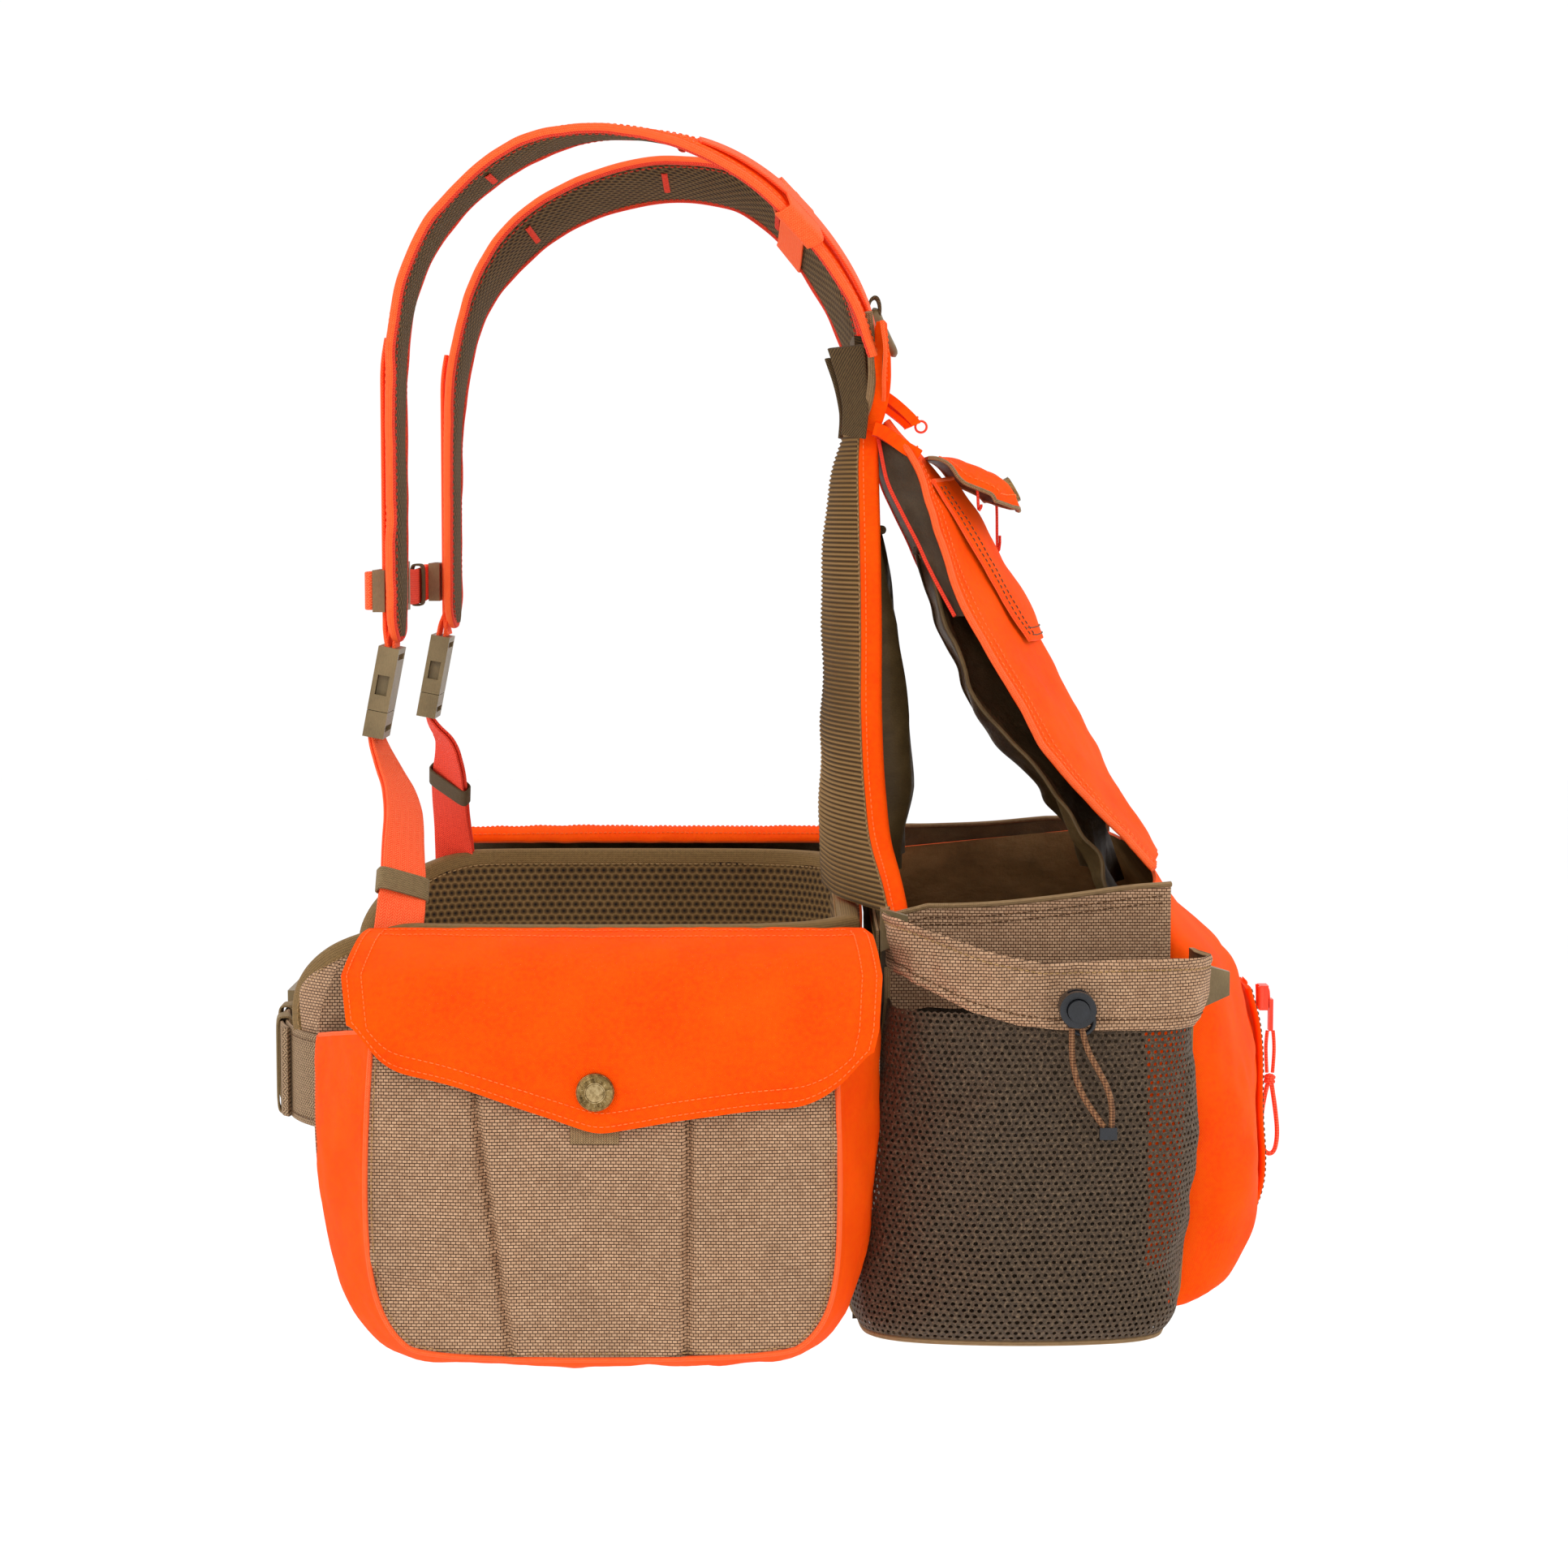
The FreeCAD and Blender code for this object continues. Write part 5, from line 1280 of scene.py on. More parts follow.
# ------------------------------------------------------------------ lower webbing, up from the belt to the plugs
for tag, sx, ty, tz in (("left", 1, -106.0, 141.8), ("right", -1, -99.5, 139.8)):
    # a flat tape: seen on edge at the buckle, turned to face sideways at the belt
    P = Parts()
    m = 120
    if sx > 0:
        ctl = np.array([(99, ty + 1.2, tz + 5), (99.3, ty + 3.6, tz - 4), (102.5, -96.5, 126), (113, -89.5, 115), (132, -85.5, 103),
                        (153, -84, 88), (168, -82.5, 73), (176.8, -83.5, 58), (180.5, -85, 44), (188.2, -87, 30)])
    else:
        ctl = np.array([(99, ty + 1.2, tz + 5), (99.3, ty + 5.0, tz - 4), (102, -87, 127), (112, -85.5, 114), (133, -88.5, 99),
                        (155, -90.5, 85), (170, -91, 71), (177.2, -91, 58), (180.5, -91, 44), (188.2, -91, 30)])
    pt = curve(ctl, m, 3)
    sN = arc(pt) / arc(pt)[-1]
    ang = np.arcsin(np.interp(pt[:, 2], [45, 60, 97, 113, 129, 145], [.99, .95, .48, .36, .26, .10] if sx > 0 else [.99, .95, .66, .54, .42, .10]))
    # width direction turns from X to Y
    wd = np.stack([np.cos(ang), np.sin(ang) * -1, 0 * ang], 1)
    T_ = unit(np.gradient(pt, axis=0))
    wd = unit(wd - T_ * (wd * T_).sum(1, keepdims=True))
    nd_ = unit(np.cross(T_, wd))
    # the right, far tape takes the shaded webbing: painted shade
    mat = M_OR_WEB if tag == "left" else M_SHADED_OR_WEB
    extrude(P, pt, wd, nd_, flat_sec(25, 1.5, 9), mat)
    # the spare end comes back down beside it
    k0 = int(m * .10)
    pt2 = pt[:int(m * .97)] + nd_[:int(m * .97)] * (1.75 + 1.1 * np.sin(np.linspace(0, math.pi, int(m * .97))))[:, None]
    extrude(P, pt2, wd[:int(m * .97)], nd_[:int(m * .97)], flat_sec(24.4, 1.4, 9), mat)
    ob = P.build("lower_webbing_tape_" + tag, "root", side=sx, ride=False)
    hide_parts("lower_webbing_" + tag)
    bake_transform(ob)
    # keeper round both plies
    P = Parts()
    kd = int(m * .70) if tag == "left" else int(m * .42)
    c = pt[kd] + nd_[kd] * 1.4
    lp_ = []
    for a_ in np.linspace(0, 2 * math.pi, 40, endpoint=False):
        ca_, sa_ = math.cos(a_), math.sin(a_)
        lp_.append(c + wd[kd] * 13.7 * np.sign(ca_) * abs(ca_) ** .3 + nd_[kd] * 3.4 * np.sign(sa_) * abs(sa_) ** .5)
    lp_ = np.array(lp_)
    Tl = unit(np.roll(lp_, -1, 0) - np.roll(lp_, 1, 0))
    Wl = np.broadcast_to(T_[kd], Tl.shape)
    extrude(P, lp_, Wl, unit(np.cross(Tl, Wl)), flat_sec(13 if tag == "left" else 18, 1.2, 5), M_KEEP if tag == "left" else M_KEEP_D, closed=True)
    ob = P.build("lower_webbing_keeper_" + tag, "root", side=sx, ride=False)
    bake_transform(ob)

# ------------------------------------------------------------------ chest strap
P = Parts()
n_ = 70
xs = np.linspace(28.0, 88.0, n_)
pt = np.stack([xs, -104.0 + .4 * np.sin(xs / 14), 220 - 1.6 * np.sin((xs - 28) / 60 * math.pi)], 1)
extrude(P, pt, (0, 0, 1), (0, -1, 0), flat_sec(20, 1.5, 7), M_OR_WEB)
pt2 = pt[8:] + (0, -1.8, 0)
extrude(P, pt2, (0, 0, 1), (0, -1, 0), flat_sec(19.6, 1.4, 7), M_OR_WEB)
ob = P.build("chest_webbing_tape_left", "chest_strap")
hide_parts("chest_webbing_left")
P = Parts()
xs = np.linspace(-8.0, -88.0, n_)
yc = np.interp(xs, [-88, -8], [-96.2, -102.6])
pt = np.stack([xs, yc, 220 - 1.8 * np.sin((xs + 8) / -80 * math.pi)], 1)
# the right tape takes the shaded webbing: painted shade
extrude(P, pt, (0, 0, 1), (0, -1, 0), flat_sec(20, 1.5, 7), M_SHADED_OR_WEB)
extrude(P, pt[18:] + (0, -1.9, 0), (0, 0, 1), (0, -1, 0), flat_sec(19.6, 1.4, 7), M_SHADED_OR_WEB)
ob = P.build("chest_webbing_tape_right", "root", ride=False)
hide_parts("chest_webbing_right")
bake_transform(ob)
# keepers and the doubled webbing round the sliders
P = Parts()
for cx_, cy_, wz, mt in ((-62, -98.6, 21.5, M_KEEP_D),):
    pts = []
    for a_ in np.linspace(0, 2 * math.pi, 36, endpoint=False):
        ca_, sa_ = math.cos(a_), math.sin(a_)
        pts.append((cx_, cy_ - 1.0 + 3.3 * np.sign(sa_) * abs(sa_) ** .5, 219 + 11.6 * np.sign(ca_) * abs(ca_) ** .3))
    pts = np.array(pts)
    Tl = unit(np.roll(pts, -1, 0) - np.roll(pts, 1, 0))
    Wl = np.broadcast_to(np.array([1.0, 0, 0]), Tl.shape)
    extrude(P, pts, Wl, unit(np.cross(Tl, Wl)), flat_sec(13, 1.2, 5), mt, closed=True)
P.build("chest_keeper", "chest_strap")
P = Parts()
for sx, yy in ((1, -104.4), (-1, -96.4)):
    # webbing wrapped round the slider's bar
    pts = curve(np.array([(84 * sx, yy - .6, 220), (92 * sx, yy - 2.2, 220), (101 * sx, yy - 4.3, 220), (110 * sx, yy - 3.6, 220), (112.5 * sx, yy - .6, 220),
                          (109 * sx, yy + .4, 220), (104 * sx, yy + .2, 220)]), 40, 2)
    T_ = unit(np.gradient(pts, axis=0))
    extrude(P, pts, (0, 0, 1), np.cross(T_, (0, 0, 1)), flat_sec(20, 1.4, 7), M_OR_WEB)
P.build("chest_slider_webbing", "chest_strap")


# ------------------------------------------------------------------ back pad
rowz = np.array([52, 66, 84, 110, 150, 200, 250, 290, 312], float)
bp_w = smooth1(rowz, [150, 136, 112, 98, 90, 80, 66, 52, 44])
bp_c = smooth1(rowz, [135, 134, 134, 134, 134, 134, 136, 141, 146])
bp_e = smooth1(rowz, [166, 163, 158, 155, 153, 153, 153, 153, 154])
bp_t = smooth1(rowz, [11, 11, 11, 11, 11, 11, 10, 9, 8])
nz, nx = 470, 46
z = np.linspace(53, 311, nz)
q = np.linspace(-1, 1, nx)
w = bp_w(z)[:, None]
inner_w = w - 4.5
X = q[None] * inner_w
Yf = bp_c(z)[:, None] + (bp_e(z) - bp_c(z))[:, None] * np.abs(q[None]) ** 1.7
F3 = np.stack([X, Yf, np.broadcast_to(z[:, None], X.shape)], -1)
wv = Waves(130, 30, 120)
crown = 3.6 * (1 - np.abs(q[None]) ** 3.2)
rib = .55 * np.sin(z * 2 * math.pi / 2.55)[:, None] * (1 - np.abs(q[None]) ** 10)
F3[..., 1] -= crown + rib + .8 * wv(F3) - 2.2
R3 = np.stack([X, Yf + bp_t(z)[:, None], np.broadcast_to(z[:, None], X.shape)], -1)
R3[..., 1] += .5 * wv(R3) + 1.4 * (1 - q[None] ** 4) - .8
uvz = np.stack([np.broadcast_to(z[:, None], X.shape), X], -1)
P = Parts()
a, b = P.raw(F3), P.raw(R3[::1])
idx = np.arange(nz * nx).reshape(nz, nx)
P.quads(idx + a, uvz, M_RIB, flip=False)
P.quads(idx + b, uvz, M_NY, flip=True)
for col, fl in ((0, True), (nx - 1, False)):
    P.quads(np.stack([idx[:, col] + a, idx[:, col] + b]), np.stack([uvz[:, col], uvz[:, col] + (0, 3)]), M_OR, flip=fl)
for row, fl in ((0, False), (nz - 1, True)):
    P.quads(np.stack([idx[row] + a, idx[row] + b]), np.stack([uvz[row], uvz[row] + (3, 0)]), M_OR, flip=fl)
bpad = P.build("back_pad_soft", "root")
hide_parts("back_pad")
# orange band round the sides and the flared foot of the pad
P = Parts()
zb = np.linspace(311.5, 52.5, 230)
for sx in (1, -1):
    pth = np.stack([sx * (bp_w(zb) - 4.6), bp_e(zb) + bp_t(zb) / 2 + .3, zb], 1)
    tail = pth[-1] + np.array([[sx * 1.5, .8, -3.0]])
    pth = resample(np.vstack([pth, tail]), 230)
    T_ = unit(np.gradient(pth, axis=0))
    side_n = unit(np.cross(T_, np.array([0, 1.0, 0])))
    if side_n[10, 0] * sx < 0:
        side_n = -side_n
    back_n = unit(np.cross(T_, side_n))
    if back_n[10, 1] < 0:
        back_n = -back_n
    wide = np.interp(np.linspace(0, 1, 230), [0, .1, .85, 1], [.82, 1, 1, .9])
    wob = 1 + .05 * Waves(135, 12, 50)(pth)
    extrude(P, pth, back_n, side_n, flat_sec(11.6, 8.2, 6, r=3.4), M_OR_EDGE if False else M_OR, scale=np.stack([wide, wob], 1))
    # dotted seam between the ribs and the band, on the wearer's side
    seam = pth - back_n * (5.6 * wide)[:, None] + side_n * 1.2
    rope(P, seam, .9, M_BIND, up=(0, 1, 0.2), n=6)
    stitch(P, seam - back_n * .4 + side_n * .5, -back_n * .5 + side_n, M_TH_TAN, pitch=3.0, length=1.9, r=.42)
    stitch(P, pth + side_n * 4.0 - back_n * 2.8, side_n, M_TH_OR, pitch=3.2)
P.build("back_pad_band", "root")

# ------------------------------------------------------------------ hydration sleeve
P = Parts()
nz, nx = 150, 60
z = np.linspace(61, 251, nz)
q = np.linspace(-1, 1, nx)
hw = np.interp(z, [60, 110, 170, 225, 252], [62, 62, 62, 56, 48])[:, None]
yc = 146.5 + np.interp(z, [60, 252], [0, 1.5])[:, None] + 12.5 * np.abs(q[None]) ** 1.7
th = np.interp(z, [60, 66, 110, 150, 200, 232, 246, 252], [10, 26, 29, 27, 21, 13, 8, 5.5])[:, None]
X = q[None] * hw
lens = np.clip(1 - np.abs(q[None]) ** 4.5, 0, 1) ** .6
wv, wf = Waves(140, 22, 80, stretch=(1, 1, .45)), Waves(141, 7, 20, stretch=(1.0, .4, .15))
F3 = np.stack([X, yc + 0 * X, np.broadcast_to(z[:, None], X.shape)], -1)
B3 = F3.copy()
gather = 1.6 * np.sin(X / 2.6 + .8 * np.sin(z / 17.0)[:, None]) * np.exp(-(251 - z) / 15.0)[:, None]
B3[..., 1] += 1.5 + th * lens + (1.7 * wv(F3) + .5 * wf(F3)) * lens + gather
uvz = np.stack([X, np.broadcast_to(z[:, None], X.shape)], -1)
a, b = P.raw(F3), P.raw(B3)
idx = np.arange(nz * nx).reshape(nz, nx)
P.quads(idx + a, uvz, M_NYD, flip=True)
P.quads(idx + b, uvz, M_NY, flip=False)
for col, fl in ((0, False), (nx - 1, True)):
    P.quads(np.stack([idx[:, col] + a, idx[:, col] + b]), np.stack([uvz[:, col], uvz[:, col] + (3, 0)]), M_NY, flip=fl)
for row, fl in ((0, True), (nz - 1, False)):
    P.quads(np.stack([idx[row] + a, idx[row] + b]), np.stack([uvz[row], uvz[row] + (0, 3)]), M_NYD, flip=fl)
slv = P.build("hydration_sleeve_soft", "root")
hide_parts("hydration_sleeve")
P = Parts()
top = np.stack([np.linspace(-47, 47, 60), np.interp(np.abs(np.linspace(-1, 1, 60)), [0, 1], [153.5, 163]), np.full(60, 251.5)], 1)
extrude(P, top, (0, 1, 0), (0, 0, 1), flat_sec(8.5, 4.2, 5), M_KEEP_D, scale=np.stack([1 + .12 * np.sin(np.arange(60) * 1.3), 1 + .2 * np.sin(np.arange(60) * 1.1)], 1))
P.build("hydration_sleeve_elastic", "root")

# ------------------------------------------------------------------ yoke
P = Parts()
nz, nx = 60, 40
z = np.linspace(314, 356, nz)
q = np.linspace(-1, 1, nx)
hw = np.interp(z, [313, 335, 356], [43.5, 45.5, 51])[:, None]
X = q[None] * hw
yf = np.interp(z, [313, 335, 356], [149.6, 151.6, 149.8])[:, None] - .8 * (1 - q[None] ** 4)
yb = np.interp(z, [313, 335, 356], [160, 161.2, 158.4])[:, None] + .8 * (1 - q[None] ** 4)
F3 = np.stack([X, yf, np.broadcast_to(z[:, None], X.shape)], -1)
B3 = np.stack([X, yb, np.broadcast_to(z[:, None], X.shape)], -1)
uvz = np.stack([X, np.broadcast_to(z[:, None], X.shape)], -1)
a, b = P.raw(F3), P.raw(B3)
idx = np.arange(nz * nx).reshape(nz, nx)
P.quads(idx + a, uvz, M_YOKE, flip=True)
P.quads(idx + b, uvz, M_OR, flip=False)
for col, fl in ((0, False), (nx - 1, True)):
    P.quads(np.stack([idx[:, col] + a, idx[:, col] + b]), np.stack([uvz[:, col], uvz[:, col] + (3, 0)]), M_YOKE, flip=fl)
for row, fl in ((0, True), (nz - 1, False)):
    P.quads(np.stack([idx[row] + a, idx[row] + b]), np.stack([uvz[row], uvz[row] + (0, 3)]), M_OR, flip=fl)
yk = P.build("yoke_soft", "root")
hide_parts("yoke")
# brown webbing straps that carry each shoulder strap into the pad, and their tan binding
P = Parts()
for tag, sx in (("left", 1), ("right", -1)):
    dz_ = 0 if sx > 0 else -3
    pth = curve(np.array([(67 * sx, 145.3, 349.5), (63 * sx, 148.0, 338), (59 * sx, 150.0, 326), (56 * sx, 150.8, 314), (53 * sx, 149.6, 302)]), 60, 3)
    T_ = unit(np.gradient(pth, axis=0))
    lean = unit(np.array([.93 * sx, -.36, 0]))
    wd = unit(np.cross(T_, lean))
    nn_ = unit(np.cross(wd, T_))
    sc = np.stack([np.interp(np.linspace(0, 1, 60), [0, .3, .7, 1], [1.02, .86, .70, .68]), np.ones(60)], 1)
    extrude(P, pth, wd, nn_, flat_sec(21, 2.6, 16), M_YOKE, scale=sc)
    edge = curve(np.array([(85 * sx, 156.6, 367 + dz_), (82 * sx, 157.6, 358), (78 * sx, 158.6, 348), (70 * sx, 159.5, 334), (59 * sx, 158.0, 320), (51 * sx, 153.5, 309)]), 60, 3)
    T_ = unit(np.gradient(edge, axis=0))
    wd = unit(np.cross(T_, np.array([sx * 1.0, 0, 0])))
    extrude(P, edge, wd, unit(np.cross(T_, wd)), flat_sec(4.6, 3.0, 5), M_TAN_BIND)
    fill = curve(np.array([(83 * sx, 162.4, 362 + dz_), (80 * sx, 163.4, 353), (75 * sx, 164.4, 342), (65 * sx, 164.8, 329), (55 * sx, 162.6, 316), (48 * sx, 159.0, 306)]), 60, 3)
    T_ = unit(np.gradient(fill, axis=0))
    wd = unit(np.cross(T_, np.array([sx * 1.0, 0, 0])))
    tp_ = np.interp(np.linspace(0, 1, 60), [0, .06, .3, 1], [.30, .55, 1, 1])
    extrude(P, fill, wd, unit(np.cross(T_, wd)), flat_sec(9.5, 3.4, 7), M_OR, scale=np.stack([tp_, tp_], 1))
P.build("yoke_straps", "root")
# outer orange cover that joins the straps to the yoke, with its edge stitching
P = Parts()
for sx in (1, -1):
    na, nb = 50, 26
    A_ = curve(np.array([(96 * sx, 165.2, 362), (88 * sx, 167, 346), (74 * sx, 167.5, 330), (58 * sx, 166.2, 318), (44 * sx, 165, 312)]), na, 3)
    B_ = curve(np.array([(34 * sx, 167.2, 360), (20 * sx, 166.2, 354), (8 * sx, 165.2, 340), (3 * sx, 164.2, 326), (1.0 * sx, 163.6, 312)]), na, 3)
    t_ = np.linspace(0, 1, nb)
    S_ = A_[:, None] * (1 - t_)[None, :, None] + B_[:, None] * t_[None, :, None]
    S_[..., 1] += 1.3 * np.sin(np.pi * t_)[None] + .35 * Waves(150, 18, 60)(S_)
    N_ = grid_normals(S_)
    if np.dot(N_[na // 2, nb // 2], (0, 1, 0)) < 0:
        N_ = -N_
    sheet(P, S_, 2.2, M_OR, M_NY, M_OR_EDGE, N=N_) if sx > 0 else sheet(P, S_[:, ::-1], 2.2, M_OR, M_NY, M_OR_EDGE, N=N_[:, ::-1])
    stitch(P, S_[2:-2, 2], N_[2:-2, 2], M_TH_OR)
    stitch(P, S_[2:-2, nb - 3], N_[2:-2, nb - 3], M_TH_OR)
P.build("yoke_cover", "root")

# ------------------------------------------------------------------ rear panel and lining
rz = np.array([76, 98, 128, 165, 203, 236, 268, 296, 312], float)
rp_w = smooth1(rz, [148, 132, 120, 108, 96, 82, 68, 54, 46])
rp_c = smooth1(rz, [320, 307, 290, 272, 252, 232, 211, 186, 172])
rp_e = smooth1(rz, [306, 287, 262, 239, 217, 204, 191, 180, 169])
rp_off = smooth1([76, 98, 128, 165, 203, 236, 268, 312], [0, -1, -3, -4, -4, -3, -1, 0])
nz, nx = 170, 90
z = np.linspace(78, 311, nz)
q = np.linspace(-1, 1, nx)
wv, wf = Waves(160, 40, 150), Waves(161, 10, 36)
X = q[None] * rp_w(z)[:, None]
Y = rp_c(z)[:, None] + (rp_e(z) - rp_c(z))[:, None] * np.abs(q[None]) ** 1.6 + rp_off(z)[:, None]
S = np.stack([X, Y, np.broadcast_to(z[:, None], X.shape)], -1)
S[..., 1] += 1.6 * wv(S) * (1 - np.abs(q[None]) ** 3) + .25 * wf(S) + 1.0 * np.sin(z[:, None] / 15.0 + 2 * q[None]) * np.abs(q[None]) ** 3
N = grid_normals(S)
if np.dot(N[nz // 2, nx // 2], (0, 1, 1)) < 0:
    N = -N
P = Parts()
uvz = arc_uv(S)
sheet(P, S[:, ::-1], 1.8, M_OR, M_NY, M_OR_EDGE, uv=uvz[:, ::-1], N=N[:, ::-1])
rp = P.build("rear_panel_cloth", "root")
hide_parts("rear_panel")
P = Parts()
for c0, c1 in ((0, 1), (nx - 1, nx - 2)):
    # turned hem along the edge, on the inside, and its rolled outer fold
    E = S[:, c0]
    toward = unit(S[:, abs(c1 - c0) * 8 if c0 == 0 else nx - 9] - E)
    nn = N[:, c0]
    e2 = E + toward * 6.2 - nn * 2.6
    T_ = unit(np.gradient(e2, axis=0))
    extrude(P, resample(e2, 150), np.stack([np.interp(np.linspace(0, 1, 150), np.linspace(0, 1, nz), toward[:, k]) for k in range(3)], 1),
            np.stack([np.interp(np.linspace(0, 1, 150), np.linspace(0, 1, nz), nn[:, k]) for k in range(3)], 1), flat_sec(13.5, 1.5, 6), M_OR)
    rope(P, resample(E - nn * 1.3 - toward * .3, 170), 1.9, M_OR_EDGE, up=(0, 1, .2), n=9)
    line = resample(E + toward * 11.0 - nn * 3.4, 170)
    # the row on the inner side is in the shaded thread: painted shade
    stitch(P, line, -np.stack([np.interp(np.linspace(0, 1, 170), np.linspace(0, 1, nz), nn[:, k]) for k in range(3)], 1), M_TH_OR_SHADED)
    line = resample(E + toward * 4.4 + nn * .1, 170)
    stitch(P, line, np.stack([np.interp(np.linspace(0, 1, 170), np.linspace(0, 1, nz), nn[:, k]) for k in range(3)], 1), M_TH_OR)
    line = resample(E + toward * 11.5 + nn * .1, 170)
    stitch(P, line, np.stack([np.interp(np.linspace(0, 1, 170), np.linspace(0, 1, nz), nn[:, k]) for k in range(3)], 1), M_TH_OR)
P.build("rear_panel_hem", "root")

lz = np.array([50, 76, 98, 128, 165, 203, 242], float)
ll_w = smooth1(lz, [126, 120, 112, 104, 94, 84, 70])
ll_c = smooth1(lz, [302, 294, 284, 270, 253, 236, 218])
ll_e = smooth1(lz, [296, 279, 258, 238, 218, 199, 186])
nz, nx = 150, 150
z = np.linspace(51, 241, nz)
q = np.linspace(-1, 1, nx)
X = q[None] * ll_w(z)[:, None]
Y = ll_c(z)[:, None] + (ll_e(z) - ll_c(z))[:, None] * np.abs(q[None]) ** 1.6
S = np.stack([X, Y, np.broadcast_to(z[:, None], X.shape)], -1)
wv, wf = Waves(170, 26, 90, stretch=(1, 1, .35)), Waves(171, 9, 26, stretch=(1, 1, .3))
deep = np.interp(z, [50, 110, 180, 225, 242], [4.6, 3.6, 2.4, 1.2, .5])[:, None]
cuff = 1.5 * np.sin(X / 2.3 + 1.2 * np.sin(z / 9.0)[:, None]) * np.exp(-(241 - z) / 9.0)[:, None]
S[..., 1] += deep * wv(S) - 2.2 * deep * np.exp(-((np.abs(q[None]) - .86) / .07) ** 2) * .7 + .6 * wf(S) + cuff + .8
S[..., 0] += 1.2 * wv(S[..., [1, 2, 0]]) * np.interp(z, [50, 242], [1, .3])[:, None]
N = grid_normals(S)
if np.dot(N[nz // 2, nx // 2], (0, 1, 1)) < 0:
    N = -N
P = Parts()
uvz = arc_uv(S)
sheet(P, S[:, ::-1], .9, M_NYD, M_NY, M_NY, uv=uvz[:, ::-1], N=N[:, ::-1])
ln = P.build("game_bag_liner_cloth", "root")
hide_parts("game_bag_liner")
P = Parts()
top = S[-1] - N[-1] * .4
extrude(P, resample(top, 110), (0, .4, 1), (0, -1, .2), flat_sec(9, 2.6, 5), M_KEEP_D,
        scale=np.stack([1 + .10 * np.sin(np.arange(110) * 1.4), 1 + .25 * np.sin(np.arange(110) * 1.7)], 1))
for c0 in (0, nx - 1):
    rope(P, resample(S[:, c0] - N[:, c0] * .4, 120), 1.2, M_NY, up=(0, 1, 0.1), n=7)
P.build("game_bag_liner_cuff", "root")

# lining above the cuff: it closes the side between the back pad and the rear panel
P = Parts()
uz = np.linspace(206, 309, 80)
u_e = smooth1([206, 220, 234, 242, 261, 277, 293, 309], [203.5, 196, 189, 185.5, 176, 168.6, 165.2, 162.6])(uz)
u_w = rp_w(uz) - 5.0
nx_ = 70
q = np.linspace(-1, 1, nx_)
uy_c = u_e + (rp_c(uz) - rp_e(uz)) * .78
X = q[None] * u_w[:, None]
Yl = uy_c[:, None] + (u_e - uy_c)[:, None] * np.abs(q[None]) ** 1.6
S = np.stack([X, Yl, np.broadcast_to(uz[:, None], X.shape)], -1)
S[..., 1] += .7 * Waves(175, 12, 50)(S) * (1 - q[None] ** 4)
N = grid_normals(S)
if np.dot(N[30, 35], (0, 1, 1)) < 0:
    N = -N
sheet(P, S[:, ::-1], .9, M_NYD, M_NY, M_NY, N=N[:, ::-1])
for sg, col in ((1, nx_ - 1), (-1, 0)):
    # side piece from the front edge back to the panel, with a bound front edge
    f_ = np.linspace(0, 1, 16)
    back_ = np.stack([sg * (rp_w(uz) - 2.2), rp_e(uz) + rp_off(uz) - 2.2, uz], 1)
    G = S[:, col][:, None] * (1 - f_)[None, :, None] + back_[:, None] * f_[None, :, None]
    G[..., 0] -= sg * (2.2 * np.sin(np.pi * f_)[None] + .5 * Waves(176, 9, 30)(G))
    Ng = np.broadcast_to(np.array([1.0 * sg, 0, 0]), G.shape)
    sheet(P, G if sg > 0 else G[:, ::-1], .9, M_NYD, M_NY, M_NY, N=Ng)
    # the bound front edge is orange tape in the shaded webbing: painted shade
    rope(P, S[:, col] + (sg * .3, -.6, 0), 1.1, M_SHADED_OR_WEB, up=(0, 1, .1), n=7)
P.build("panel_side_lining", "root")

# ------------------------------------------------------------------ game bag
bz = np.array([-156, -150, -128, -70, -14, 20, 44, 58, 71], float)
bag_y = smooth1(bz, [352, 361, 374, 377.0, 372.5, 358, 332, 322, 314])


def bag_plan(z, n=150):
    # half outline of the bag at a height, from the front left corner round to the middle of the back
    yb = float(bag_y(z))
    k = 1 - .62 * float(step(z, 0, 40))
    pts = [(159.6, 162)] + [(160.0, y) for y in np.linspace(175, yb - 78 * k, 12)]
    pts += [(x, yb - d * k) for x, d in ((160, 62), (157, 46), (148, 32), (132, 22), (110, 15), (80, 9), (40, 3.4), (0, 0))]
    return resample(chaikin(np.array(pts), 2), n)


def bag_side_x(y, z):
    # how far out the bag's side stands at a place
    out_ = np.empty(np.broadcast(y, z).shape)
    yy_, zz2_ = np.broadcast_arrays(np.asarray(y, float), np.asarray(z, float))
    for i_ in range(out_.shape[0]):
        pl_ = bag_plan(float(zz2_[i_].mean()))
        out_[i_] = np.interp(yy_[i_], pl_[:, 1], pl_[:, 0])
    return out_


def bag_top(y, x):
    return np.interp(y, [160, 186, 314, 330, 380], [46, 57, 69, 71, 71])


P = Parts()
nu, nv = 150, 110
zs = np.linspace(-154, 71, 140)
plans = np.stack([bag_plan(zz_, nu) for zz_ in zs], 1)          # (nu, nz, 2)
t_ = np.linspace(0, 1, nv)
H = np.empty((nu, nv, 3))
for i in range(nu):
    yy = plans[i, -1, 1]
    ztop = float(bag_top(plans[i, -12, 1], 0)) if i < 110 else 71.0
    zc = -154 + (ztop + 154) * t_
    H[i, :, 0] = np.interp(zc, zs, plans[i, :, 0])
    H[i, :, 1] = np.interp(zc, zs, plans[i, :, 1])
    H[i, :, 2] = zc
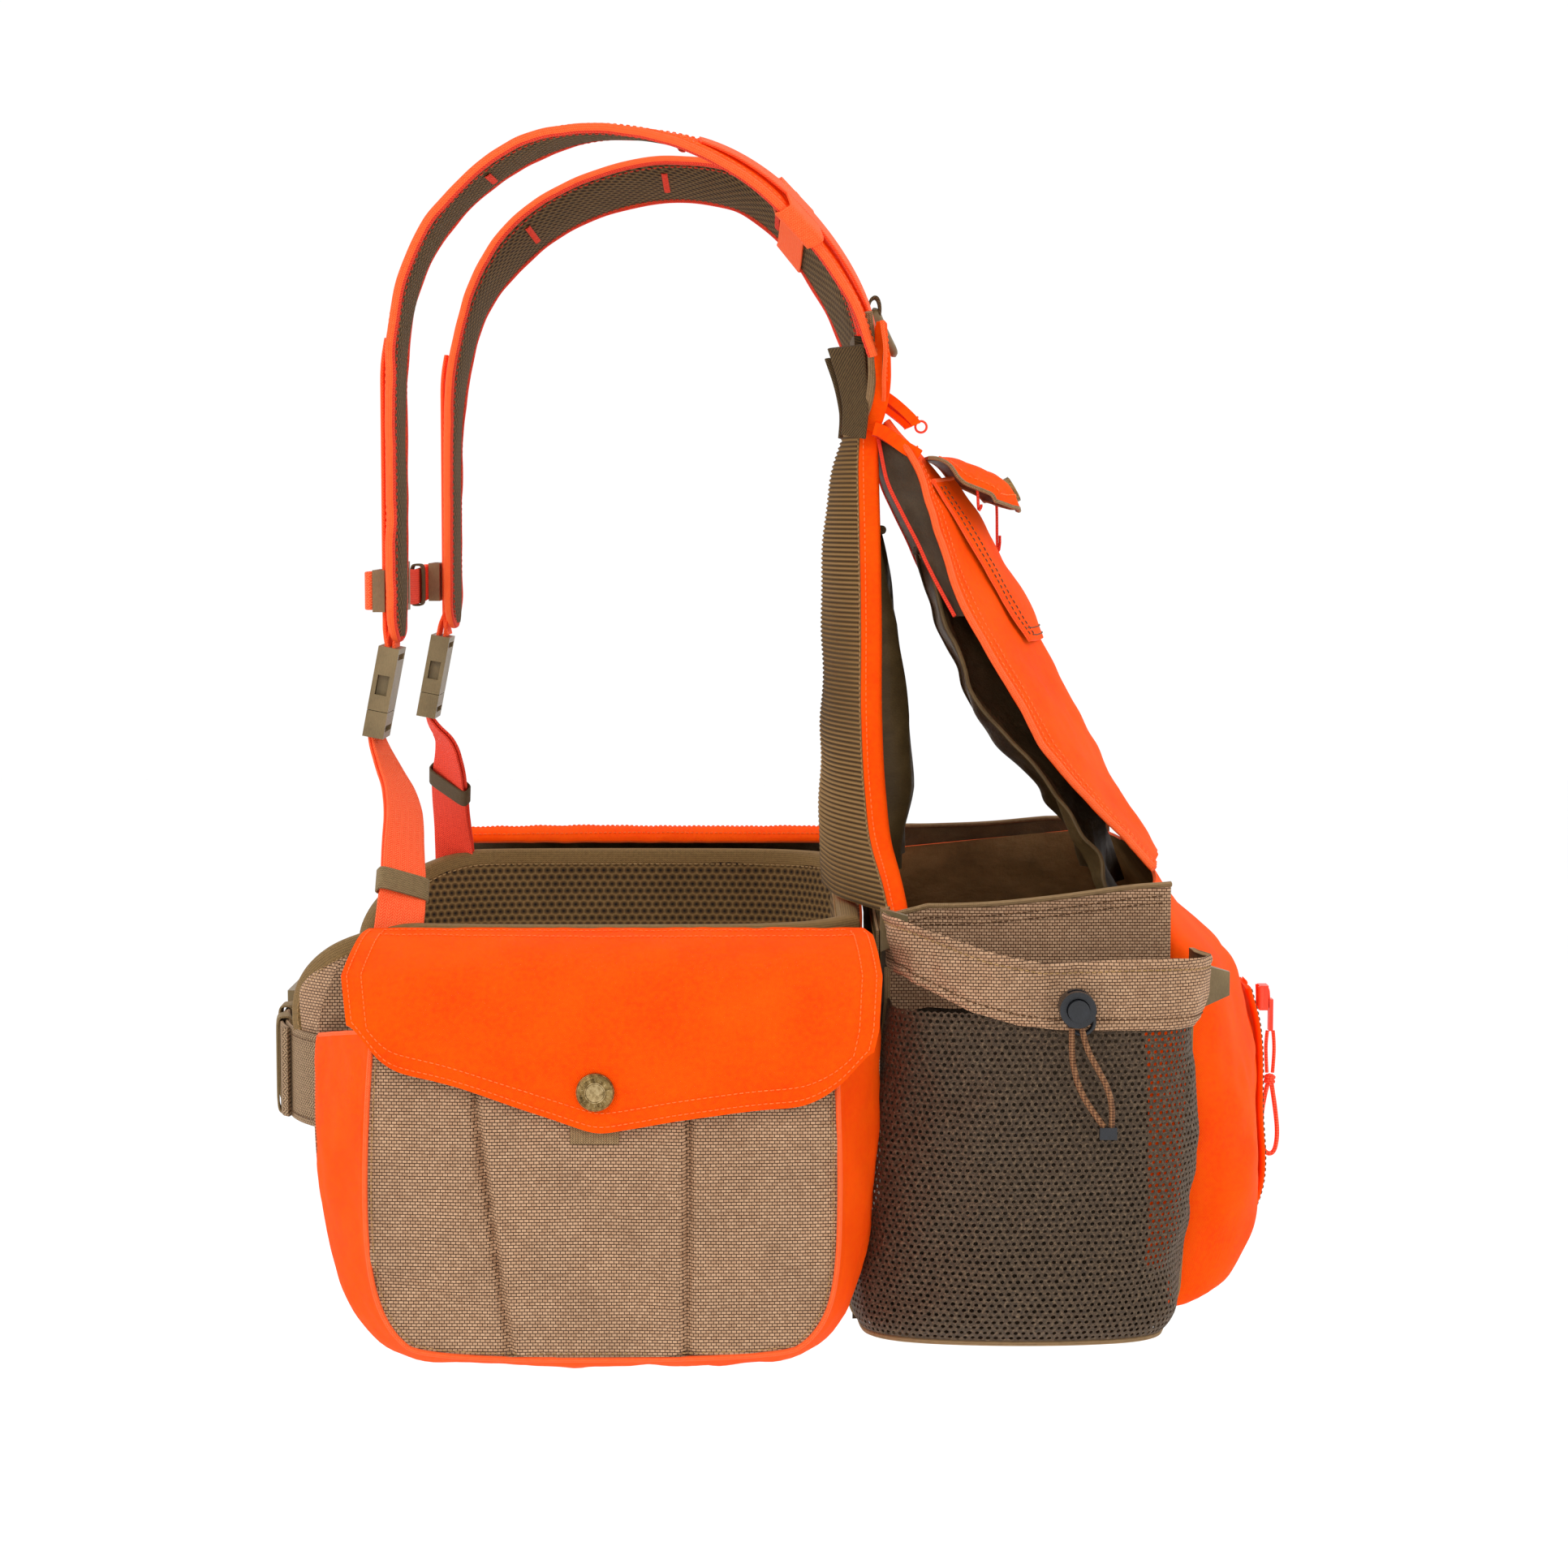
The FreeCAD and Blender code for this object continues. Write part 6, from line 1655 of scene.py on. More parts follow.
# round the bottom edge in
rr_ = (4 + 9 * step(160 - np.abs(H[:, 0, 0]), 3, 30))[:, None]
inb = rr_ * (1 - np.sqrt(np.clip(1 - np.clip((H[..., 2] + 154 - rr_) / -rr_, 0, 1) ** 2, 0, 1)))
Tn = unit(np.gradient(H, axis=0))
out = unit(np.stack([Tn[..., 1], -Tn[..., 0], 0 * Tn[..., 0]], -1))
if out[20, 50, 0] < 0:
    out = -out
wv, wf = Waves(180, 45, 160), Waves(181, 12, 44)
ease = np.sin(np.pi * np.clip(t_, 0, 1))[None] ** .6
H = H - out * inb[..., None] + out * ((1.7 * wv(H) + .35 * wf(H)) * ease)[..., None]
# sag creases above the bottom corners at the back
corner = np.exp(-((np.arange(nu)[:, None] / nu - .62) / .10) ** 2)
H = H + out * (1.3 * corner * np.sin(H[..., 2] / 9.5 + H[..., 0] / 14) * step(-H[..., 2], 20, 120))[..., None]
H[..., 0] = np.where(H[..., 1] < 322, np.minimum(H[..., 0], 161.2), H[..., 0])
full = np.concatenate([H, H[::-1][1:] * np.array([-1, 1, 1])], 0)
H = H.copy()
full_uv = arc_uv(full)
N = grid_normals(full)
if np.dot(N[nu, 50], (0, 1, 0)) < 0:
    N = -N
m = len(full)
a = P.raw(full)
b = P.raw(full - N * 1.8)
idx = np.arange(m * nv).reshape(m, nv)
brown = (np.abs(full[:, nv // 3, 0]) > 150) & (full[:, nv // 3, 1] < 300)
splits = [0] + [i for i in range(1, m) if brown[i] != brown[i - 1]] + [m - 1]
for s0, s1 in zip(splits[:-1], splits[1:]):
    mid = (s0 + s1) // 2
    mt = M_NYD if brown[mid] else M_OR
    P.quads((idx + a)[s0:s1 + 1], full_uv[s0:s1 + 1], mt, flip=True)
P.quads(idx + b, full_uv, M_NYL, flip=False)
for line, fl in ((idx[:, 0], False), (idx[:, -1], True)):
    P.quads(np.stack([line + a, line + b]), np.stack([full_uv.reshape(-1, 2)[line], full_uv.reshape(-1, 2)[line] + (0, 2)]), M_OR_EDGE, flip=not fl)
for line, fl in ((idx[0], False), (idx[-1], True)):
    P.quads(np.stack([line + a, line + b]), np.stack([full_uv.reshape(-1, 2)[line], full_uv.reshape(-1, 2)[line] + (2, 0)]), M_NYD, flip=fl)
# bottom: from the rounded edge in to the middle
ring = full[:, 0]
nb = 26
f_ = np.linspace(0, 1, nb)
fr = np.stack([np.interp(np.linspace(0, 1, m), [0, 1], [140, -140]), np.full(m, 162.5), np.full(m, -154.0)], 1)
Bm = ring[:, None] * (1 - f_)[None, :, None] + fr[:, None] * f_[None, :, None]
Bm[..., 2] = -154 - 2.6 * np.sin(np.pi * np.clip(f_, 0, 1))[None] + .5 * wv(Bm) * np.sin(np.pi * f_)[None]
sheet(P, Bm, 1.8, M_OR, M_NY, M_OR_EDGE, N=np.broadcast_to(np.array([0, 0, -1.0]), Bm.shape), uv=Bm[..., :2].copy())
# front wall, against the belt and pad
xx, zz_ = np.linspace(-158.5, 158.5, 80), np.linspace(-153, 45, 60)
Fx, Fz = np.meshgrid(xx, zz_, indexing="ij")
Fr = np.stack([Fx, 161.2 + .5 * wv(np.stack([Fx, Fz, Fx * 0], -1)), Fz], -1)
sheet(P, Fr, 1.6, M_NYD, M_NYL, M_BIND, N=np.broadcast_to(np.array([0, -1.0, 0]), Fr.shape), uv=np.stack([Fx, Fz], -1))
bag = P.build("game_bag_shell", "root")
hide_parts("game_bag")

# tan band along each top side, hem folded over, and the binding
for sx, tag in ((1, "left"), (-1, "right")):
    P = Parts()
    ny, nh = 110, 30
    yy = np.linspace(165, 311, ny)
    hh = np.linspace(0, 1, nh)
    ztop = bag_top(yy, 0) + 1.2 + 3.2 * np.exp(-((yy - 165) / 16) ** 2) + .9 * np.sin(yy / 21)
    if sx < 0:
        ztop = ztop + np.interp(yy, [165, 190, 272, 311], [9, 10, 7, 3])
    zbot = bag_top(yy, 0) - np.interp(yy, [165, 200, 311], [46, 52, 50])
    Zb = ztop[:, None] * (1 - hh)[None] + zbot[:, None] * hh[None]
    Xb = bag_side_x(yy[:, None] + 0 * Zb, Zb) + 4.2 + 1.1 * np.sin(yy / 17.0)[:, None] * (1 - hh)[None] + .8 * np.sin(yy / 8.3 + 1)[:, None] * np.exp(-hh * 5)[None]
    Xb = np.maximum(Xb, 162.0 - 20 * step(yy, 290, 311)[:, None])
    S = np.stack([Xb, yy[:, None] + 0 * Xb, Zb], -1)
    sheet(P, S[::-1], 1.5, M_TAN, M_NY, M_TAN_BIND, uv=np.stack([S[::-1][..., 1], S[::-1][..., 2]], -1), N=np.broadcast_to(np.array([1.0, 0, 0]), S.shape))
    for k_ in (3, 5):
        stitch(P, S[2:-2, k_], (1, 0, 0), M_TH_BR, pitch=3.2, r=.4)
    rope(P, S[:, 0] + (-.8, 0, .2), 1.5, M_TAN_BIND, up=(1, 0, 0), n=8)
    P.build("game_bag_band_" + tag, "root", sx)
# brown inside: hem along the rear lip and a ribbed belt across the front wall
P = Parts()
xx = np.linspace(-156, 156, 120)
S = np.stack([np.stack([xx, np.full(120, 160.0 - .3) + 0 * xx, np.full(120, zt_) + 1.2 * np.sin(xx / 31)], 1) for zt_ in np.linspace(47, 20, 12)], 1)
sheet(P, S, 1.4, M_NY, M_NY, M_TAN_BIND, N=np.broadcast_to(np.array([0, -1.0, 0]), S.shape), uv=np.stack([S[..., 0], S[..., 2]], -1))
path = np.stack([xx, np.full(120, 164.6), np.full(120, 26.0)], 1)
extrude(P, path, (0, 0, 1), (0, 1, 0), flat_sec(38, 1.8, 12), M_TAN_WEB)
stitch(P, S[:, 3] + (0, -.1, 0), (0, -1, 0), M_TH_TAN)
P.build("game_bag_front_belt", "root")

# ------------------------------------------------------------------ mesh pockets
mp = np.array([(163, 165), (182, 164.6), (198, 167), (211, 177), (219.5, 195), (224, 222), (225, 252), (222, 280), (216, 302), (204, 316), (184, 321), (163, 322)], float)


def pocket_plan(n):
    p = curve(mp, n, 3)
    T = unit(np.gradient(p, axis=0))
    return p, np.stack([T[:, 1], -T[:, 0]], 1)


def hem_low(y):
    return np.interp(y, [160, 172, 185, 205, 228, 250, 322], [30, 30, 24, 14, 7, 4.8, 3.6])


def hem_high(y):
    return np.interp(y, [160, 172, 190, 212, 240, 262, 285, 305, 324], [60, 59, 52, 45, 38.5, 38.5, 40, 40, 38])


def mesh_pocket(side, tag):
    seed = 190 if side > 0 else 196
    wv, wf = Waves(seed, 30, 100), Waves(seed + 1, 12, 40)
    p, o = pocket_plan(300)
    s = arc(p)
    L = s[-1]
    # net: hexagons laid over the wall, each a frame round a hole
    pit = 3.55
    rows = int(170 / (pit * .866))
    cols = int(L / pit)
    zlow = -156.5

    def place(u, z):
        u = np.clip(u, 0, L)
        P2 = np.stack([np.interp(u, s, p[:, 0]), np.interp(u, s, p[:, 1])], -1)
        O2 = np.stack([np.interp(u, s, o[:, 0]), np.interp(u, s, o[:, 1])], -1)
        zb = np.clip((z - zlow) / 20.0, 0, 1)
        inn = 13.0 * (1 - np.sqrt(1 - (1 - zb) ** 2))
        edge = np.minimum(u, L - u)
        fl = np.clip(edge / 25, 0, 1)
        Q = np.stack([P2[..., 0], P2[..., 1], z], -1)
        wr = (1.7 * wv(Q) + .5 * wf(Q)) * fl * np.clip((z - zlow) / 30, 0, 1)
        # gathered in a little below the hem at the cord lock, and a slack hollow half way
        ga = -2.5 * np.exp(-((u - L * .52) / 30) ** 2 - ((z - 5) / 35) ** 2) * fl
        sag = 1.6 * np.sin((z + 158) / 163 * math.pi) * fl
        d = wr + ga + sag - inn
        Q[..., 0] += O2[..., 0] * d
        Q[..., 1] += O2[..., 1] * d
        # the pocket leans forward towards its foot
        Q[..., 1] -= np.interp(z, [-157, -140, -100, -40, 10], [22, 19, 12, 4, 0]) * np.interp(u / L, [0, .25, .6, 1], [1, .8, .4, .3])
        Q[..., 0] = np.maximum(Q[..., 0], 162.6)
        return Q, np.stack([O2[..., 0], O2[..., 1], 0 * z], -1)

    ang = np.radians(np.arange(6) * 60 + 30)
    R = pit / math.sqrt(3)
    rv = []
    for j in range(rows):
        zc = zlow + 1.5 + j * pit * .866
        uc = (np.arange(cols) + (.5 if j % 2 else 0)) * pit + 1.5
        yy = np.interp(uc, s, p[:, 1])
        keep_ = (uc < L - 1.5) & (zc < hem_low(yy) + 4)
        rv.append(np.stack([uc[keep_], np.full(keep_.sum(), zc)], 1))
    C = np.vstack(rv)
    r_ = np.random.RandomState(seed)
    outer = C[:, None] + R * 1.01 * np.stack([np.cos(ang), np.sin(ang)], 1)[None]
    # holes vary a little, as knitted ones do
    hs = .50 + .05 * r_.normal(size=len(C))
    inner = C[:, None] + (R * hs)[:, None, None] * np.stack([np.cos(ang) * 1.02, np.sin(ang) * .94], 1)[None]
    M_ = len(C)
    th = .55
    O3, On = place(outer[..., 0], outer[..., 1])
    I3, In = place(inner[..., 0], inner[..., 1])
    # the knit stands proud round each hole
    V = np.concatenate([O3 - On * .12, I3 + In * .16, O3 - On * (th + .1), I3 - In * (th - .1)], 1)      # (M, 24, 3)
    P = Parts()
    a = P.raw(V)
    base = a + np.arange(M_)[:, None] * 24
    F = []
    k = np.arange(6)
    k1 = (k + 1) % 6
    fo = np.stack([k, k1, 6 + k1, 6 + k], 1)
    fb = np.stack([12 + k, 18 + k, 18 + k1, 12 + k1], 1)
    fw = np.stack([6 + k, 6 + k1, 18 + k1, 18 + k], 1)
    allf = np.concatenate([fo, fb, fw])[None] + base[:, :1, None]
    UVo = np.concatenate([outer, inner, outer, inner], 1)
    P.mats.append(M_NET)
    ff = allf.reshape(-1, 4)
    P.f.extend(ff.tolist())
    P.uv.extend(UVo.reshape(-1, 2)[(ff - a)].tolist())
    P.m.extend([0] * len(ff))
    net = P.build("mesh_pocket_net_" + tag, "root", side, sharp=0)
    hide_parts("mesh_pocket_" + tag)
    # floor of the pocket and the tan binding at its foot
    P = Parts()
    u = np.linspace(0, L, 140)
    ring, rn = place(u, np.full(140, zlow))
    nb = 16
    f_ = np.linspace(0, 1, nb)
    core = np.stack([np.full(140, 162.6), np.interp(u, [0, L], [166, 309]), np.full(140, zlow)], 1)
    Fl = ring[:, None] * (1 - f_)[None, :, None] + core[:, None] * f_[None, :, None]
    Fl[..., 2] = zlow + .6 * wf(Fl) - 1.0 * np.sin(np.pi * f_)[None]
    sheet(P, Fl[::-1], 1.3, M_NYD, M_NYD, M_TAN_BIND, N=np.broadcast_to(np.array([0, 0, -1.0]), Fl.shape), uv=Fl[::-1][..., :2].copy())
    rg, rn = place(u, np.full(140, zlow + 1.2))
    rope(P, rg + rn * .4, 1.7, M_TAN_BIND, up=(0, 0, 1), n=8)
    for uu in (1.0, L - 1.0):
        zz2 = np.linspace(zlow + 2, 28 if uu < 5 else 6, 60)
        rg2, _ = place(np.full(60, uu), zz2)
        rope(P, rg2, 1.6, M_TAN_BIND, up=(1, 0, 0), n=7)
    # the pocket's inner wall below the bag, seen through the net
    sy = np.linspace(147.5, 311, 70)
    hz = np.linspace(0, 1, 12)
    zt_ = np.interp(sy, [147.5, 163, 172, 311], [-132, -88, -122, -130])
    Gk = np.stack([163.4 + 0 * (sy[:, None] + hz[None]), sy[:, None] + 0 * hz[None], zt_[:, None] * (1 - hz)[None] + (zlow + .4) * hz[None]], -1)
    Gk[..., 0] += .5 * wf(Gk)
    sheet(P, Gk[::-1], .9, M_NYD, M_NYD, M_NYD, N=np.broadcast_to(np.array([1.0, 0, 0]), Gk.shape))
    P.build("mesh_pocket_floor_" + tag, "root", side)
    # hem: ballistic band with the drawcord inside, puckered at the lock
    P = Parts()
    nu_, nh_ = 210, 26
    u = np.linspace(0, L, nu_)
    yy = np.interp(u, s, p[:, 1])
    hh = np.linspace(0, 1, nh_)
    zt, zb2 = hem_high(yy), hem_low(yy)
    Z = zt[:, None] * (1 - hh)[None] + zb2[:, None] * hh[None]
    base_, on = place(np.broadcast_to(u[:, None], Z.shape), Z)
    lock_y, lock_z = 256.0, 17.0
    dy, dz_ = base_[..., 1] - lock_y, Z - lock_z
    rad = np.sqrt(dy ** 2 + dz_ ** 2)
    pucker = 1.5 * np.cos(7 * np.arctan2(dz_, dy)) * np.exp(-rad / 22) * (1 - np.exp(-rad / 5))
    roll = 1.9 * np.exp(-((hh - .06) / .06) ** 2)[None] + 1.2 * np.exp(-((hh - .93) / .05) ** 2)[None] - .9 * np.exp(-((hh - .16) / .03) ** 2)[None] - .8 * np.exp(-((hh - .84) / .03) ** 2)[None]
    fl = np.clip(np.minimum(u, L - u) / 14, 0, 1)[:, None]
    puff = 1.9 * np.sin(np.pi * hh)[None] * fl
    flare = 2.8 * (1 - hh)[None] * fl * np.exp(-((u - L * .86) / 26) ** 2)[:, None] + 2.0 * (1 - hh)[None] * fl * np.exp(-((u - L * .2) / 22) ** 2)[:, None]
    dip = -3.2 * np.exp(-(dy / 15) ** 2) * (1 - hh)[None]
    S = base_ + on * ((2.0 + puff + roll * .6 + pucker + flare + .45 * wf(base_ * 1.6) + dip) * fl + .6)[..., None]
    near = np.exp(-((dy / 11) ** 2 + (dz_ / 11) ** 2) ** 2)
    S[..., 0] = S[..., 0] * (1 - near) + np.minimum(S[..., 0], 224.2) * near
    S[..., 0] = np.maximum(S[..., 0], 163.6)
    uvh = np.stack(np.broadcast_arrays(u[:, None], Z), -1)
    N = grid_normals(S)
    if np.dot(N[nu_ // 2, nh_ // 2], (1, 0, 0)) < 0:
        N = -N
    sheet(P, S, 2.4, M_TAN, M_NYD, M_TAN_BIND, uv=uvh, N=N)
    for k_ in (4, 21):
        stitch(P, S[3:-3, k_], N[3:-3, k_], M_TH_TAN if k_ == 4 else M_TH_BR, pitch=3.2, r=.42)
    hm = P.build("pocket_hem_band_" + tag, "root", side)
    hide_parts("pocket_hem_" + tag)
    # eyelet behind the lock, and a second black ring below it
    P = Parts()
    t2 = np.linspace(0, 2 * math.pi, 40, endpoint=False)
    ring = np.stack([np.full(40, 226.3), 257 + 7.4 * np.cos(t2), 17 + 7.4 * np.sin(t2)], 1)
    rope(P, ring, 1.5, M_BLACK, up=(1, 0, 0), closed=True)
    ring = np.stack([np.full(40, 225.6), 259.8 + 6.2 * np.cos(t2), 9.5 + 6.2 * np.sin(t2)], 1)
    rope(P, ring, 1.2, M_BLACK, up=(1, 0, 0), closed=True)
    P.build("pocket_eyelet_" + tag, "root", side)


for s_, sg in (("left", 1), ("right", -1)):
    mesh_pocket(sg, s_)
# ------------------------------------------------------------------ small pocket on the rear panel, its flap and pulls
def panel_y(x, z):
    w_ = rp_w(z)
    return rp_c(z) + (rp_e(z) - rp_c(z)) * np.clip(np.abs(x) / w_, 0, 1) ** 1.6 + rp_off(z)


P = Parts()
nz, nx = 70, 60
z = np.linspace(190, 277, nz)
q = np.linspace(-1, 1, nx)
hw = np.interp(z, [190, 198, 277], [47.5, 50.5, 51])[:, None]
X = q[None] * hw
Zg = np.broadcast_to(z[:, None], X.shape)
S = np.stack([X, panel_y(X, Zg), Zg], -1)
N = grid_normals(S)
if np.dot(N[nz // 2, nx // 2], (0, 1, 1)) < 0:
    N = -N
wv, wf = Waves(210, 22, 80), Waves(211, 8, 24)
puff = 2.6 + 2.0 * (1 - np.abs(q[None]) ** 4) * np.sin(np.pi * np.clip((z[:, None] - 190) / 92, 0, 1)) ** .6
S = S + N * (puff + .5 * wv(S) + .15 * wf(S))[..., None]
sheet(P, S[:, ::-1], 1.8, M_OR, M_NYD, M_OR_EDGE, uv=arc_uv(S)[:, ::-1], N=N[:, ::-1])
for k_ in (2, 6):
    stitch(P, S[2:-2, k_], N[2:-2, k_], M_TH_BR)
    stitch(P, S[2:-2, nx - 1 - k_], N[2:-2, nx - 1 - k_], M_TH_BR)
for k_ in (2, 5):
    stitch(P, S[k_, 3:-3], N[k_, 3:-3], M_TH_BR)
# rolled lip at the mouth of the pocket
rope(P, S[-1] - N[-1] * .8, 1.5, M_OR_EDGE, up=(0, 1, 1), n=8)
sp = P.build("small_pocket_cloth", "root")
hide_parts("small_pocket")

# flap: stands off the panel, bound in tan, snap near its point
fsec = curve(np.array([(190.4, 291.4), (203.5, 291.6), (214.3, 287.8), (223.6, 284.2), (231.4, 280.8), (237.9, 273.9), (243.0, 261.6)]), 60, 2)
fd = arc(fsec)
P = Parts()
nx, nr = 80, 44
q = np.linspace(-1, 1, nx)
ends = fd[-1] * (1 - .17 * np.abs(q) ** 5 - .05 * np.abs(q))
D = ends[:, None] * np.linspace(0, 1, nr)[None]
hw = np.interp(D, [0, fd[-1] * .75, fd[-1]], [46, 49.5, 45.5])
X = q[:, None] * hw
S = np.stack([X, np.interp(D, fd, fsec[:, 0]), np.interp(D, fd, fsec[:, 1])], -1)
N = grid_normals(S)
if np.dot(N[nx // 2, nr // 2], (0, 1, 1)) < 0:
    N = -N
wv, wf = Waves(214, 20, 70), Waves(215, 7, 20)
calm = 1 - np.exp(-((X / 12) ** 2 + ((D - fd[-1] * .76) / 10) ** 2) ** 2)
S = S + N * ((.5 * wv(S) + .15 * wf(S)) * calm * step(D, 4, 16) - 11.0 * np.clip((np.abs(q[:, None]) - .42) / .58, 0, 1) ** 2 * step(D, 2, 26))[..., None]
sheet(P, S, 1.9, M_OR, M_NYD, M_TAN_BIND, uv=np.stack([X, D], -1), N=N)
# binding on the three free edges
rim = np.vstack([S[0], S[1:-1, -1], S[-1, ::-1]])
rimN = np.vstack([N[0], N[1:-1, -1], N[-1, ::-1]])
rim = rim - rimN * .95
rr_n = 260
La = arc(rim)
rim_s = np.stack([np.interp(np.linspace(0, La[-1], rr_n), La, rim[:, k]) for k in range(3)], 1)
rope(P, rim_s, 1.15, M_TAN_BIND, up=(0, .8, .6), n=8)
inner_line = []
for i in range(3, nx - 3):
    inner_line.append((S[i, -6], N[i, -6]))
stitch(P, np.array([a_[0] for a_ in inner_line]), np.array([a_[1] for a_ in inner_line]), M_TH_OR)
stitch(P, S[4, 4:-6], N[4, 4:-6], M_TH_OR)
stitch(P, S[-5, 4:-6], N[-5, 4:-6], M_TH_OR)
fl = P.build("small_pocket_flap_cloth", "small_flap")
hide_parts("small_pocket_flap")
# snap rim, tape pulls under the flap's corners
P = Parts()
ax = unit(np.array([0, 24.5, 14.0]))
c0 = np.array([0, 237.6, 272.5]) + ax * 3.2
u_ = np.array([1.0, 0, 0])
v_ = unit(np.cross(ax, u_))
t2 = np.linspace(0, 2 * math.pi, 40, endpoint=False)
for rr_, rad_, off_, mt in ((6.6, .7, -.4, M_BRASS), (3.9, .32, .05, M_BRASS_L)):
    rope(P, c0 + ax * off_ + rr_ * (np.cos(t2)[:, None] * u_ + np.sin(t2)[:, None] * v_), rad_, mt, up=ax, closed=True)
P.build("small_snap_trim", "small_flap")
P = Parts()
for xt, yt_, zt_, k_ in ((44, 217.6, 269.5, .28), (-44, 233.6, 262.5, 1.0)):
    top = np.array([xt, yt_, zt_])
    pth = curve(np.array([top + (0, -.4, 5), top, top + (0, .1, -8 * k_), top + (-.4, .2, -16 * k_), top + (0, .4, -23 * k_)]), 40, 2)
    # the pulls take the shaded webbing: painted shade under the flap
    webbing(P, pth, (0, 1, .1), 6.5, 1.3, M_SHADED_OR_WEB, nw=4)
    # folded end
    endp = pth[-1]
    webbing(P, np.array([endp + (0, 1.4, 8 * k_), endp + (0, 1.5, 4 * k_), endp + (0, 1.0, 0), endp + (0, .2, -1.2)]), (0, 1, .1), 6.5, 1.2, M_SHADED_OR_WEB, nw=4)
P.build("small_flap_pulls", "small_flap")

# ------------------------------------------------------------------ zippers
def zip_chain(P, path, normal, teeth_mat, tape_mat, tooth=2.1, half=2.6, tape=10.5, split=0.0):
    # interlocked teeth down the middle of two tapes; path is the centre line
    path = np.asarray(path, float)
    d = arc(path)
    T = unit(np.gradient(path, axis=0))
    Nn = unit(np.broadcast_to(np.asarray(normal, float), path.shape))
    B = unit(np.cross(T, Nn))
    for sgn in (1, -1):
        webbing(P, path + B * sgn * (tape / 2 + .25) - Nn * .9, Nn, tape, .9, tape_mat, nw=5)
        rope(P, path + B * sgn * 1.9 - Nn * .5, .8, tape_mat, up=Nn[0], n=6)
    n_t = int(d[-1] / tooth)
    for i in range(n_t):
        c_d = (i + .5) * tooth
        c = np.array([np.interp(c_d, d, path[:, k]) for k in range(3)])
        j = int(np.searchsorted(d, c_d))
        j = min(j, len(path) - 1)
        sg = 1 if i % 2 else -1
        a_ = c + B[j] * sg * half
        b_ = c - B[j] * sg * (half * .35)
        seg = np.array([a_, a_ * .6 + b_ * .4, b_ * .75 + a_ * .25, b_])
        rope(P, seg + Nn[j] * np.array([-.2, .55, .65, .2])[:, None], tooth * .40, teeth_mat, up=Nn[j], n=7, scale=np.array([.8, 1, 1.15, .8]))


P = Parts()
zc = np.linspace(-4, -146, 60)
chain = np.stack([0 * zc, bag_y(zc) + 2.2, zc], 1)
zip_chain(P, chain, (0, 1, 0), M_TEETH, M_OR_EDGE)
# cloth welts either side of the chain
for sg in (1, -1):
    pw = chain + (sg * 15.5, -.2, 0)
    webbing(P, pw, (0, 1, 0), 12.5, 2.6, M_OR, nw=7)
    stitch(P, pw + (sg * -3.6, 1.4, 0), (0, 1, 0), M_TH_BR)
    stitch(P, pw + (sg * 3.6, 1.4, 0), (0, 1, 0), M_TH_BR)
for zz_ in (-3.0, -147.0):
    bartack(P, (0, float(bag_y(zz_)) + 2.8, zz_), (1, 0, 0), (0, 1, 0), M_TH_OR, length=16, width=2.6, r=.45)
# tape stop at the lower end, folded over
webbing(P, np.array([(-13, 0, 0), (-6, .7, 0), (0, .9, 0), (6, .7, 0), (13, 0, 0)]) + (0, float(bag_y(-150)) + 1.6, -151.0), (0, 1, 0), 8, 1.6, M_OR_EDGE, nw=5)
P.build("rear_zip_chain", "root")

# slider body on top of the CAD slider: bridge and side cheeks
P = Parts()
for sg in (1, -1):
    pth = np.array([(sg * 5.0, 380.6, -5.4), (sg * 5.2, 380.8, -9), (sg * 4.9, 380.9, -13), (sg * 4.2, 380.8, -18.2)])
    webbing(P, curve(pth, 16, 2), (0, 1, 0), 1.6, 3.2, M_OR_MET, nw=3)
br = curve(np.array([(0, 384.6, -6.4), (0, 385.6, -7.6), (0, 386.0, -11), (0, 386.0, -14.5), (0, 385.6, -17.6), (0, 384.6, -18.4)]), 24, 2)
webbing(P, br, np.cross(unit(np.gradient(br, axis=0)), (1, 0, 0)), 3.2, 1.3, M_OR_MET, nw=4)
P.build("rear_slider_bridge", "rear_slider")

P = Parts()
xc = np.linspace(47, -52, 60)
chain = np.stack([xc, 162.2 + 0 * xc, 322 + 0 * xc], 1)
zip_chain(P, chain, (0, 1, .05), M_TEETH, M_OR_EDGE, tooth=2.0, half=2.4, tape=8.0)
P.build("yoke_zip_chain", "root")
# the zipper garages: cloth folded out past each end of the chain
P = Parts()
for x0, x1 in ((34.5, 55.0), (-52.5, -58.0)):
    for (yz, wob, thk) in (([(163.5, 327), (168, 325.6), (174.5, 321.0), (180.5, 316.0), (185.0, 311.6), (185.8, 309.6)], .5, 5.0),
                      ([(161.5, 309.5), (166, 308), (172.5, 303.5), (179, 299.0), (184, 296.4), (187.0, 294.6)], .4, 7.0)):
        sec_ = curve(np.array(yz), 30, 2)
        nxx = 12
        xs_ = np.linspace(x0, x1, nxx)
        G = np.stack([np.broadcast_to(xs_[:, None], (nxx, 30)), np.broadcast_to(sec_[None, :, 0], (nxx, 30)), np.broadcast_to(sec_[None, :, 1], (nxx, 30))], -1).copy()
        G[..., 2] += wob * np.sin(G[..., 0] / 5.0 + G[..., 1] / 6.0)
        Ng = grid_normals(G)
        if np.dot(Ng[6, 15], (0, .6, .8)) < 0:
            Ng = -Ng
        # the inner face takes the shaded webbing: painted shade
        sheet(P, G, thk, M_OR, M_SHADED_OR_WEB, M_OR, N=Ng)
        for k_ in (3, 26):
            stitch(P, G[:, k_], Ng[:, k_], M_TH_OR, pitch=3.0)
P.build("yoke_zip_garages", "root")
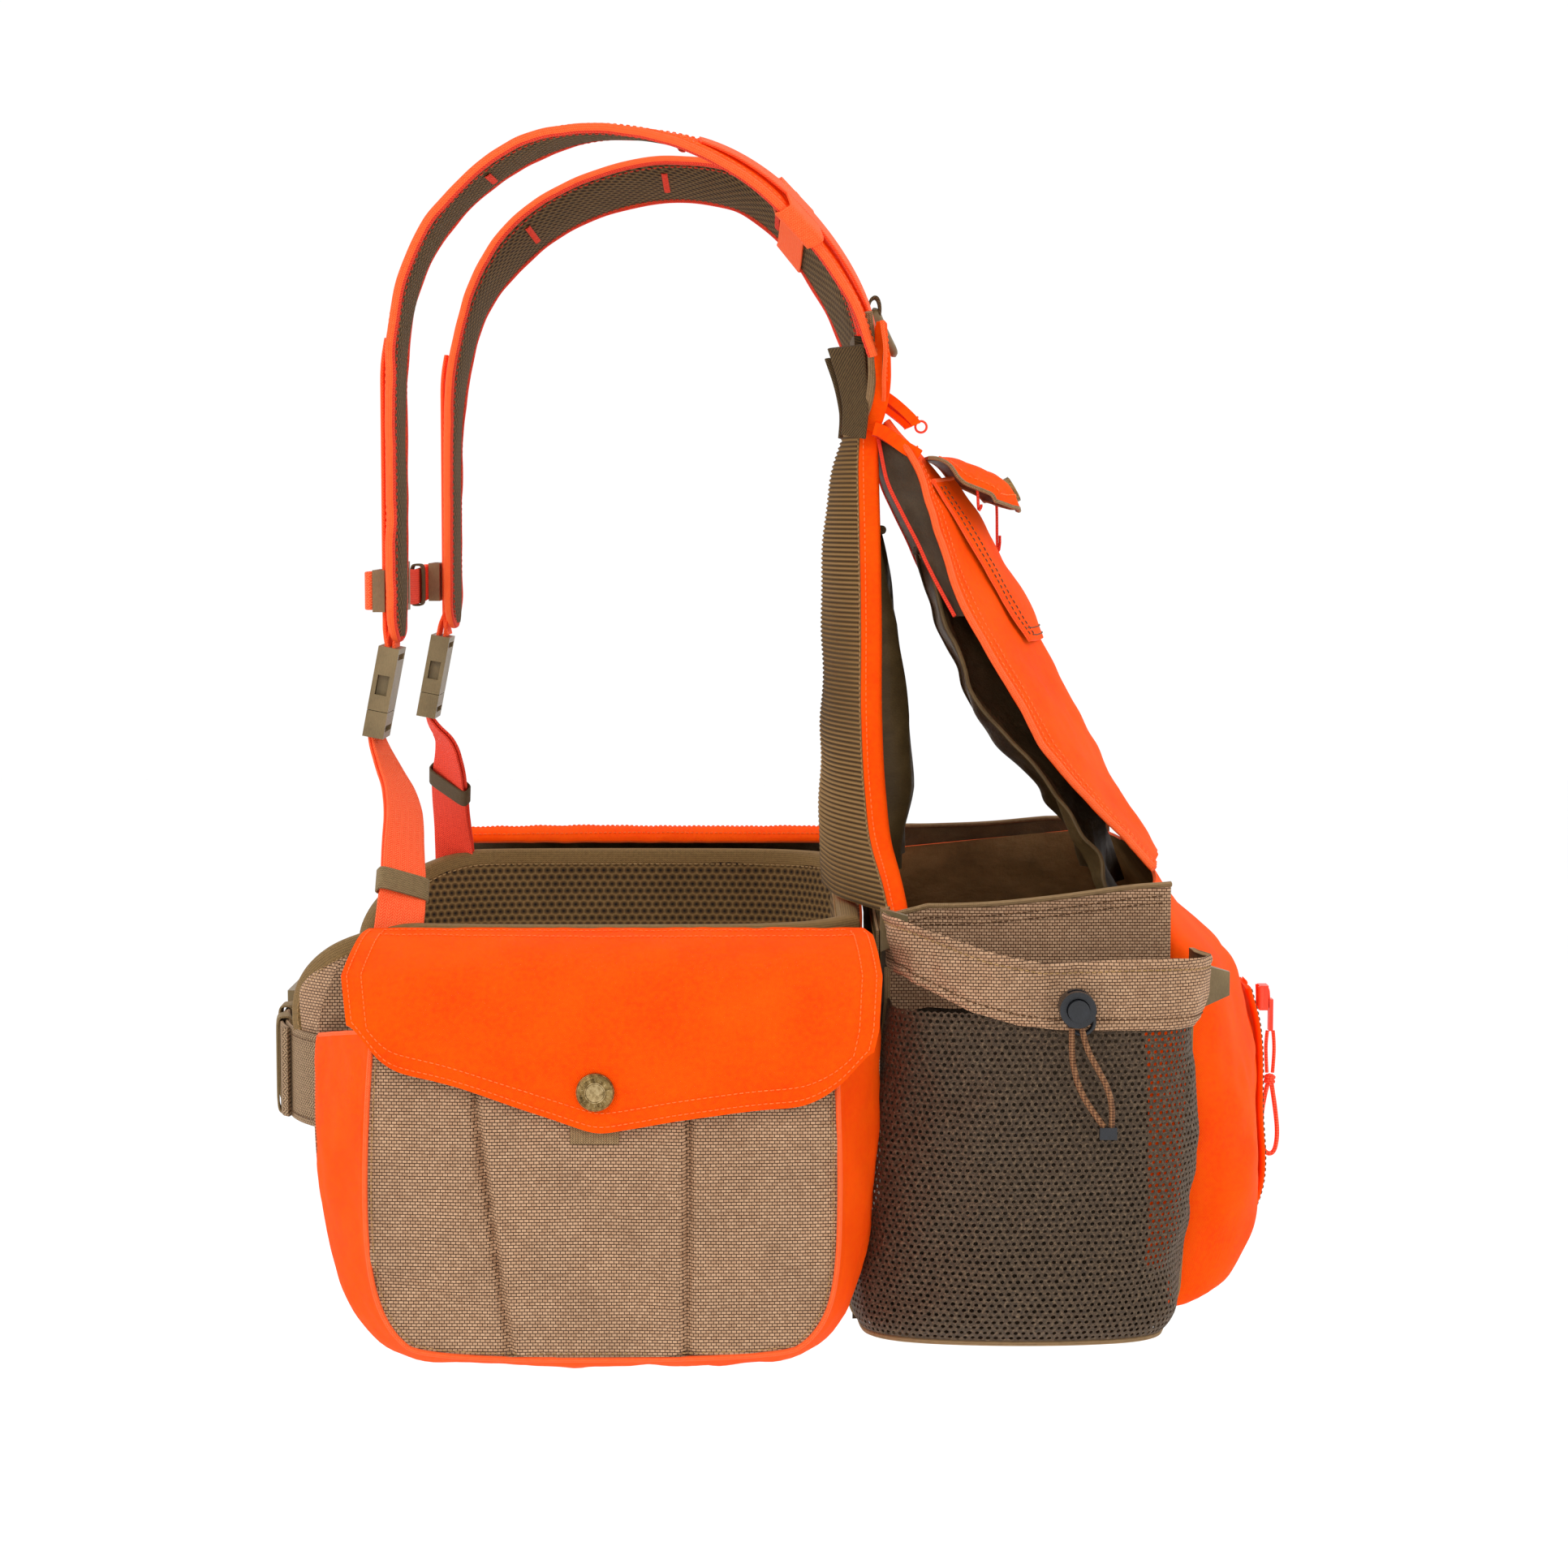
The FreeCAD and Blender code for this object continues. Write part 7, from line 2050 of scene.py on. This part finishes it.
# yoke slider details and the ring on the end of its pull
P = Parts()
rope(P, curve(np.array([(20.4, 166.0, 326.5), (20.4, 167.6, 326.0), (20.4, 168.2, 322), (20.4, 167.4, 318.4), (20.4, 165.6, 317.8)]), 18, 2), .8, M_OR_MET, up=(1, 0, 0))
rope(P, curve(np.array([(31.6, 166.0, 326.5), (31.6, 167.6, 326.0), (31.6, 168.2, 322), (31.6, 167.4, 318.4), (31.6, 165.6, 317.8)]), 18, 2), .8, M_OR_MET, up=(1, 0, 0))
P.build("yoke_slider_rails", "yoke_slider")
P = Parts()
rdir = np.array([0, math.cos(math.radians(38)), -math.sin(math.radians(38))])
rup = np.array([0, math.sin(math.radians(38)), math.cos(math.radians(38))])
rc = np.array([26, 167.2, 323.4]) + rdir * 25.4
ring = rc + 3.1 * (np.cos(t2)[:, None] * rdir + np.sin(t2)[:, None] * rup) * np.array([1, 1, 1])
rope(P, ring, .65, M_OR_MET, up=(1, 0, 0), closed=True)
tape_ = np.array([rc - rdir * 22, rc - rdir * 15, rc - rdir * 8, rc - rdir * 4.2])
# the pull tape takes the shaded webbing: painted shade
webbing(P, tape_ + rup * 1.9, rup, 8.6, 1.1, M_SHADED_OR_WEB, nw=5)
webbing(P, tape_ - rup * 1.9, -rup, 8.6, 1.1, M_SHADED_OR_WEB, nw=5)
P.build("yoke_pull_ring", "yoke_pull")

# ------------------------------------------------------------------ hang tab, haul loop
P = Parts()
pth = curve(np.array([(0, 161.6, 374), (0, 163.8, 368.5), (0, 167.0, 361), (0, 170.4, 354), (0, 174.0, 347.0)]), 30, 2)
T_ = unit(np.gradient(pth, axis=0))
e_ = np.linspace(-1, 1, 30)
sc = np.stack([np.sqrt(np.clip(1.02 - np.abs(e_) ** 5, .02, 1)), np.sqrt(np.clip(1.02 - np.abs(e_) ** 8, .02, 1))], 1)
extrude(P, pth, (1, 0, 0), np.cross(T_, (1, 0, 0)), flat_sec(20, 5.0, 8, r=2.4), M_KHAKI, scale=sc)
tabo = P.build("hang_tab", "root")
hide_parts("hang_loop")
P = Parts()
for sg in (1, -1):
    lp_ = curve(np.array([(sg * 6, 158.0, 371), (sg * 6.2, 159.8, 378.6), (sg * 6.4, 163.4, 380.2), (sg * 6.4, 165.4, 375), (sg * 6.2, 164.8, 367.6), (sg * 6, 162.6, 361)]), 40, 3)
    webbing(P, lp_, np.cross(unit(np.gradient(lp_, axis=0)), (1, 0, 0)), 6.0, 1.6, M_YOKE, nw=4, wdir=np.array([1.0, 0, 0]))
base_ = np.stack([np.linspace(-16, 16, 24), 162.6 + 0 * np.linspace(0, 1, 24), 357 + 0 * np.linspace(0, 1, 24)], 1)
webbing(P, base_, (0, 1, 0), 9, 1.6, M_OR_WEB, nw=5)
for sg in (1, -1):
    bartack(P, (sg * 13, 163.5, 357), (0, 0, 1), (0, 1, 0), M_TH_OR, length=7, width=2.2)
P.build("haul_loop", "root")

# ------------------------------------------------------------------ waist webbing
def waist_web(node, name, pts, sx, blend_to):
    P = Parts()
    n = 110
    c = curve(np.array([(x, y, -32.0) for x, y in pts]), n, 3)
    d = arc(c)
    T = unit(np.gradient(c, axis=0))
    out = unit(np.cross(T, (0, 0, 1.0)))
    if out[n // 2, 1] > 0:
        out = -out
    sway = .5 * np.sin(d / 23.0)
    c = c + out * sway[:, None]
    webbing(P, c, out, 48.5, 1.9, M_TAN_WEB, nw=22, wdir=np.array([0, 0, 1.0]))
    # second ply where the tape comes back from the buckle, with its turned end
    k0, k1 = int(n * .48), n - 1
    c2 = c[k0:k1] + out[k0:k1] * (2.2 + .7 * np.sin(np.linspace(0, math.pi * 2.2, k1 - k0)))[:, None]
    webbing(P, c2, out[k0:k1], 47.6, 1.8, M_TAN_WEB, nw=22, wdir=np.array([0, 0, 1.0]))
    for off in (-20.5, 20.5):
        stitch(P, c[6:k0] + (0, 0, off) + out[6:k0] * 1.0, out[6:k0], M_TH_BR)
    fold = c2[0] + np.array([(0, 0, 0), (0, 0, 0), (0, 0, 0)]) + T[k0] * np.array([[6], [1.0], [-2.4]]) + out[k0] * np.array([[2.1], [2.3], [.8]])
    webbing(P, fold, np.array([out[k0], out[k0], out[k0] - T[k0]]), 47, 1.7, M_TAN_WEB, nw=22, wdir=np.array([0, 0, 1.0]))
    # elastic keeper round both plies
    for frac in (.63, .84):
        k = int(n * frac)
        cc = c[k] + out[k] * 1.2
        lp_ = []
        for a_ in np.linspace(0, 2 * math.pi, 48, endpoint=False):
            ca_, sa_ = math.cos(a_), math.sin(a_)
            lp_.append(cc + np.array([0, 0, 1.0]) * 25.6 * np.sign(ca_) * abs(ca_) ** .22 + out[k] * 3.9 * np.sign(sa_) * abs(sa_) ** .5)
        lp_ = np.array(lp_)
        Tl = unit(np.roll(lp_, -1, 0) - np.roll(lp_, 1, 0))
        Wl = np.broadcast_to(T[k], Tl.shape)
        extrude(P, lp_, Wl, unit(np.cross(Tl, Wl)), flat_sec(15, 1.3, 5), M_KEEP, closed=True)
    ob = P.build(name, "root", ride=not blend_to)
    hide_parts(node)
    if blend_to:
        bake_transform(ob)


waist_web("waist_webbing_left", "waist_webbing_tape_left", [(187.0, -84), (181.5, -98), (172.5, -114.5), (160.5, -128.5), (150, -137.0), (140, -142.8), (128, -147.8), (112, -152.5), (90, -156), (64, -157.5), (36.4, -157)], 1, False)
waist_web("waist_webbing_right", "waist_webbing_tape_right", [(-187.0, -84), (-181.5, -98), (-172.5, -114.5), (-160.5, -128.5), (-150, -137.0), (-140, -142.8), (-128, -147.8), (-112, -152.5), (-90, -156), (-62, -157.5), (-27.5, -157)], -1, True)
